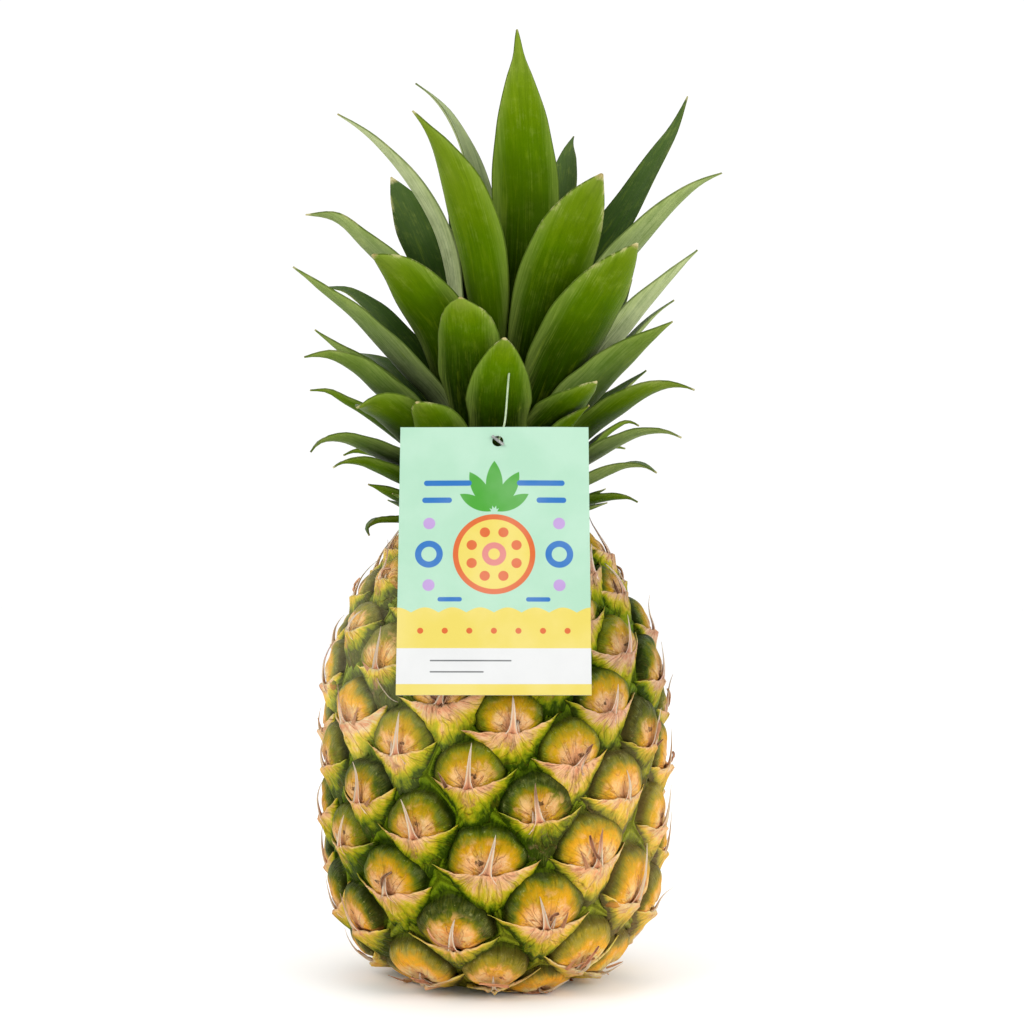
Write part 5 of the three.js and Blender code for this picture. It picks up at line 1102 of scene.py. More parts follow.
leaf_objs = []
for name, bearing, roll, stations in LEAVES:
    lb = Build()
    back = np.array(stations)[:, 1].mean() > 6
    look = (DRY_TIP.get(name, 0.25), BRIGHT.get(name, 0.55), PALE.get(name, 0.0))
    long = sum(math.dist(stations[k][:3], stations[k + 1][:3]) for k in range(8))
    leaf_mesh(lb, name, bearing, roll, stations, rows=int(np.clip(long / 2.8, 22, 46)), cols=15, look=look, deepen=DEEPEN.get(name, 1.0))
    o = lb.object("blade_" + name[-2:])
    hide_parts(name)
    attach(o, "root")
    leaf_objs.append(o)

# ------------------------------------------------------------------ crown heart: stem, small bracts at its foot, young leaves on top
crown = Build()
CROWN = [[20.3, 161.9], [20.3, 163], [17.5, 175], [14, 190], [10.5, 205], [6, 226], [3.5, 229]]
zz = np.array([161.9, 163, 167, 171, 176, 182, 188, 194, 200, 206, 212, 218, 223, 227, 229])
rr = np.interp(zz, [c[1] for c in CROWN], [c[0] for c in CROWN])
cols = 40
ang = np.linspace(0, 2 * math.pi, cols, endpoint=False)
rows_ = []
for z_, r_ in zip(zz, rr):
    bump_ = 0.35 * np.sin(ang * 8 + z_ * 0.7) + 0.25 * np.sin(ang * 13 - z_ * 0.45)
    rad_ = r_ - 0.4 + bump_ * min(1, r_ / 10)
    rows_.append(np.stack([rad_ * np.sin(ang), -rad_ * np.cos(ang), np.full(cols, z_)], axis=1))
verts = np.vstack([[(0, 0, 161.9)]] + rows_ + [[(0, 0, 229.6)]])
fc = [(0, 1 + (j + 1) % cols, 1 + j) for j in range(cols)]
fc += grid_faces(len(zz), cols, 1, wrap=True)
last = 1 + len(zz) * cols
fc += [(last, last - cols + j, last - cols + (j + 1) % cols) for j in range(cols)]
crown.add(verts, fc, (0.30, 0, 0, 0.5), (0.2, 0.4, 0.0, 0.5))
crng = np.random.default_rng(21)


def small_leaf(th_deg, z0, r0, length, rise0, rise1, half, look, seed, roll=0.0, thick=0.7):
    """A short leaf from the crown's stem; its slope runs from rise0 to rise1 degrees above level."""
    b_ = math.radians(th_deg)
    outw = np.array([math.sin(b_), -math.cos(b_), 0.0])
    p_ = outw * r0 + np.array([0, 0, z0])
    st = []
    prof = [0.72, 0.9, 1.0, 0.98, 0.86, 0.62, 0.34, 0.14, 0.03]
    ss = [0, 0.1, 0.24, 0.4, 0.56, 0.72, 0.86, 0.95, 1.0]
    fine = np.linspace(0, 1, 60)
    el = np.radians(rise0 + (rise1 - rise0) * fine)
    pts_ = p_ + np.cumsum(np.outer(np.cos(el), outw) + np.outer(np.sin(el), [0, 0, 1.0]), axis=0) * length / 60
    for s_, w_ in zip(ss, prof):
        q_ = [float(np.interp(s_, fine, pts_[:, j])) for j in range(3)]
        st.append(q_ + [half * w_])
    leaf_mesh(crown, "x", th_deg, roll, st, rows=18, cols=9, look=look, thick=thick, seed=seed)


for k in range(26):
    th_ = (k * 137.5 + 20) % 360 - 180
    z_ = 162.6 + (k % 13) * 0.42
    ln = crng.uniform(13, 24)
    small_leaf(th_, z_, np.interp(z_, [c[1] for c in CROWN], [c[0] for c in CROWN]) - 1.2, ln, crng.uniform(2, 12), crng.uniform(10, 45), crng.uniform(3.6, 5.2),
               (crng.uniform(0.4, 1.0), 0.35, 0.08), 60 + k, roll=crng.uniform(-12, 12))
# closer ones stand against the stem above them
for k in range(30):
    th_ = (k * 137.5 + 75) % 360 - 180
    z_ = 163.4 + (k % 15) * 0.75
    ln = crng.uniform(13, 20)
    small_leaf(th_, z_, np.interp(z_, [c[1] for c in CROWN], [c[0] for c in CROWN]) - 1.4, ln, crng.uniform(18, 34), crng.uniform(60, 84), crng.uniform(5.6, 7.4),
               (crng.uniform(0.3, 0.9), crng.uniform(0.3, 0.7), 0.05), 120 + k, roll=crng.uniform(-10, 10))
for k in range(9):
    th_ = 180 + 95 * math.sin(k * 2.4)
    z_ = 214 + k * 1.6
    ln = 62 - k * 3.6
    small_leaf(th_, z_, max(2.0, 8.0 - k * 0.75), ln, 83, 76 + crng.uniform(-4, 4), 5.2 - 0.28 * k, (0.1, 0.5, 0.35), 90 + k, roll=crng.uniform(-10, 10))
crown_obj = crown.object("crown_heart")
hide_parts("crown_axis")
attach(crown_obj, "root")

# ------------------------------------------------------------------ cut stalk under the base
scar = Build()
rad_ = [0.0, 2.0, 4.0, 6.0, 8.0, 10.0, 11.5, 12.6, 13.4, 13.9]
cols = 64
ang = np.linspace(0, 2 * math.pi, cols, endpoint=False)
rows_ = []
for k, r_ in enumerate(rad_[1:]):
    x_, y_ = r_ * np.cos(ang), r_ * np.sin(ang)
    z_ = 0.18 + 0.16 * wave_noise(x_, y_, 31, 9, 0.4, 1.6) + (0.5 if r_ > 13.5 else 0.0) + 0.25 * (r_ < 4.5)
    rows_.append(np.stack([x_, y_, np.maximum(z_, 0.0)], axis=1))
rows_.append(np.stack([13.95 * np.cos(ang), 13.95 * np.sin(ang), np.full(cols, 2.0)], axis=1))
rows_.append(np.stack([13.9 * np.cos(ang), 13.9 * np.sin(ang), np.full(cols, SCAR_T)], axis=1))
rows_.append(np.stack([7 * np.cos(ang), 7 * np.sin(ang), np.full(cols, SCAR_T)], axis=1))
verts = np.vstack([[(0, 0, 0.4)]] + rows_ + [[(0, 0, SCAR_T)]])
fc = [(0, 1 + (j + 1) % cols, 1 + j) for j in range(cols)]
fc += grid_faces(len(rows_), cols, 1, wrap=True)
last = 1 + len(rows_) * cols
fc += [(last, last - cols + j, last - cols + (j + 1) % cols) for j in range(cols)]
scar.add(verts, fc, (0, 0, 0, 0), (0, 0, 0, 0))
scar_obj = scar.object("cut_stalk")
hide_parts("stem_scar")
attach(scar_obj, "root")


# ------------------------------------------------------------------ hang tag
tag = Build()
NX, NY = 41, 61
xs, ys = np.linspace(-TAG_W / 2, TAG_W / 2, NX), np.linspace(0, TAG_H, NY)


def tag_point(x, y, z):
    """Card coordinates: x to the right of the middle, y down from the top edge, z out of the front face."""
    x, y, z = np.broadcast_arrays(x, y, z)
    curl = 0.35 * ((y - TAG_H / 2) / (TAG_H / 2)) ** 2 - 0.25 * (x / (TAG_W / 2)) ** 2 + 0.15 * np.sin(x * 0.09 + y * 0.05)
    zz_ = z + curl - 0.25
    return TAG_TOP + x[..., None] * TAG_X - y[..., None] * TAG_UP + zz_[..., None] * TAG_OUT


# the sheet is a grid outside a square patch round the hole, which is filled by rings
hx, hy = TAG_HOLE
cx0, cx1 = int(np.searchsorted(xs, hx - 3.2)) - 1, int(np.searchsorted(xs, hx + 3.2))
cy0, cy1 = int(np.searchsorted(ys, hy - 3.0)) - 1, int(np.searchsorted(ys, hy + 3.0))
tv, tf, flat = [], [], {}


def tput(x, y, side):
    tv.append((x, y, side))
    return len(tv) - 1


def corner_z(side):
    return 0.0 if side else -TAG_T


for side in (1, 0):
    idx = {}
    for r in range(NY):
        for c in range(NX):
            if cx0 < c < cx1 and cy0 < r < cy1:
                continue
            idx[r, c] = tput(xs[c], ys[r], side)
    for r in range(NY - 1):
        for c in range(NX - 1):
            if cx0 <= c < cx1 and cy0 <= r < cy1:
                continue
            q = (idx[r, c], idx[r + 1, c], idx[r + 1, c + 1], idx[r, c + 1])
            tf.append(q if side else q[::-1])
    ring = [(cy0, c) for c in range(cx0, cx1)] + [(r, cx1) for r in range(cy0, cy1)] + [(cy1, c) for c in range(cx1, cx0, -1)] + [(r, cx0) for r in range(cy1, cy0, -1)]
    outer = [idx[k] for k in ring]
    an = [math.atan2(ys[r] - hy, xs[c] - hx) for r, c in ring]
    hole_ring = [tput(hx + TAG_HOLE_R * math.cos(q), hy + TAG_HOLE_R * math.sin(q), side) for q in an]
    # a second ring a little outside the hole
    lip_ring = [tput(hx + (TAG_HOLE_R + 0.35) * math.cos(q), hy + (TAG_HOLE_R + 0.35) * math.sin(q), side) for q in an]
    for j in range(len(ring)):
        k2 = (j + 1) % len(ring)
        for i0, i1 in ((outer, lip_ring), (lip_ring, hole_ring)):
            q = (i0[j], i0[k2], i1[k2], i1[j])
            tf.append(q[::-1] if side else q)
    flat[side] = (idx, hole_ring)
# outer edges and the hole's wall
for pair in ([(0, c) for c in range(NX)], [(r, NX - 1) for r in range(NY)], [(NY - 1, c) for c in range(NX - 1, -1, -1)], [(r, 0) for r in range(NY - 1, -1, -1)]):
    for k0, k1 in zip(pair, pair[1:]):
        a0, a1, b0, b1 = flat[1][0][k0], flat[1][0][k1], flat[0][0][k0], flat[0][0][k1]
        tf.append((a0, a1, b1, b0))
for j in range(len(flat[1][1])):
    k2 = (j + 1) % len(flat[1][1])
    a0, a1, b0, b1 = flat[1][1][j], flat[1][1][k2], flat[0][1][j], flat[0][1][k2]
    tf.append((a1, a0, b0, b1))
T = np.array(tv)
edge_in = 0.06
P = tag_point(T[:, 0], T[:, 1], np.where(T[:, 2] > 0, 0.0, -TAG_T))
A = np.stack([T[:, 0] / 100, T[:, 1] / 100, T[:, 2], np.zeros(len(T))], axis=1)
tag.add(P, tf, A, (0, 0, 0, 0))
tag_obj = tag.object("hang_tag")
tag_obj.data.polygons.foreach_set("use_smooth", np.zeros(len(tag_obj.data.polygons), bool))
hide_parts("tag")
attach(tag_obj, "root")


# ------------------------------------------------------------------ materials
def ripe(g, col, pos, hgt, dry=False):
    """The fruit is riper, so warmer, low down and on the side towards +X; over the upper half the side towards -X is
    made lighter and greyer, the side towards +X darker.
    """
    s = g.node("ShaderNodeSeparateXYZ")
    g.link(pos, s.inputs[0])
    lowdown = g.math("SUBTRACT", 1.0, g.step(hgt, 0.05, 0.32))
    own = g.node("ShaderNodeSeparateColor")
    g.link(col, own.inputs[0])
    rind = g.math("SUBTRACT", 1.0, g.step(own.outputs[0], 0.035, 0.14))
    lowdown = g.math("MULTIPLY", lowdown, g.math("SUBTRACT", 1.0, g.math("MULTIPLY", rind, 0.62)))
    above = g.step(hgt, 0.42, 0.70)
    warm = g.math("MULTIPLY", g.math("MULTIPLY", g.step(s.outputs[0], 0.010, 0.050), g.math("SUBTRACT", 1.0, above)), 0.80)
    left = g.math("MULTIPLY", g.math("SUBTRACT", 1.0, g.step(s.outputs[0], -0.045, 0.0)), above)
    col = g.mix(g.math("MULTIPLY", left, 0.9), col, g.mix(1.0, col, (1.52, 1.46, 1.60, 1), "MULTIPLY"))
    col = g.mix(g.math("MULTIPLY", left, 0.13), col, (*srgb(214, 190, 160), 1))
    right = g.math("MULTIPLY", g.step(s.outputs[0], 0.0, 0.03), above)
    col = g.mix(right, col, g.mix(1.0, col, (0.78, 0.85, 1.0, 1), "MULTIPLY"))
    col = g.mix(g.math("MULTIPLY", lowdown, 0.85), col, g.mix(1.0, col, (1.95, 1.54, 1.60, 1), "MULTIPLY"))
    if dry:
        col = g.mix(warm, col, g.mix(1.0, col, (1.70, 1.34, 1.24, 1), "MULTIPLY"))
        col = g.mix(g.math("MULTIPLY", warm, 0.22), col, (*srgb(234, 178, 144), 1))
        col = g.mix(g.math("MULTIPLY", lowdown, 0.27), col, (*srgb(236, 168, 124), 1))
    else:
        col = g.mix(warm, col, g.mix(1.0, col, (1.46, 1.33, 1.20, 1), "MULTIPLY"))
        col = g.mix(g.math("MULTIPLY", warm, 0.17), col, (*srgb(208, 160, 102), 1))
        col = g.mix(g.math("MULTIPLY", lowdown, 0.15), col, (*srgb(232, 156, 98), 1))
    return g.mix(1.0, col, (0.74, 0.60, 0.46, 1), "DARKEN")


def fruit_material():
    TONE[0] = 0.94
    m, nt, bsdf = material("fruit_skin")
    g = N(nt)
    u, v, r1, w = g.attr("shape_a")
    hgt, rho2, r2, spot = g.attr("shape_b")
    pos = g.position()
    # streaks that fan out from the root of the spine
    fan = g.math("ARCTAN2", u, g.math("ADD", v, 1.0))
    far = g.math("SQRT", g.math("ADD", g.math("MULTIPLY", u, u), g.math("MULTIPLY", v, v)))
    seed = g.math("MULTIPLY", r1, 50.0)
    streak = g.noise(g.vec(g.math("MULTIPLY", fan, 7.0), g.math("MULTIPLY", far, 0.16), seed), 1.0, 4.0, 0.62)
    fine = g.noise(g.vec(g.math("MULTIPLY", fan, 30.0), g.math("MULTIPLY", far, 0.30), seed), 1.0, 3.0, 0.6)
    blot = g.noise(pos, 105.0, 4.0, 0.6)
    cloud = g.noise(pos, 260.0, 4.0, 0.62)
    speck = g.noise(pos, 760.0, 3.0, 0.65)
    crease = g.noise(g.vec(g.math("MULTIPLY", fan, 3.4), g.math("MULTIPLY", far, 0.10), g.math("ADD", seed, 9.0)), 1.0, 2.0, 0.5, 0.6)
    fold = g.math("SUBTRACT", 1.0, g.step(g.math("ABSOLUTE", g.math("SUBTRACT", crease, 0.5)), 0.0, 0.026))
    near_root = g.math("SUBTRACT", 1.0, g.step(far, 4.0, 12.0))
    fold = g.math("MULTIPLY", fold, near_root)
    warped = g.math("ADD", w, g.math("MULTIPLY", g.math("SUBTRACT", streak, 0.5), 0.22))
    warped = g.math("ADD", warped, g.math("MULTIPLY", g.math("SUBTRACT", blot, 0.5), 0.60))
    warped = g.math("ADD", warped, g.math("MULTIPLY", g.math("SUBTRACT", cloud, 0.5), 0.36))
    shift = g.math("MULTIPLY", g.math("SUBTRACT", r2, 0.5), 0.30)
    upward = g.math("MULTIPLY", g.step(hgt, 0.30, 0.80), 0.10)
    low = g.math("MULTIPLY", g.math("SUBTRACT", 1.0, g.step(hgt, 0.05, 0.30)), -0.03)
    warped = g.math("ADD", warped, g.math("ADD", shift, g.math("ADD", upward, low)))
    # greener towards both flanks than over the top
    flank = g.math("MULTIPLY", g.step(g.math("ABSOLUTE", u), 4.5, 11.0), g.step(v, 0.0, 6.0))
    warped = g.math("ADD", warped, g.math("MULTIPLY", flank, 0.11))
    dome = g.ramp(g.math("MULTIPLY", warped, 0.8), [
        (0.02, srgb(216, 152, 106)), (0.14, srgb(222, 164, 106)), (0.25, srgb(216, 160, 70)), (0.34, srgb(206, 150, 30)),
        (0.44, srgb(192, 142, 12)), (0.52, srgb(168, 130, 8)), (0.59, srgb(132, 114, 6)), (0.66, srgb(90, 96, 6)), (0.725, srgb(56, 72, 5)), (0.80, srgb(30, 46, 3))])
    # some eyes are greener, some more yellow
    odd = g.math("MULTIPLY", g.step(r1, 0.55, 0.75), g.step(g.math("ADD", warped, g.math("MULTIPLY", cloud, 0.3)), 0.35, 0.75))
    dome = g.mix(g.math("MULTIPLY", odd, 0.22), dome, (*srgb(150, 146, 12), 1))
    # tan and olive patches break up the golden ring
    patchy = g.noise(pos, 185.0, 4.0, 0.6, 0.4)
    midring = g.math("MULTIPLY", g.step(w, 0.15, 0.35), g.math("SUBTRACT", 1.0, g.step(w, 0.62, 0.80)))
    dome = g.mix(g.math("MULTIPLY", g.math("MULTIPLY", g.step(patchy, 0.52, 0.64), midring), 0.55), dome, (*srgb(212, 162, 104), 1))
    dome = g.mix(g.math("MULTIPLY", g.math("MULTIPLY", g.math("SUBTRACT", 1.0, g.step(patchy, 0.36, 0.47)), midring), 0.42), dome, (*srgb(146, 136, 34), 1))
    # cream to pinkish cheeks on both sides of the spine
    cu = g.math("MULTIPLY", g.math("SUBTRACT", g.math("ABSOLUTE", u), 3.6), 0.50)
    cv = g.math("MULTIPLY", g.math("SUBTRACT", v, g.math("ADD", 3.3, g.math("MULTIPLY", r2, 1.6))), 0.34)
    cd = g.math("SQRT", g.math("ADD", g.math("MULTIPLY", cu, cu), g.math("MULTIPLY", cv, cv)))
    cd = g.math("ADD", cd, g.math("ADD", g.math("MULTIPLY", g.math("SUBTRACT", streak, 0.5), 1.3), g.math("MULTIPLY", g.math("SUBTRACT", cloud, 0.5), 0.9)))
    cheeks = g.math("SUBTRACT", 1.0, g.step(cd, 0.30, 1.35))
    dome = g.mix(g.math("MULTIPLY", cheeks, 0.58), dome, g.mix(g.step(blot, 0.4, 0.62), (*srgb(230, 188, 138), 1), (*srgb(226, 172, 130), 1)))
    # lumpy, blotched flesh inside the rim
    lump = g.noise(g.vec(g.math("MULTIPLY", fan, 3.6), g.math("MULTIPLY", far, 0.55), g.math("ADD", seed, 23.0)), 1.0, 5.0, 0.66, 1.2)
    inner = g.math("SUBTRACT", 1.0, g.step(g.math("ADD", w, g.math("MULTIPLY", g.math("SUBTRACT", cloud, 0.5), 0.4)), 0.34, 0.66))
    dome = g.mix(g.math("MULTIPLY", g.math("MULTIPLY", g.math("SUBTRACT", 1.0, g.step(lump, 0.36, 0.50)), inner), 0.60), dome, (*srgb(198, 124, 58), 1))
    dome = g.mix(g.math("MULTIPLY", g.math("MULTIPLY", g.step(lump, 0.53, 0.66), inner), 0.50), dome, (*srgb(236, 202, 158), 1))
    under = g.math("MULTIPLY", g.math("SUBTRACT", 1.0, g.step(g.math("ABSOLUTE", u), 1.2, 3.0)), g.math("SUBTRACT", 1.0, g.step(v, 3.5, 8.5)))
    dome = g.mix(g.math("MULTIPLY", under, 0.35), dome, (*srgb(222, 160, 118), 1))
    # the rim is combed with short strokes, grey-green and dark
    comb = g.math("MULTIPLY", g.step(w, 0.70, 0.90), g.step(fine, 0.46, 0.66))
    dome = g.mix(g.math("MULTIPLY", comb, 0.18), dome, (*srgb(140, 142, 46), 1))
    dark_comb = g.math("MULTIPLY", g.step(w, 0.72, 0.92), g.math("SUBTRACT", 1.0, g.step(fine, 0.34, 0.5)))
    dome = g.mix(g.math("MULTIPLY", dark_comb, 0.5), dome, (*srgb(34, 52, 4), 1))
    # a dull, powdery bloom over the upper rim
    powder = g.math("MULTIPLY", g.step(g.math("ADD", g.math("MULTIPLY", cloud, 0.8), g.math("MULTIPLY", speck, 0.2)), 0.44, 0.64), g.math("MULTIPLY", g.step(w, 0.58, 0.84), g.step(v, 2.0, 7.0)))
    dome = g.mix(g.math("MULTIPLY", powder, 0.26), dome, (*srgb(124, 132, 78), 1))
    fleck = g.math("MULTIPLY", g.step(speck, 0.62, 0.70), g.math("MULTIPLY", g.step(w, 0.66, 0.86), g.math("SUBTRACT", 1.0, g.step(w, 1.0, 1.1))))
    dome = g.mix(g.math("MULTIPLY", fleck, 0.22), dome, (*srgb(186, 190, 120), 1))
    dome = g.mix(g.math("MULTIPLY", g.math("MULTIPLY", g.step(fine, 0.54, 0.8), g.math("SUBTRACT", 1.0, g.step(w, 0.5, 0.9))), 0.18), dome, (*srgb(228, 196, 140), 1))
    dome = g.mix(g.math("MULTIPLY", g.math("SUBTRACT", 1.0, g.step(fine, 0.25, 0.45)), 0.18), dome, (*srgb(140, 94, 40), 1), "MULTIPLY")
    # darker brown fold lines near the root: partly the skin's colour, partly painted shade in the creases
    dome = g.mix(g.math("MULTIPLY", fold, 0.60), dome, (*srgb(150, 84, 40), 1))
    # painted brown contact shadow where the dome goes under the lip
    lip_contact_shadow = g.math("SUBTRACT", 1.0, g.step(g.math("ADD", v, g.math("MULTIPLY", g.math("SUBTRACT", fine, 0.5), 1.0)), -0.2, 0.8))
    dome = g.mix(g.math("MULTIPLY", lip_contact_shadow, 0.45), dome, (*srgb(190, 116, 60), 1))
    # dark dry remains of the flower on some
    sx, sy = g.math("SUBTRACT", u, g.math("MULTIPLY", g.math("SUBTRACT", r1, 0.5), 5.0)), g.math("SUBTRACT", v, g.math("ADD", 2.6, g.math("MULTIPLY", r2, 3.0)))
    sd = g.math("SQRT", g.math("ADD", g.math("MULTIPLY", sx, sx), g.math("MULTIPLY", g.math("MULTIPLY", sy, sy), 2.0)))
    sd = g.math("ADD", sd, g.math("ADD", g.math("MULTIPLY", g.math("SUBTRACT", cloud, 0.5), 2.4), g.math("MULTIPLY", g.math("SUBTRACT", speck, 0.5), 3.2)))
    mark = g.math("SUBTRACT", 1.0, g.step(g.math("SUBTRACT", sd, spot), -0.25, 0.25))
    mark = g.math("MULTIPLY", mark, g.step(spot, 0.2, 0.5))
    dome = g.mix(g.math("MULTIPLY", mark, 0.85), dome, g.mix(g.step(speck, 0.4, 0.65), (*srgb(66, 42, 26), 1), (*srgb(150, 110, 80), 1)))
    # groove: deep green, lighter along its middle
    gro = g.mix(g.step(g.math("ADD", g.math("MULTIPLY", cloud, 0.5), g.math("MULTIPLY", fine, 0.5)), 0.38, 0.62), (*srgb(44, 68, 2), 1), (*srgb(92, 116, 8), 1))
    gro = g.mix(g.math("MULTIPLY", g.step(w, 1.30, 1.8), 0.45), gro, (*srgb(116, 132, 12), 1))
    wr = g.math("ADD", w, g.math("MULTIPLY", g.math("SUBTRACT", fine, 0.5), 0.16))
    col = g.mix(g.step(wr, 0.97, 1.05), dome, gro)
    # a near-black ring of painted shade in the groove round each dome's rim, strongest on the flanks
    ring = g.math("MULTIPLY", g.step(wr, 0.86, 0.99), g.math("SUBTRACT", 1.0, g.step(wr, 1.12, 1.42)))
    ring = g.math("MULTIPLY", ring, g.math("ADD", 0.35, g.math("MULTIPLY", g.math("SUBTRACT", g.step(v, 0.5, 5.0), g.math("MULTIPLY", g.step(v, 8.5, 12.5), 0.62)), 0.60)))
    col = g.mix(ring, col, (*srgb(12, 26, 1), 1))
    # dry, corky skin round the cut under the base
    cork = g.mix(g.step(cloud, 0.38, 0.62), (*srgb(126, 100, 60), 1), (*srgb(186, 158, 110), 1))
    cork = g.mix(g.math("MULTIPLY", g.step(blot, 0.46, 0.60), 0.55), cork, (*srgb(112, 112, 48), 1))
    cork = g.mix(g.math("MULTIPLY", g.step(speck, 0.54, 0.68), 0.45), cork, (*srgb(92, 66, 40), 1))
    col = g.mix(g.step(w, 2.2, 2.8), col, cork)
    col = ripe(g, col, pos, hgt)
    bsdf.inputs["Subsurface Weight"].default_value = 0.06
    bsdf.inputs["Subsurface Radius"].default_value = (0.0022, 0.0012, 0.0004)
    bsdf.inputs["Subsurface Scale"].default_value = 0.6
    cavity = g.math("ADD", 0.72, g.math("MULTIPLY", g.math("ADD", g.math("MULTIPLY", cloud, 0.7), g.math("MULTIPLY", streak, 0.3)), 0.58))
    col = g.mix(1.0, col, g.vec(cavity, cavity, cavity), "MULTIPLY")
    g.link(col, bsdf.inputs["Base Color"])
    rough = g.math("ADD", 0.38, g.math("MULTIPLY", blot, 0.25))
    g.link(rough, bsdf.inputs["Roughness"])
    bsdf.inputs["Specular IOR Level"].default_value = 0.08
    bsdf.inputs["Specular Tint"].default_value = (1.0, 0.86, 0.25, 1)
    h = g.math("ADD", g.math("MULTIPLY", streak, 0.75), g.math("ADD", g.math("MULTIPLY", fine, 0.32), g.math("MULTIPLY", cloud, 1.1)))
    h = g.math("SUBTRACT", h, g.math("MULTIPLY", fold, 0.5))
    nrm = g.bump(h, 0.8, 0.0014)
    nrm = g.bump(speck, 0.3, 0.0005, nrm)
    g.link(nrm, bsdf.inputs["Normal"])
    return m


def bract_material():
    TONE[0] = 0.94
    m, nt, bsdf = material("fruit_bract")
    g = N(nt)
    u, v, r1, q = g.attr("shape_a")
    hgt, p, r2, kind = g.attr("shape_b")
    pos = g.position()
    seed = g.math("MULTIPLY", r1, 37.0)
    # fibres fan down from the root of the spine
    bend = g.math("MULTIPLY", g.math("SUBTRACT", g.noise(pos, 90.0, 2.0, 0.5), 0.5), 0.7)
    fan = g.math("ADD", g.math("ARCTAN2", u, g.math("SUBTRACT", 3.0, v)), bend)
    far = g.math("SQRT", g.math("ADD", g.math("MULTIPLY", u, u), g.math("MULTIPLY", v, v)))
    fib = g.noise(g.vec(g.math("MULTIPLY", fan, 8.0), g.math("MULTIPLY", far, 0.16), seed), 1.0, 4.0, 0.65)
    fibf = g.noise(g.vec(g.math("MULTIPLY", fan, 26.0), g.math("MULTIPLY", far, 0.40), seed), 1.0, 3.0, 0.6)
    blot = g.noise(pos, 130.0, 4.0, 0.6)
    cloud = g.noise(pos, 300.0, 4.0, 0.62)
    speck = g.noise(pos, 800.0, 3.0, 0.6)
    crease = g.noise(g.vec(g.math("MULTIPLY", fan, 2.3), g.math("MULTIPLY", far, 0.07), g.math("ADD", seed, 5.0)), 1.0, 2.0, 0.5, 0.5)
    fold = g.math("SUBTRACT", 1.0, g.step(g.math("ABSOLUTE", g.math("SUBTRACT", crease, 0.5)), 0.0, 0.030))
    # 0 at the root of the spine, 1 at the ends of the wings and the foot
    reach = g.math("ADD", g.math("MULTIPLY", q, 1.12), g.math("MULTIPLY", g.math("POWER", p, 2.2), 0.38))
    reach = g.math("ADD", reach, g.math("MULTIPLY", g.math("SUBTRACT", fib, 0.5), 0.60))
    reach = g.math("ADD", reach, g.math("MULTIPLY", g.math("SUBTRACT", blot, 0.5), 1.0))
    reach = g.math("ADD", reach, g.math("MULTIPLY", g.math("SUBTRACT", cloud, 0.5), 0.65))
    lop = g.math("MULTIPLY", g.math("MULTIPLY", g.math("SUBTRACT", r1, 0.5), 0.040), u)
    reach = g.math("ADD", reach, g.math("ADD", lop, g.math("ADD", 0.15, g.math("MULTIPLY", g.math("SUBTRACT", r2, 0.5), 0.56))))
    body = g.ramp(reach, [
        (0.00, srgb(218, 152, 110)), (0.12, srgb(224, 170, 124)), (0.26, srgb(220, 172, 108)), (0.38, srgb(208, 172, 68)),
        (0.51, srgb(192, 170, 36)), (0.64, srgb(160, 154, 18)), (0.78, srgb(120, 130, 8)), (0.92, srgb(80, 98, 4)), (1.06, srgb(42, 62, 2))])
    pinker = g.math("MULTIPLY", g.step(cloud, 0.5, 0.7), g.math("SUBTRACT", 1.0, g.step(reach, 0.15, 0.45)))
    body = g.mix(g.math("MULTIPLY", pinker, 0.45), body, (*srgb(224, 176, 146), 1))
    bare = g.math("SUBTRACT", 1.0, g.step(reach, 0.30, 0.62))
    body = g.mix(g.math("MULTIPLY", g.math("MULTIPLY", g.step(g.math("MULTIPLY", fibf, g.math("ADD", 0.5, cloud)), 0.46, 0.70), bare), 0.36), body, (*srgb(244, 214, 168), 1))
    body = g.mix(g.math("MULTIPLY", g.math("MULTIPLY", g.step(fibf, 0.54, 0.76), g.step(reach, 0.45, 0.7)), 0.28), body, (*srgb(150, 168, 44), 1))
    body = g.mix(g.math("MULTIPLY", g.math("SUBTRACT", 1.0, g.step(g.math("MULTIPLY", fibf, g.math("ADD", 0.5, cloud)), 0.30, 0.46)), 0.38), body, (*srgb(170, 130, 60), 1), "MULTIPLY")
    # darker fold lines: partly the bract's colour, partly painted shade in the creases
    body = g.mix(g.math("MULTIPLY", fold, 0.24), body, (*srgb(96, 72, 16), 1))
    # painted reddish shadow lines between the folds at the root of the spine
    root_fold_shadow = g.noise(g.vec(g.math("MULTIPLY", fan, 5.2), g.math("MULTIPLY", far, 0.05), g.math("ADD", seed, 17.0)), 1.0, 1.0, 0.4)
    root_fold_shadow = g.math("SUBTRACT", 1.0, g.step(g.math("ABSOLUTE", g.math("SUBTRACT", root_fold_shadow, 0.5)), 0.0, 0.05))
    root_fold_shadow = g.math("MULTIPLY", root_fold_shadow, g.math("SUBTRACT", 1.0, g.step(far, 2.6, 6.0)))
    body = g.mix(g.math("MULTIPLY", root_fold_shadow, 0.38), body, (*srgb(196, 116, 76), 1))
    # lip edge pinkish and crisp: partly its own colour, partly painted highlight along the edge
    lip = g.math("MULTIPLY", g.math("SUBTRACT", 1.0, g.step(q, 0.0, 0.08)), g.math("SUBTRACT", 1.0, g.step(p, 0.45, 0.9)))
    body = g.mix(g.math("MULTIPLY", lip, 0.60), body, (*srgb(240, 192, 142), 1))
    # the upper edges of the wings lighter: painted highlight
    wing_edge_highlight = g.math("MULTIPLY", g.math("SUBTRACT", 1.0, g.step(q, 0.0, 0.12)), g.step(p, 0.5, 0.85))
    body = g.mix(g.math("MULTIPLY", wing_edge_highlight, 0.45), body, (*srgb(196, 196, 84), 1))
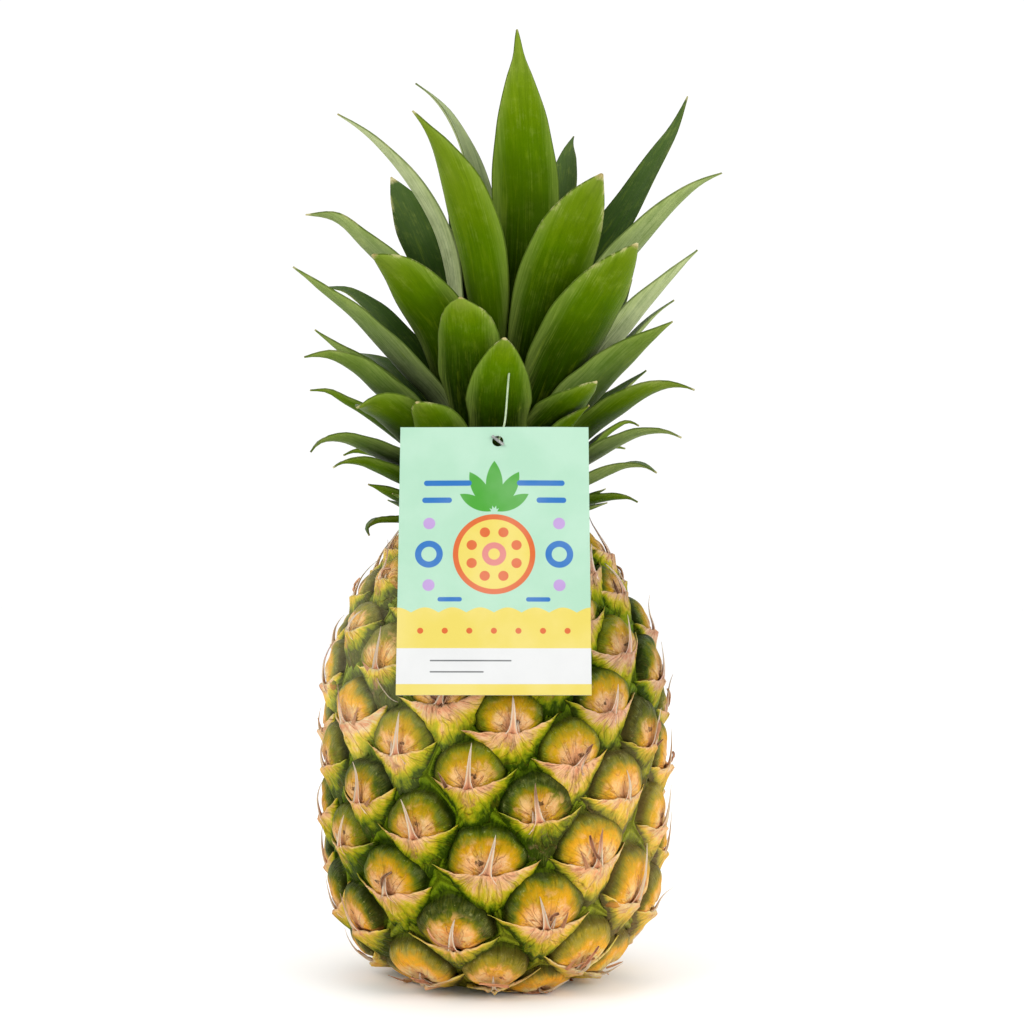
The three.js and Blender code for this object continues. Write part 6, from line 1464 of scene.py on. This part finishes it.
    # scaly brown patch below the spine on some
    patch = g.math("SQRT", g.math("ADD", g.math("MULTIPLY", u, u), g.math("MULTIPLY", g.math("ADD", v, 4.2), g.math("ADD", v, 4.2))))
    patch = g.math("SUBTRACT", 1.0, g.step(g.math("ADD", patch, g.math("MULTIPLY", g.math("SUBTRACT", cloud, 0.5), 4.0)), 1.2, 2.6))
    scaly = g.math("MULTIPLY", g.math("MULTIPLY", patch, g.step(r1, 0.58, 0.66)), g.step(g.math("ADD", g.math("MULTIPLY", speck, 0.6), g.math("MULTIPLY", fibf, 0.4)), 0.42, 0.56))
    body = g.mix(g.math("MULTIPLY", scaly, 0.6), body, (*srgb(150, 100, 72), 1))
    # grey scuffs on some
    scuff = g.math("MULTIPLY", g.step(g.math("ADD", g.math("MULTIPLY", speck, 0.4), g.math("MULTIPLY", cloud, 0.6)), 0.50, 0.64), g.math("MULTIPLY", g.step(r2, 0.55, 0.8), g.math("MULTIPLY", g.step(blot, 0.50, 0.62), 0.45)))
    body = g.mix(scuff, body, (*srgb(126, 96, 74), 1))
    # spine: v holds the way up it, u the way across
    across = g.math("ABSOLUTE", u)
    sp = g.ramp(g.math("ADD", v, g.math("MULTIPLY", g.math("SUBTRACT", blot, 0.5), 0.25)), [
        (0.0, srgb(232, 180, 138)), (0.14, srgb(228, 160, 118)), (0.28, srgb(238, 188, 148)), (0.5, srgb(248, 212, 174)), (0.75, srgb(254, 234, 200)), (1.0, srgb(254, 242, 208))])
    # a darker channel down the middle, partly the spine's own colour and partly painted shade in its hollow; paler
    # margins, partly its own colour and partly painted highlight
    chan = g.math("MULTIPLY", g.math("SUBTRACT", 1.0, g.step(across, 0.20, 0.62)), g.math("SUBTRACT", 1.0, g.step(v, 0.75, 0.98)))
    sp = g.mix(g.math("MULTIPLY", chan, 0.50), sp, (*srgb(190, 120, 86), 1))
    sp = g.mix(g.math("MULTIPLY", g.step(across, 0.62, 0.92), 0.8), sp, (*srgb(255, 228, 200), 1))
    rootred = g.math("MULTIPLY", g.math("SUBTRACT", 1.0, g.step(v, 0.10, 0.34)), g.step(cloud, 0.44, 0.58))
    sp = g.mix(g.math("MULTIPLY", rootred, 0.5), sp, (*srgb(186, 104, 70), 1))
    dark = g.math("MULTIPLY", g.step(r1, 0.78, 0.84), g.step(v, 0.25, 0.85))
    sp = g.mix(g.math("MULTIPLY", dark, 0.8), sp, (*srgb(120, 66, 36), 1))
    # dried slivers
    dr = g.mix(g.step(cloud, 0.35, 0.65), (*srgb(78, 50, 36), 1), (*srgb(150, 104, 74), 1))
    dr = g.mix(g.math("MULTIPLY", g.step(across, 0.55, 0.95), 0.7), dr, (*srgb(196, 158, 126), 1))
    dr = g.mix(g.math("MULTIPLY", g.step(r2, 0.45, 0.7), 0.6), dr, (*srgb(206, 152, 108), 1))
    col = g.mix(g.step(kind, 1.2, 1.8), body, sp)
    col = g.mix(g.step(kind, 2.2, 2.8), col, dr)
    dry = g.math("MULTIPLY", g.math("SUBTRACT", 1.0, g.step(hgt, 0.02, 0.15)), g.step(blot, 0.35, 0.62))
    col = g.mix(g.math("MULTIPLY", dry, 0.6), col, (*srgb(196, 124, 56), 1))
    g.link(col, bsdf.inputs["Base Color"])
    cavity = g.math("ADD", 0.68, g.math("MULTIPLY", g.math("ADD", g.math("MULTIPLY", cloud, 0.65), g.math("MULTIPLY", fib, 0.35)), 0.60))
    col = ripe(g, col, pos, hgt, dry=True)
    col = g.mix(g.math("SUBTRACT", 1.0, g.step(kind, 1.2, 1.8)), col, g.mix(1.0, col, g.vec(cavity, cavity, cavity), "MULTIPLY"))
    g.link(col, bsdf.inputs["Base Color"])
    bsdf.inputs["Subsurface Weight"].default_value = 0.06
    bsdf.inputs["Subsurface Radius"].default_value = (0.0020, 0.0011, 0.0005)
    bsdf.inputs["Subsurface Scale"].default_value = 0.6
    g.link(g.math("ADD", 0.42, g.math("MULTIPLY", blot, 0.22)), bsdf.inputs["Roughness"])
    bsdf.inputs["Specular IOR Level"].default_value = 0.08
    bsdf.inputs["Specular Tint"].default_value = (1.0, 0.86, 0.25, 1)
    hh = g.math("SUBTRACT", g.math("ADD", g.math("MULTIPLY", fib, 0.85), g.math("MULTIPLY", fibf, 0.4)), g.math("MULTIPLY", fold, 0.6))
    nrm = g.bump(g.math("ADD", hh, g.math("MULTIPLY", cloud, 0.6)), 0.75, 0.0012)
    nrm = g.bump(speck, 0.25, 0.0005, nrm)
    g.link(nrm, bsdf.inputs["Normal"])
    return m


def leaf_material():
    TONE[0] = 0.82
    m, nt, bsdf = material("leaf")
    g = N(nt)
    s, x, side, r = g.attr("shape_a")
    tipdry, bright, pale, hw = g.attr("shape_b")
    pos = g.position()
    xmm = g.math("MULTIPLY", g.math("MULTIPLY", x, hw), 15.0)
    seed = g.math("MULTIPLY", r, 61.0)
    line = g.noise(g.vec(g.math("MULTIPLY", xmm, 2.6), g.math("MULTIPLY", s, 5.0), seed), 1.0, 4.0, 0.6)
    linef = g.noise(g.vec(g.math("MULTIPLY", xmm, 8.0), g.math("MULTIPLY", s, 9.0), seed), 1.0, 2.0, 0.5)
    blot = g.noise(pos, 38.0, 4.0, 0.6)
    blotf = g.noise(pos, 210.0, 4.0, 0.65)
    ax = g.math("ABSOLUTE", x)
    # outer face, darker towards the base: painted shade where the leaves crowd together
    base = g.ramp(g.math("ADD", s, g.math("MULTIPLY", g.math("SUBTRACT", blot, 0.5), 0.35)), [
        (0.0, srgb(12, 24, 0)), (0.26, srgb(24, 42, 0)), (0.44, srgb(44, 68, 0)), (0.56, srgb(62, 90, 0)), (0.66, srgb(76, 108, 0)), (0.76, srgb(89, 118, 3)), (0.87, srgb(102, 129, 16)), (0.97, srgb(120, 140, 46))])
    dull = g.ramp(g.math("ADD", s, g.math("MULTIPLY", g.math("SUBTRACT", blot, 0.5), 0.35)), [
        (0.0, srgb(12, 24, 0)), (0.28, srgb(32, 52, 1)), (0.5, srgb(60, 86, 3)), (0.7, srgb(80, 108, 8)), (0.95, srgb(100, 128, 28))])
    ab = g.mix(bright, dull, base)
    frost = g.math("ADD", g.math("MULTIPLY", g.math("SUBTRACT", line, 0.5), 1.6), g.math("MULTIPLY", g.math("SUBTRACT", blotf, 0.5), 0.9))
    frost = g.math("MULTIPLY", pale, g.math("ADD", g.math("ADD", 0.78, g.math("MULTIPLY", g.step(s, 0.45, 0.9), 0.14)), frost), clamp=True)
    ab = g.mix(frost, ab, (*srgb(190, 200, 150), 1))
    # inner face
    ad = g.ramp(g.math("ADD", s, g.math("MULTIPLY", g.math("SUBTRACT", blot, 0.5), 0.4)), [
        (0.0, srgb(40, 62, 20)), (0.25, srgb(26, 44, 12)), (0.6, srgb(46, 68, 28)), (0.9, srgb(76, 98, 50))])
    ad = g.mix(g.math("MULTIPLY", g.math("MULTIPLY", g.step(pale, 0.5, 0.95), frost), 0.85), ad, (*srgb(176, 190, 136), 1))
    col = g.mix(g.step(side, 0.35, 0.65), ab, ad)
    # long fine lines, and a faint pale bloom that grows towards the tip: partly waxy bloom, partly painted sheen
    col = g.mix(g.math("MULTIPLY", g.step(line, 0.5, 0.72), 0.08), col, (*srgb(124, 154, 4), 1))
    col = g.mix(g.math("MULTIPLY", g.math("SUBTRACT", 1.0, g.step(linef, 0.3, 0.5)), 0.10), col, (*srgb(22, 50, 6), 1))
    bloom = g.math("MULTIPLY", g.step(g.math("ADD", g.math("MULTIPLY", blotf, 0.6), g.math("MULTIPLY", line, 0.4)), 0.50, 0.68), g.math("ADD", 0.06, g.math("MULTIPLY", g.step(s, 0.45, 0.95), 0.16)))
    col = g.mix(bloom, col, (*srgb(166, 180, 84), 1))
    # darker smudges, stretched along the blade
    smudge = g.noise(g.vec(g.math("MULTIPLY", xmm, 0.55), g.math("MULTIPLY", s, 7.0), g.math("ADD", seed, 3.0)), 1.0, 4.0, 0.6, 0.6)
    col = g.mix(g.math("MULTIPLY", g.math("SUBTRACT", 1.0, g.step(smudge, 0.36, 0.52)), 0.20), col, (*srgb(52, 84, 2), 1))
    col = g.mix(g.math("MULTIPLY", g.step(smudge, 0.54, 0.70), 0.12), col, (*srgb(138, 160, 30), 1))
    # the outer face turns paler and greyer towards its margins, partly a frosted margin and partly painted sheen, and
    # the margins end in a thin darker line
    margin_sheen = g.math("MULTIPLY", g.step(g.math("ADD", ax, g.math("MULTIPLY", g.math("SUBTRACT", line, 0.5), 0.5)), 0.55, 1.05), g.math("SUBTRACT", 1.0, g.step(side, 0.35, 0.65)))
    col = g.mix(g.math("MULTIPLY", margin_sheen, 0.30), col, (*srgb(156, 176, 84), 1))
    inn = g.math("SUBTRACT", 1.0, g.math("DIVIDE", 0.32, g.math("MAXIMUM", g.math("MULTIPLY", hw, 15.0), 0.6)))
    rimline = g.step(g.math("SUBTRACT", ax, inn), -0.012, 0.008)
    col = g.mix(g.math("MULTIPLY", rimline, 0.62), col, (*srgb(48, 68, 10), 1))
    # scuffed, straw-coloured margins towards some tips
    worn = g.math("MULTIPLY", g.math("MULTIPLY", g.step(g.math("ADD", ax, g.math("MULTIPLY", g.math("SUBTRACT", line, 0.5), 0.5)), 0.76, 1.0), g.step(s, 0.60, 0.96)), g.math("MULTIPLY", g.step(blotf, 0.46, 0.60), tipdry))
    col = g.mix(g.math("MULTIPLY", worn, 0.75), col, (*srgb(196, 192, 132), 1))
    # dry tip
    start = g.math("SUBTRACT", 1.004, g.math("MULTIPLY", tipdry, 0.026))
    dry = g.math("SUBTRACT", g.math("ADD", s, g.math("MULTIPLY", g.math("SUBTRACT", blotf, 0.5), 0.05)), start)
    dryf = g.step(dry, -0.015, 0.012)
    col = g.mix(dryf, col, g.ramp(blotf, [(0.3, srgb(132, 104, 60)), (0.5, srgb(184, 172, 116)), (0.7, srgb(216, 212, 168))]))
    g.link(col, bsdf.inputs["Base Color"])
    g.link(g.math("ADD", 0.30, g.math("ADD", g.math("MULTIPLY", blotf, 0.16), g.math("MULTIPLY", dryf, 0.3))), bsdf.inputs["Roughness"])
    bsdf.inputs["Specular IOR Level"].default_value = 0.015
    bsdf.inputs["Specular Tint"].default_value = (0.85, 1.0, 0.25, 1)
    nrm = g.bump(g.math("ADD", line, g.math("MULTIPLY", linef, 0.4)), 0.35, 0.0004)
    g.link(nrm, bsdf.inputs["Normal"])
    return m


def stalk_material():
    m, nt, bsdf = material("cut_stalk")
    g = N(nt)
    pos = g.position()
    s = g.node("ShaderNodeSeparateXYZ")
    g.link(pos, s.inputs[0])
    r = g.math("SQRT", g.math("ADD", g.math("MULTIPLY", s.outputs[0], s.outputs[0]), g.math("MULTIPLY", s.outputs[1], s.outputs[1])))
    n1 = g.noise(pos, 420.0, 5.0, 0.7)
    n2 = g.noise(pos, 1500.0, 3.0, 0.6)
    rr_ = g.math("ADD", g.math("MULTIPLY", r, 70.0), g.math("MULTIPLY", g.math("SUBTRACT", n1, 0.5), 0.3))
    col = g.ramp(rr_, [(0.0, srgb(176, 140, 92)), (0.45, srgb(206, 180, 130)), (0.75, srgb(170, 136, 88)), (0.93, srgb(96, 66, 38))])
    col = g.mix(g.math("MULTIPLY", g.step(n2, 0.5, 0.7), 0.5), col, (*srgb(112, 80, 48), 1))
    g.link(col, bsdf.inputs["Base Color"])
    bsdf.inputs["Roughness"].default_value = 0.85
    g.link(g.bump(g.math("ADD", n1, n2), 0.7, 0.0008), bsdf.inputs["Normal"])
    return m


def card_material():
    TONE[0] = 0.555
    m, nt, bsdf = material("tag_card")
    g = N(nt)
    X, Y, side, _ = g.attr("shape_a")
    x = g.math("MULTIPLY", X, 100.0)
    y = g.math("MULTIPLY", Y, 100.0)
    pos = g.position()
    paper = g.noise(pos, 1400.0, 3.0, 0.6)
    print_ = g.noise(pos, 60.0, 3.0, 0.5)
    mint, yellow, white = srgb(194, 240, 210), srgb(254, 232, 106), srgb(250, 251, 250)
    col = None

    def disc(cx, cy, rad, soft=0.10):
        dx, dy = g.math("SUBTRACT", x, cx), g.math("SUBTRACT", y, cy)
        d = g.math("SQRT", g.math("ADD", g.math("MULTIPLY", dx, dx), g.math("MULTIPLY", dy, dy)))
        return g.math("SUBTRACT", 1.0, g.step(d, rad - soft, rad + soft))

    def leafm(cx, cy, ang, length, bulge):
        """Pointed leaf shape: where two discs overlap."""
        rad = (length * length / 4 + bulge * bulge) / (2 * bulge)
        off = rad - bulge
        nx, ny = -math.sin(ang), math.cos(ang)
        return g.math("MINIMUM", disc(cx + nx * off, cy + ny * off, rad), disc(cx - nx * off, cy - ny * off, rad))

    def bar(cx, cy, ang, length, wide):
        dx, dy = g.math("SUBTRACT", x, cx), g.math("SUBTRACT", y, cy)
        al = g.math("ADD", g.math("MULTIPLY", dx, math.cos(ang)), g.math("MULTIPLY", dy, math.sin(ang)))
        ac = g.math("SUBTRACT", g.math("MULTIPLY", dy, math.cos(ang)), g.math("MULTIPLY", dx, math.sin(ang)))
        over = g.math("MAXIMUM", g.math("SUBTRACT", g.math("ABSOLUTE", al), length / 2), 0.0)
        d = g.math("SQRT", g.math("ADD", g.math("MULTIPLY", over, over), g.math("MULTIPLY", ac, ac)))
        return g.math("SUBTRACT", 1.0, g.step(d, wide / 2 - 0.1, wide / 2 + 0.1))

    # bands: mint, then yellow with a scalloped edge, a white panel and a yellow foot
    base = g.mix(0.0, (*mint, 1), (*mint, 1))
    scal = g.math("ADD", 63.7, g.math("MULTIPLY", g.math("ABSOLUTE", g.math("SINE", g.math("MULTIPLY", x, math.pi / 9.03))), -1.7))
    base = g.mix(g.step(g.math("SUBTRACT", y, scal), -0.1, 0.1), base, (*yellow, 1))
    base = g.mix(g.step(y, 75.5, 75.7), base, (*white, 1))
    base = g.mix(g.step(y, 87.3, 87.5), base, (*yellow, 1))
    blue, green, orange, coral, lilac = srgb(22, 122, 206), srgb(74, 178, 44), srgb(238, 112, 40), srgb(240, 140, 132), srgb(206, 168, 232)
    art = base
    # a fan of leaves over a round of plain discs
    for k, (ang, ln) in enumerate([(-90, 16.5), (-120, 15.0), (-60, 15.0), (-150, 12.0), (-30, 12.0)]):
        a = math.radians(ang)
        art = g.mix(leafm(0.0 + math.cos(a) * ln * 0.60, 30.0 + math.sin(a) * ln * 0.60, a, ln, ln * 0.17), art, (*green, 1))
    art = g.mix(disc(0.0, 44.0, 13.6), art, (*orange, 1))
    art = g.mix(disc(0.0, 44.0, 11.8), art, (*yellow, 1))
    for k in range(7):
        a = 2 * math.pi * k / 7 - math.pi / 2
        if k == 0:
            continue
    for k in range(8):
        a = 2 * math.pi * (k + 0.5) / 8
        art = g.mix(disc(8.0 * math.cos(a), 44.0 + 8.0 * math.sin(a), 1.7), art, (*orange, 1))
    art = g.mix(disc(0.0, 44.0, 4.0), art, (*coral, 1))
    art = g.mix(disc(0.0, 44.0, 1.9), art, (*yellow, 1))
    for sx in (-1, 1):
        art = g.mix(disc(21.5 * sx, 44.0, 4.6), art, (*blue, 1))
        art = g.mix(disc(21.5 * sx, 44.0, 2.5), art, (*mint, 1))
        art = g.mix(disc(21.5 * sx, 33.5, 2.0), art, (*lilac, 1))
        art = g.mix(disc(21.5 * sx, 54.5, 2.0), art, (*lilac, 1))
        art = g.mix(bar(14.5 * sx, 59.3, 0.0, 6.5, 1.5), art, (*blue, 1))
        art = g.mix(bar(19.0 * sx, 25.5, 0.0, 8.0, 1.9), art, (*blue, 1))
    art = g.mix(bar(15.5 * -1, 19.6, 0.0, 14.0, 1.9), art, (*blue, 1))
    art = g.mix(bar(15.5, 19.6, 0.0, 14.0, 1.9), art, (*blue, 1))
    for k in range(-3, 4):
        art = g.mix(disc(8.0 * k, 69.8, 1.0), art, (*orange, 1))
    # plain rules on the white panel
    art = g.mix(bar(-7.5, 79.7, 0.0, 26.0, 0.5), art, (*srgb(120, 124, 124), 1))
    art = g.mix(bar(-12.0, 83.4, 0.0, 17.0, 0.5), art, (*srgb(120, 124, 124), 1))
    front = g.mix(g.math("MULTIPLY", g.step(print_, 0.35, 0.7), 0.05), art, (1, 1, 1, 1))
    back = g.mix(g.step(paper, 0.3, 0.7), (*srgb(240, 240, 234), 1), (*srgb(250, 250, 246), 1))
    col = g.mix(g.step(side, 0.9, 0.98), back, front)
    g.link(col, bsdf.inputs["Base Color"])
    bsdf.inputs["Roughness"].default_value = 0.55
    bsdf.inputs["Specular IOR Level"].default_value = 0.35
    g.link(g.bump(paper, 0.12, 0.0002), bsdf.inputs["Normal"])
    return m


m_fruit, m_bract, m_leaf = fruit_material(), bract_material(), leaf_material()
fruit_obj.data.materials.append(m_fruit)
for o in bract_objs:
    o.data.materials.append(m_bract)
for o in leaf_objs:
    o.data.materials.append(m_leaf)
crown_obj.data.materials.append(m_leaf)
scar_obj.data.materials.append(stalk_material())
tag_obj.data.materials.append(card_material())
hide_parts("fruit")
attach(fruit_obj, "root")
for o in bract_objs:
    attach(o, "root")


# ------------------------------------------------------------------ floor, light, end
me = bpy.data.meshes.new("floor")
fl_v, fl_f = [], []
span = np.sinh(np.linspace(-1, 1, 41) * 3.2) / math.sinh(3.2) * 12.0
for y in span:
    for x in span:
        fl_v.append((float(x), float(y), 0.0))
for j in range(40):
    for i in range(40):
        a_ = j * 41 + i
        fl_f.append((a_, a_ + 1, a_ + 42, a_ + 41))
me.from_pydata(fl_v, [], fl_f)
me.polygons.foreach_set("use_smooth", np.ones(len(me.polygons), bool))
floor = bpy.data.objects.new("floor", me)
scene.collection.objects.link(floor)
m_floor, nt, bsdf = material("floor")
g = N(nt)
n1 = g.noise(g.position(), 3.0, 2.0)
g.link(g.mix(g.step(n1, 0.3, 0.7), (0.955, 0.955, 0.955, 1), (0.97, 0.97, 0.97, 1)), bsdf.inputs["Base Color"])
bsdf.inputs["Roughness"].default_value = 0.9
floor.data.materials.append(m_floor)

world = bpy.data.worlds.new("studio")
scene.world = world
world.use_nodes = True
world.node_tree.nodes["Background"].inputs[0].default_value = (1.0, 1.0, 1.0, 1)
world.node_tree.nodes["Background"].inputs[1].default_value = 1.05


def area(name, loc, target, size, power, color=(1, 1, 1)):
    d = bpy.data.lights.new(name, "AREA")
    d.shape = "RECTANGLE"
    d.size, d.size_y = size
    d.energy = power
    d.color = color
    o = bpy.data.objects.new(name, d)
    o.location = loc
    o.rotation_euler = (Vector(target) - Vector(loc)).to_track_quat("-Z", "Y").to_euler()
    scene.collection.objects.link(o)


area("key", (-0.95, -1.0, 1.1), (0, 0, 0.16), (0.7, 0.7), 8.5)
area("fill", (1.0, -0.95, 0.7), (0, 0, 0.16), (0.8, 0.8), 9.0)
area("top", (0.0, 0.15, 1.5), (0, 0, 0.15), (1.0, 1.0), 1.2)
area("back", (0.0, 1.6, 0.9), (0, 0, 0.2), (1.6, 0.9), 2.0)
scene.view_settings.view_transform = "Standard"
scene.view_settings.exposure = 0.0

for o in scene.objects:
    if o.type == "MESH" and o.name.startswith("fruit_"):
        print("TRIS", o.name, sum(len(p.vertices) - 2 for p in o.data.polygons))
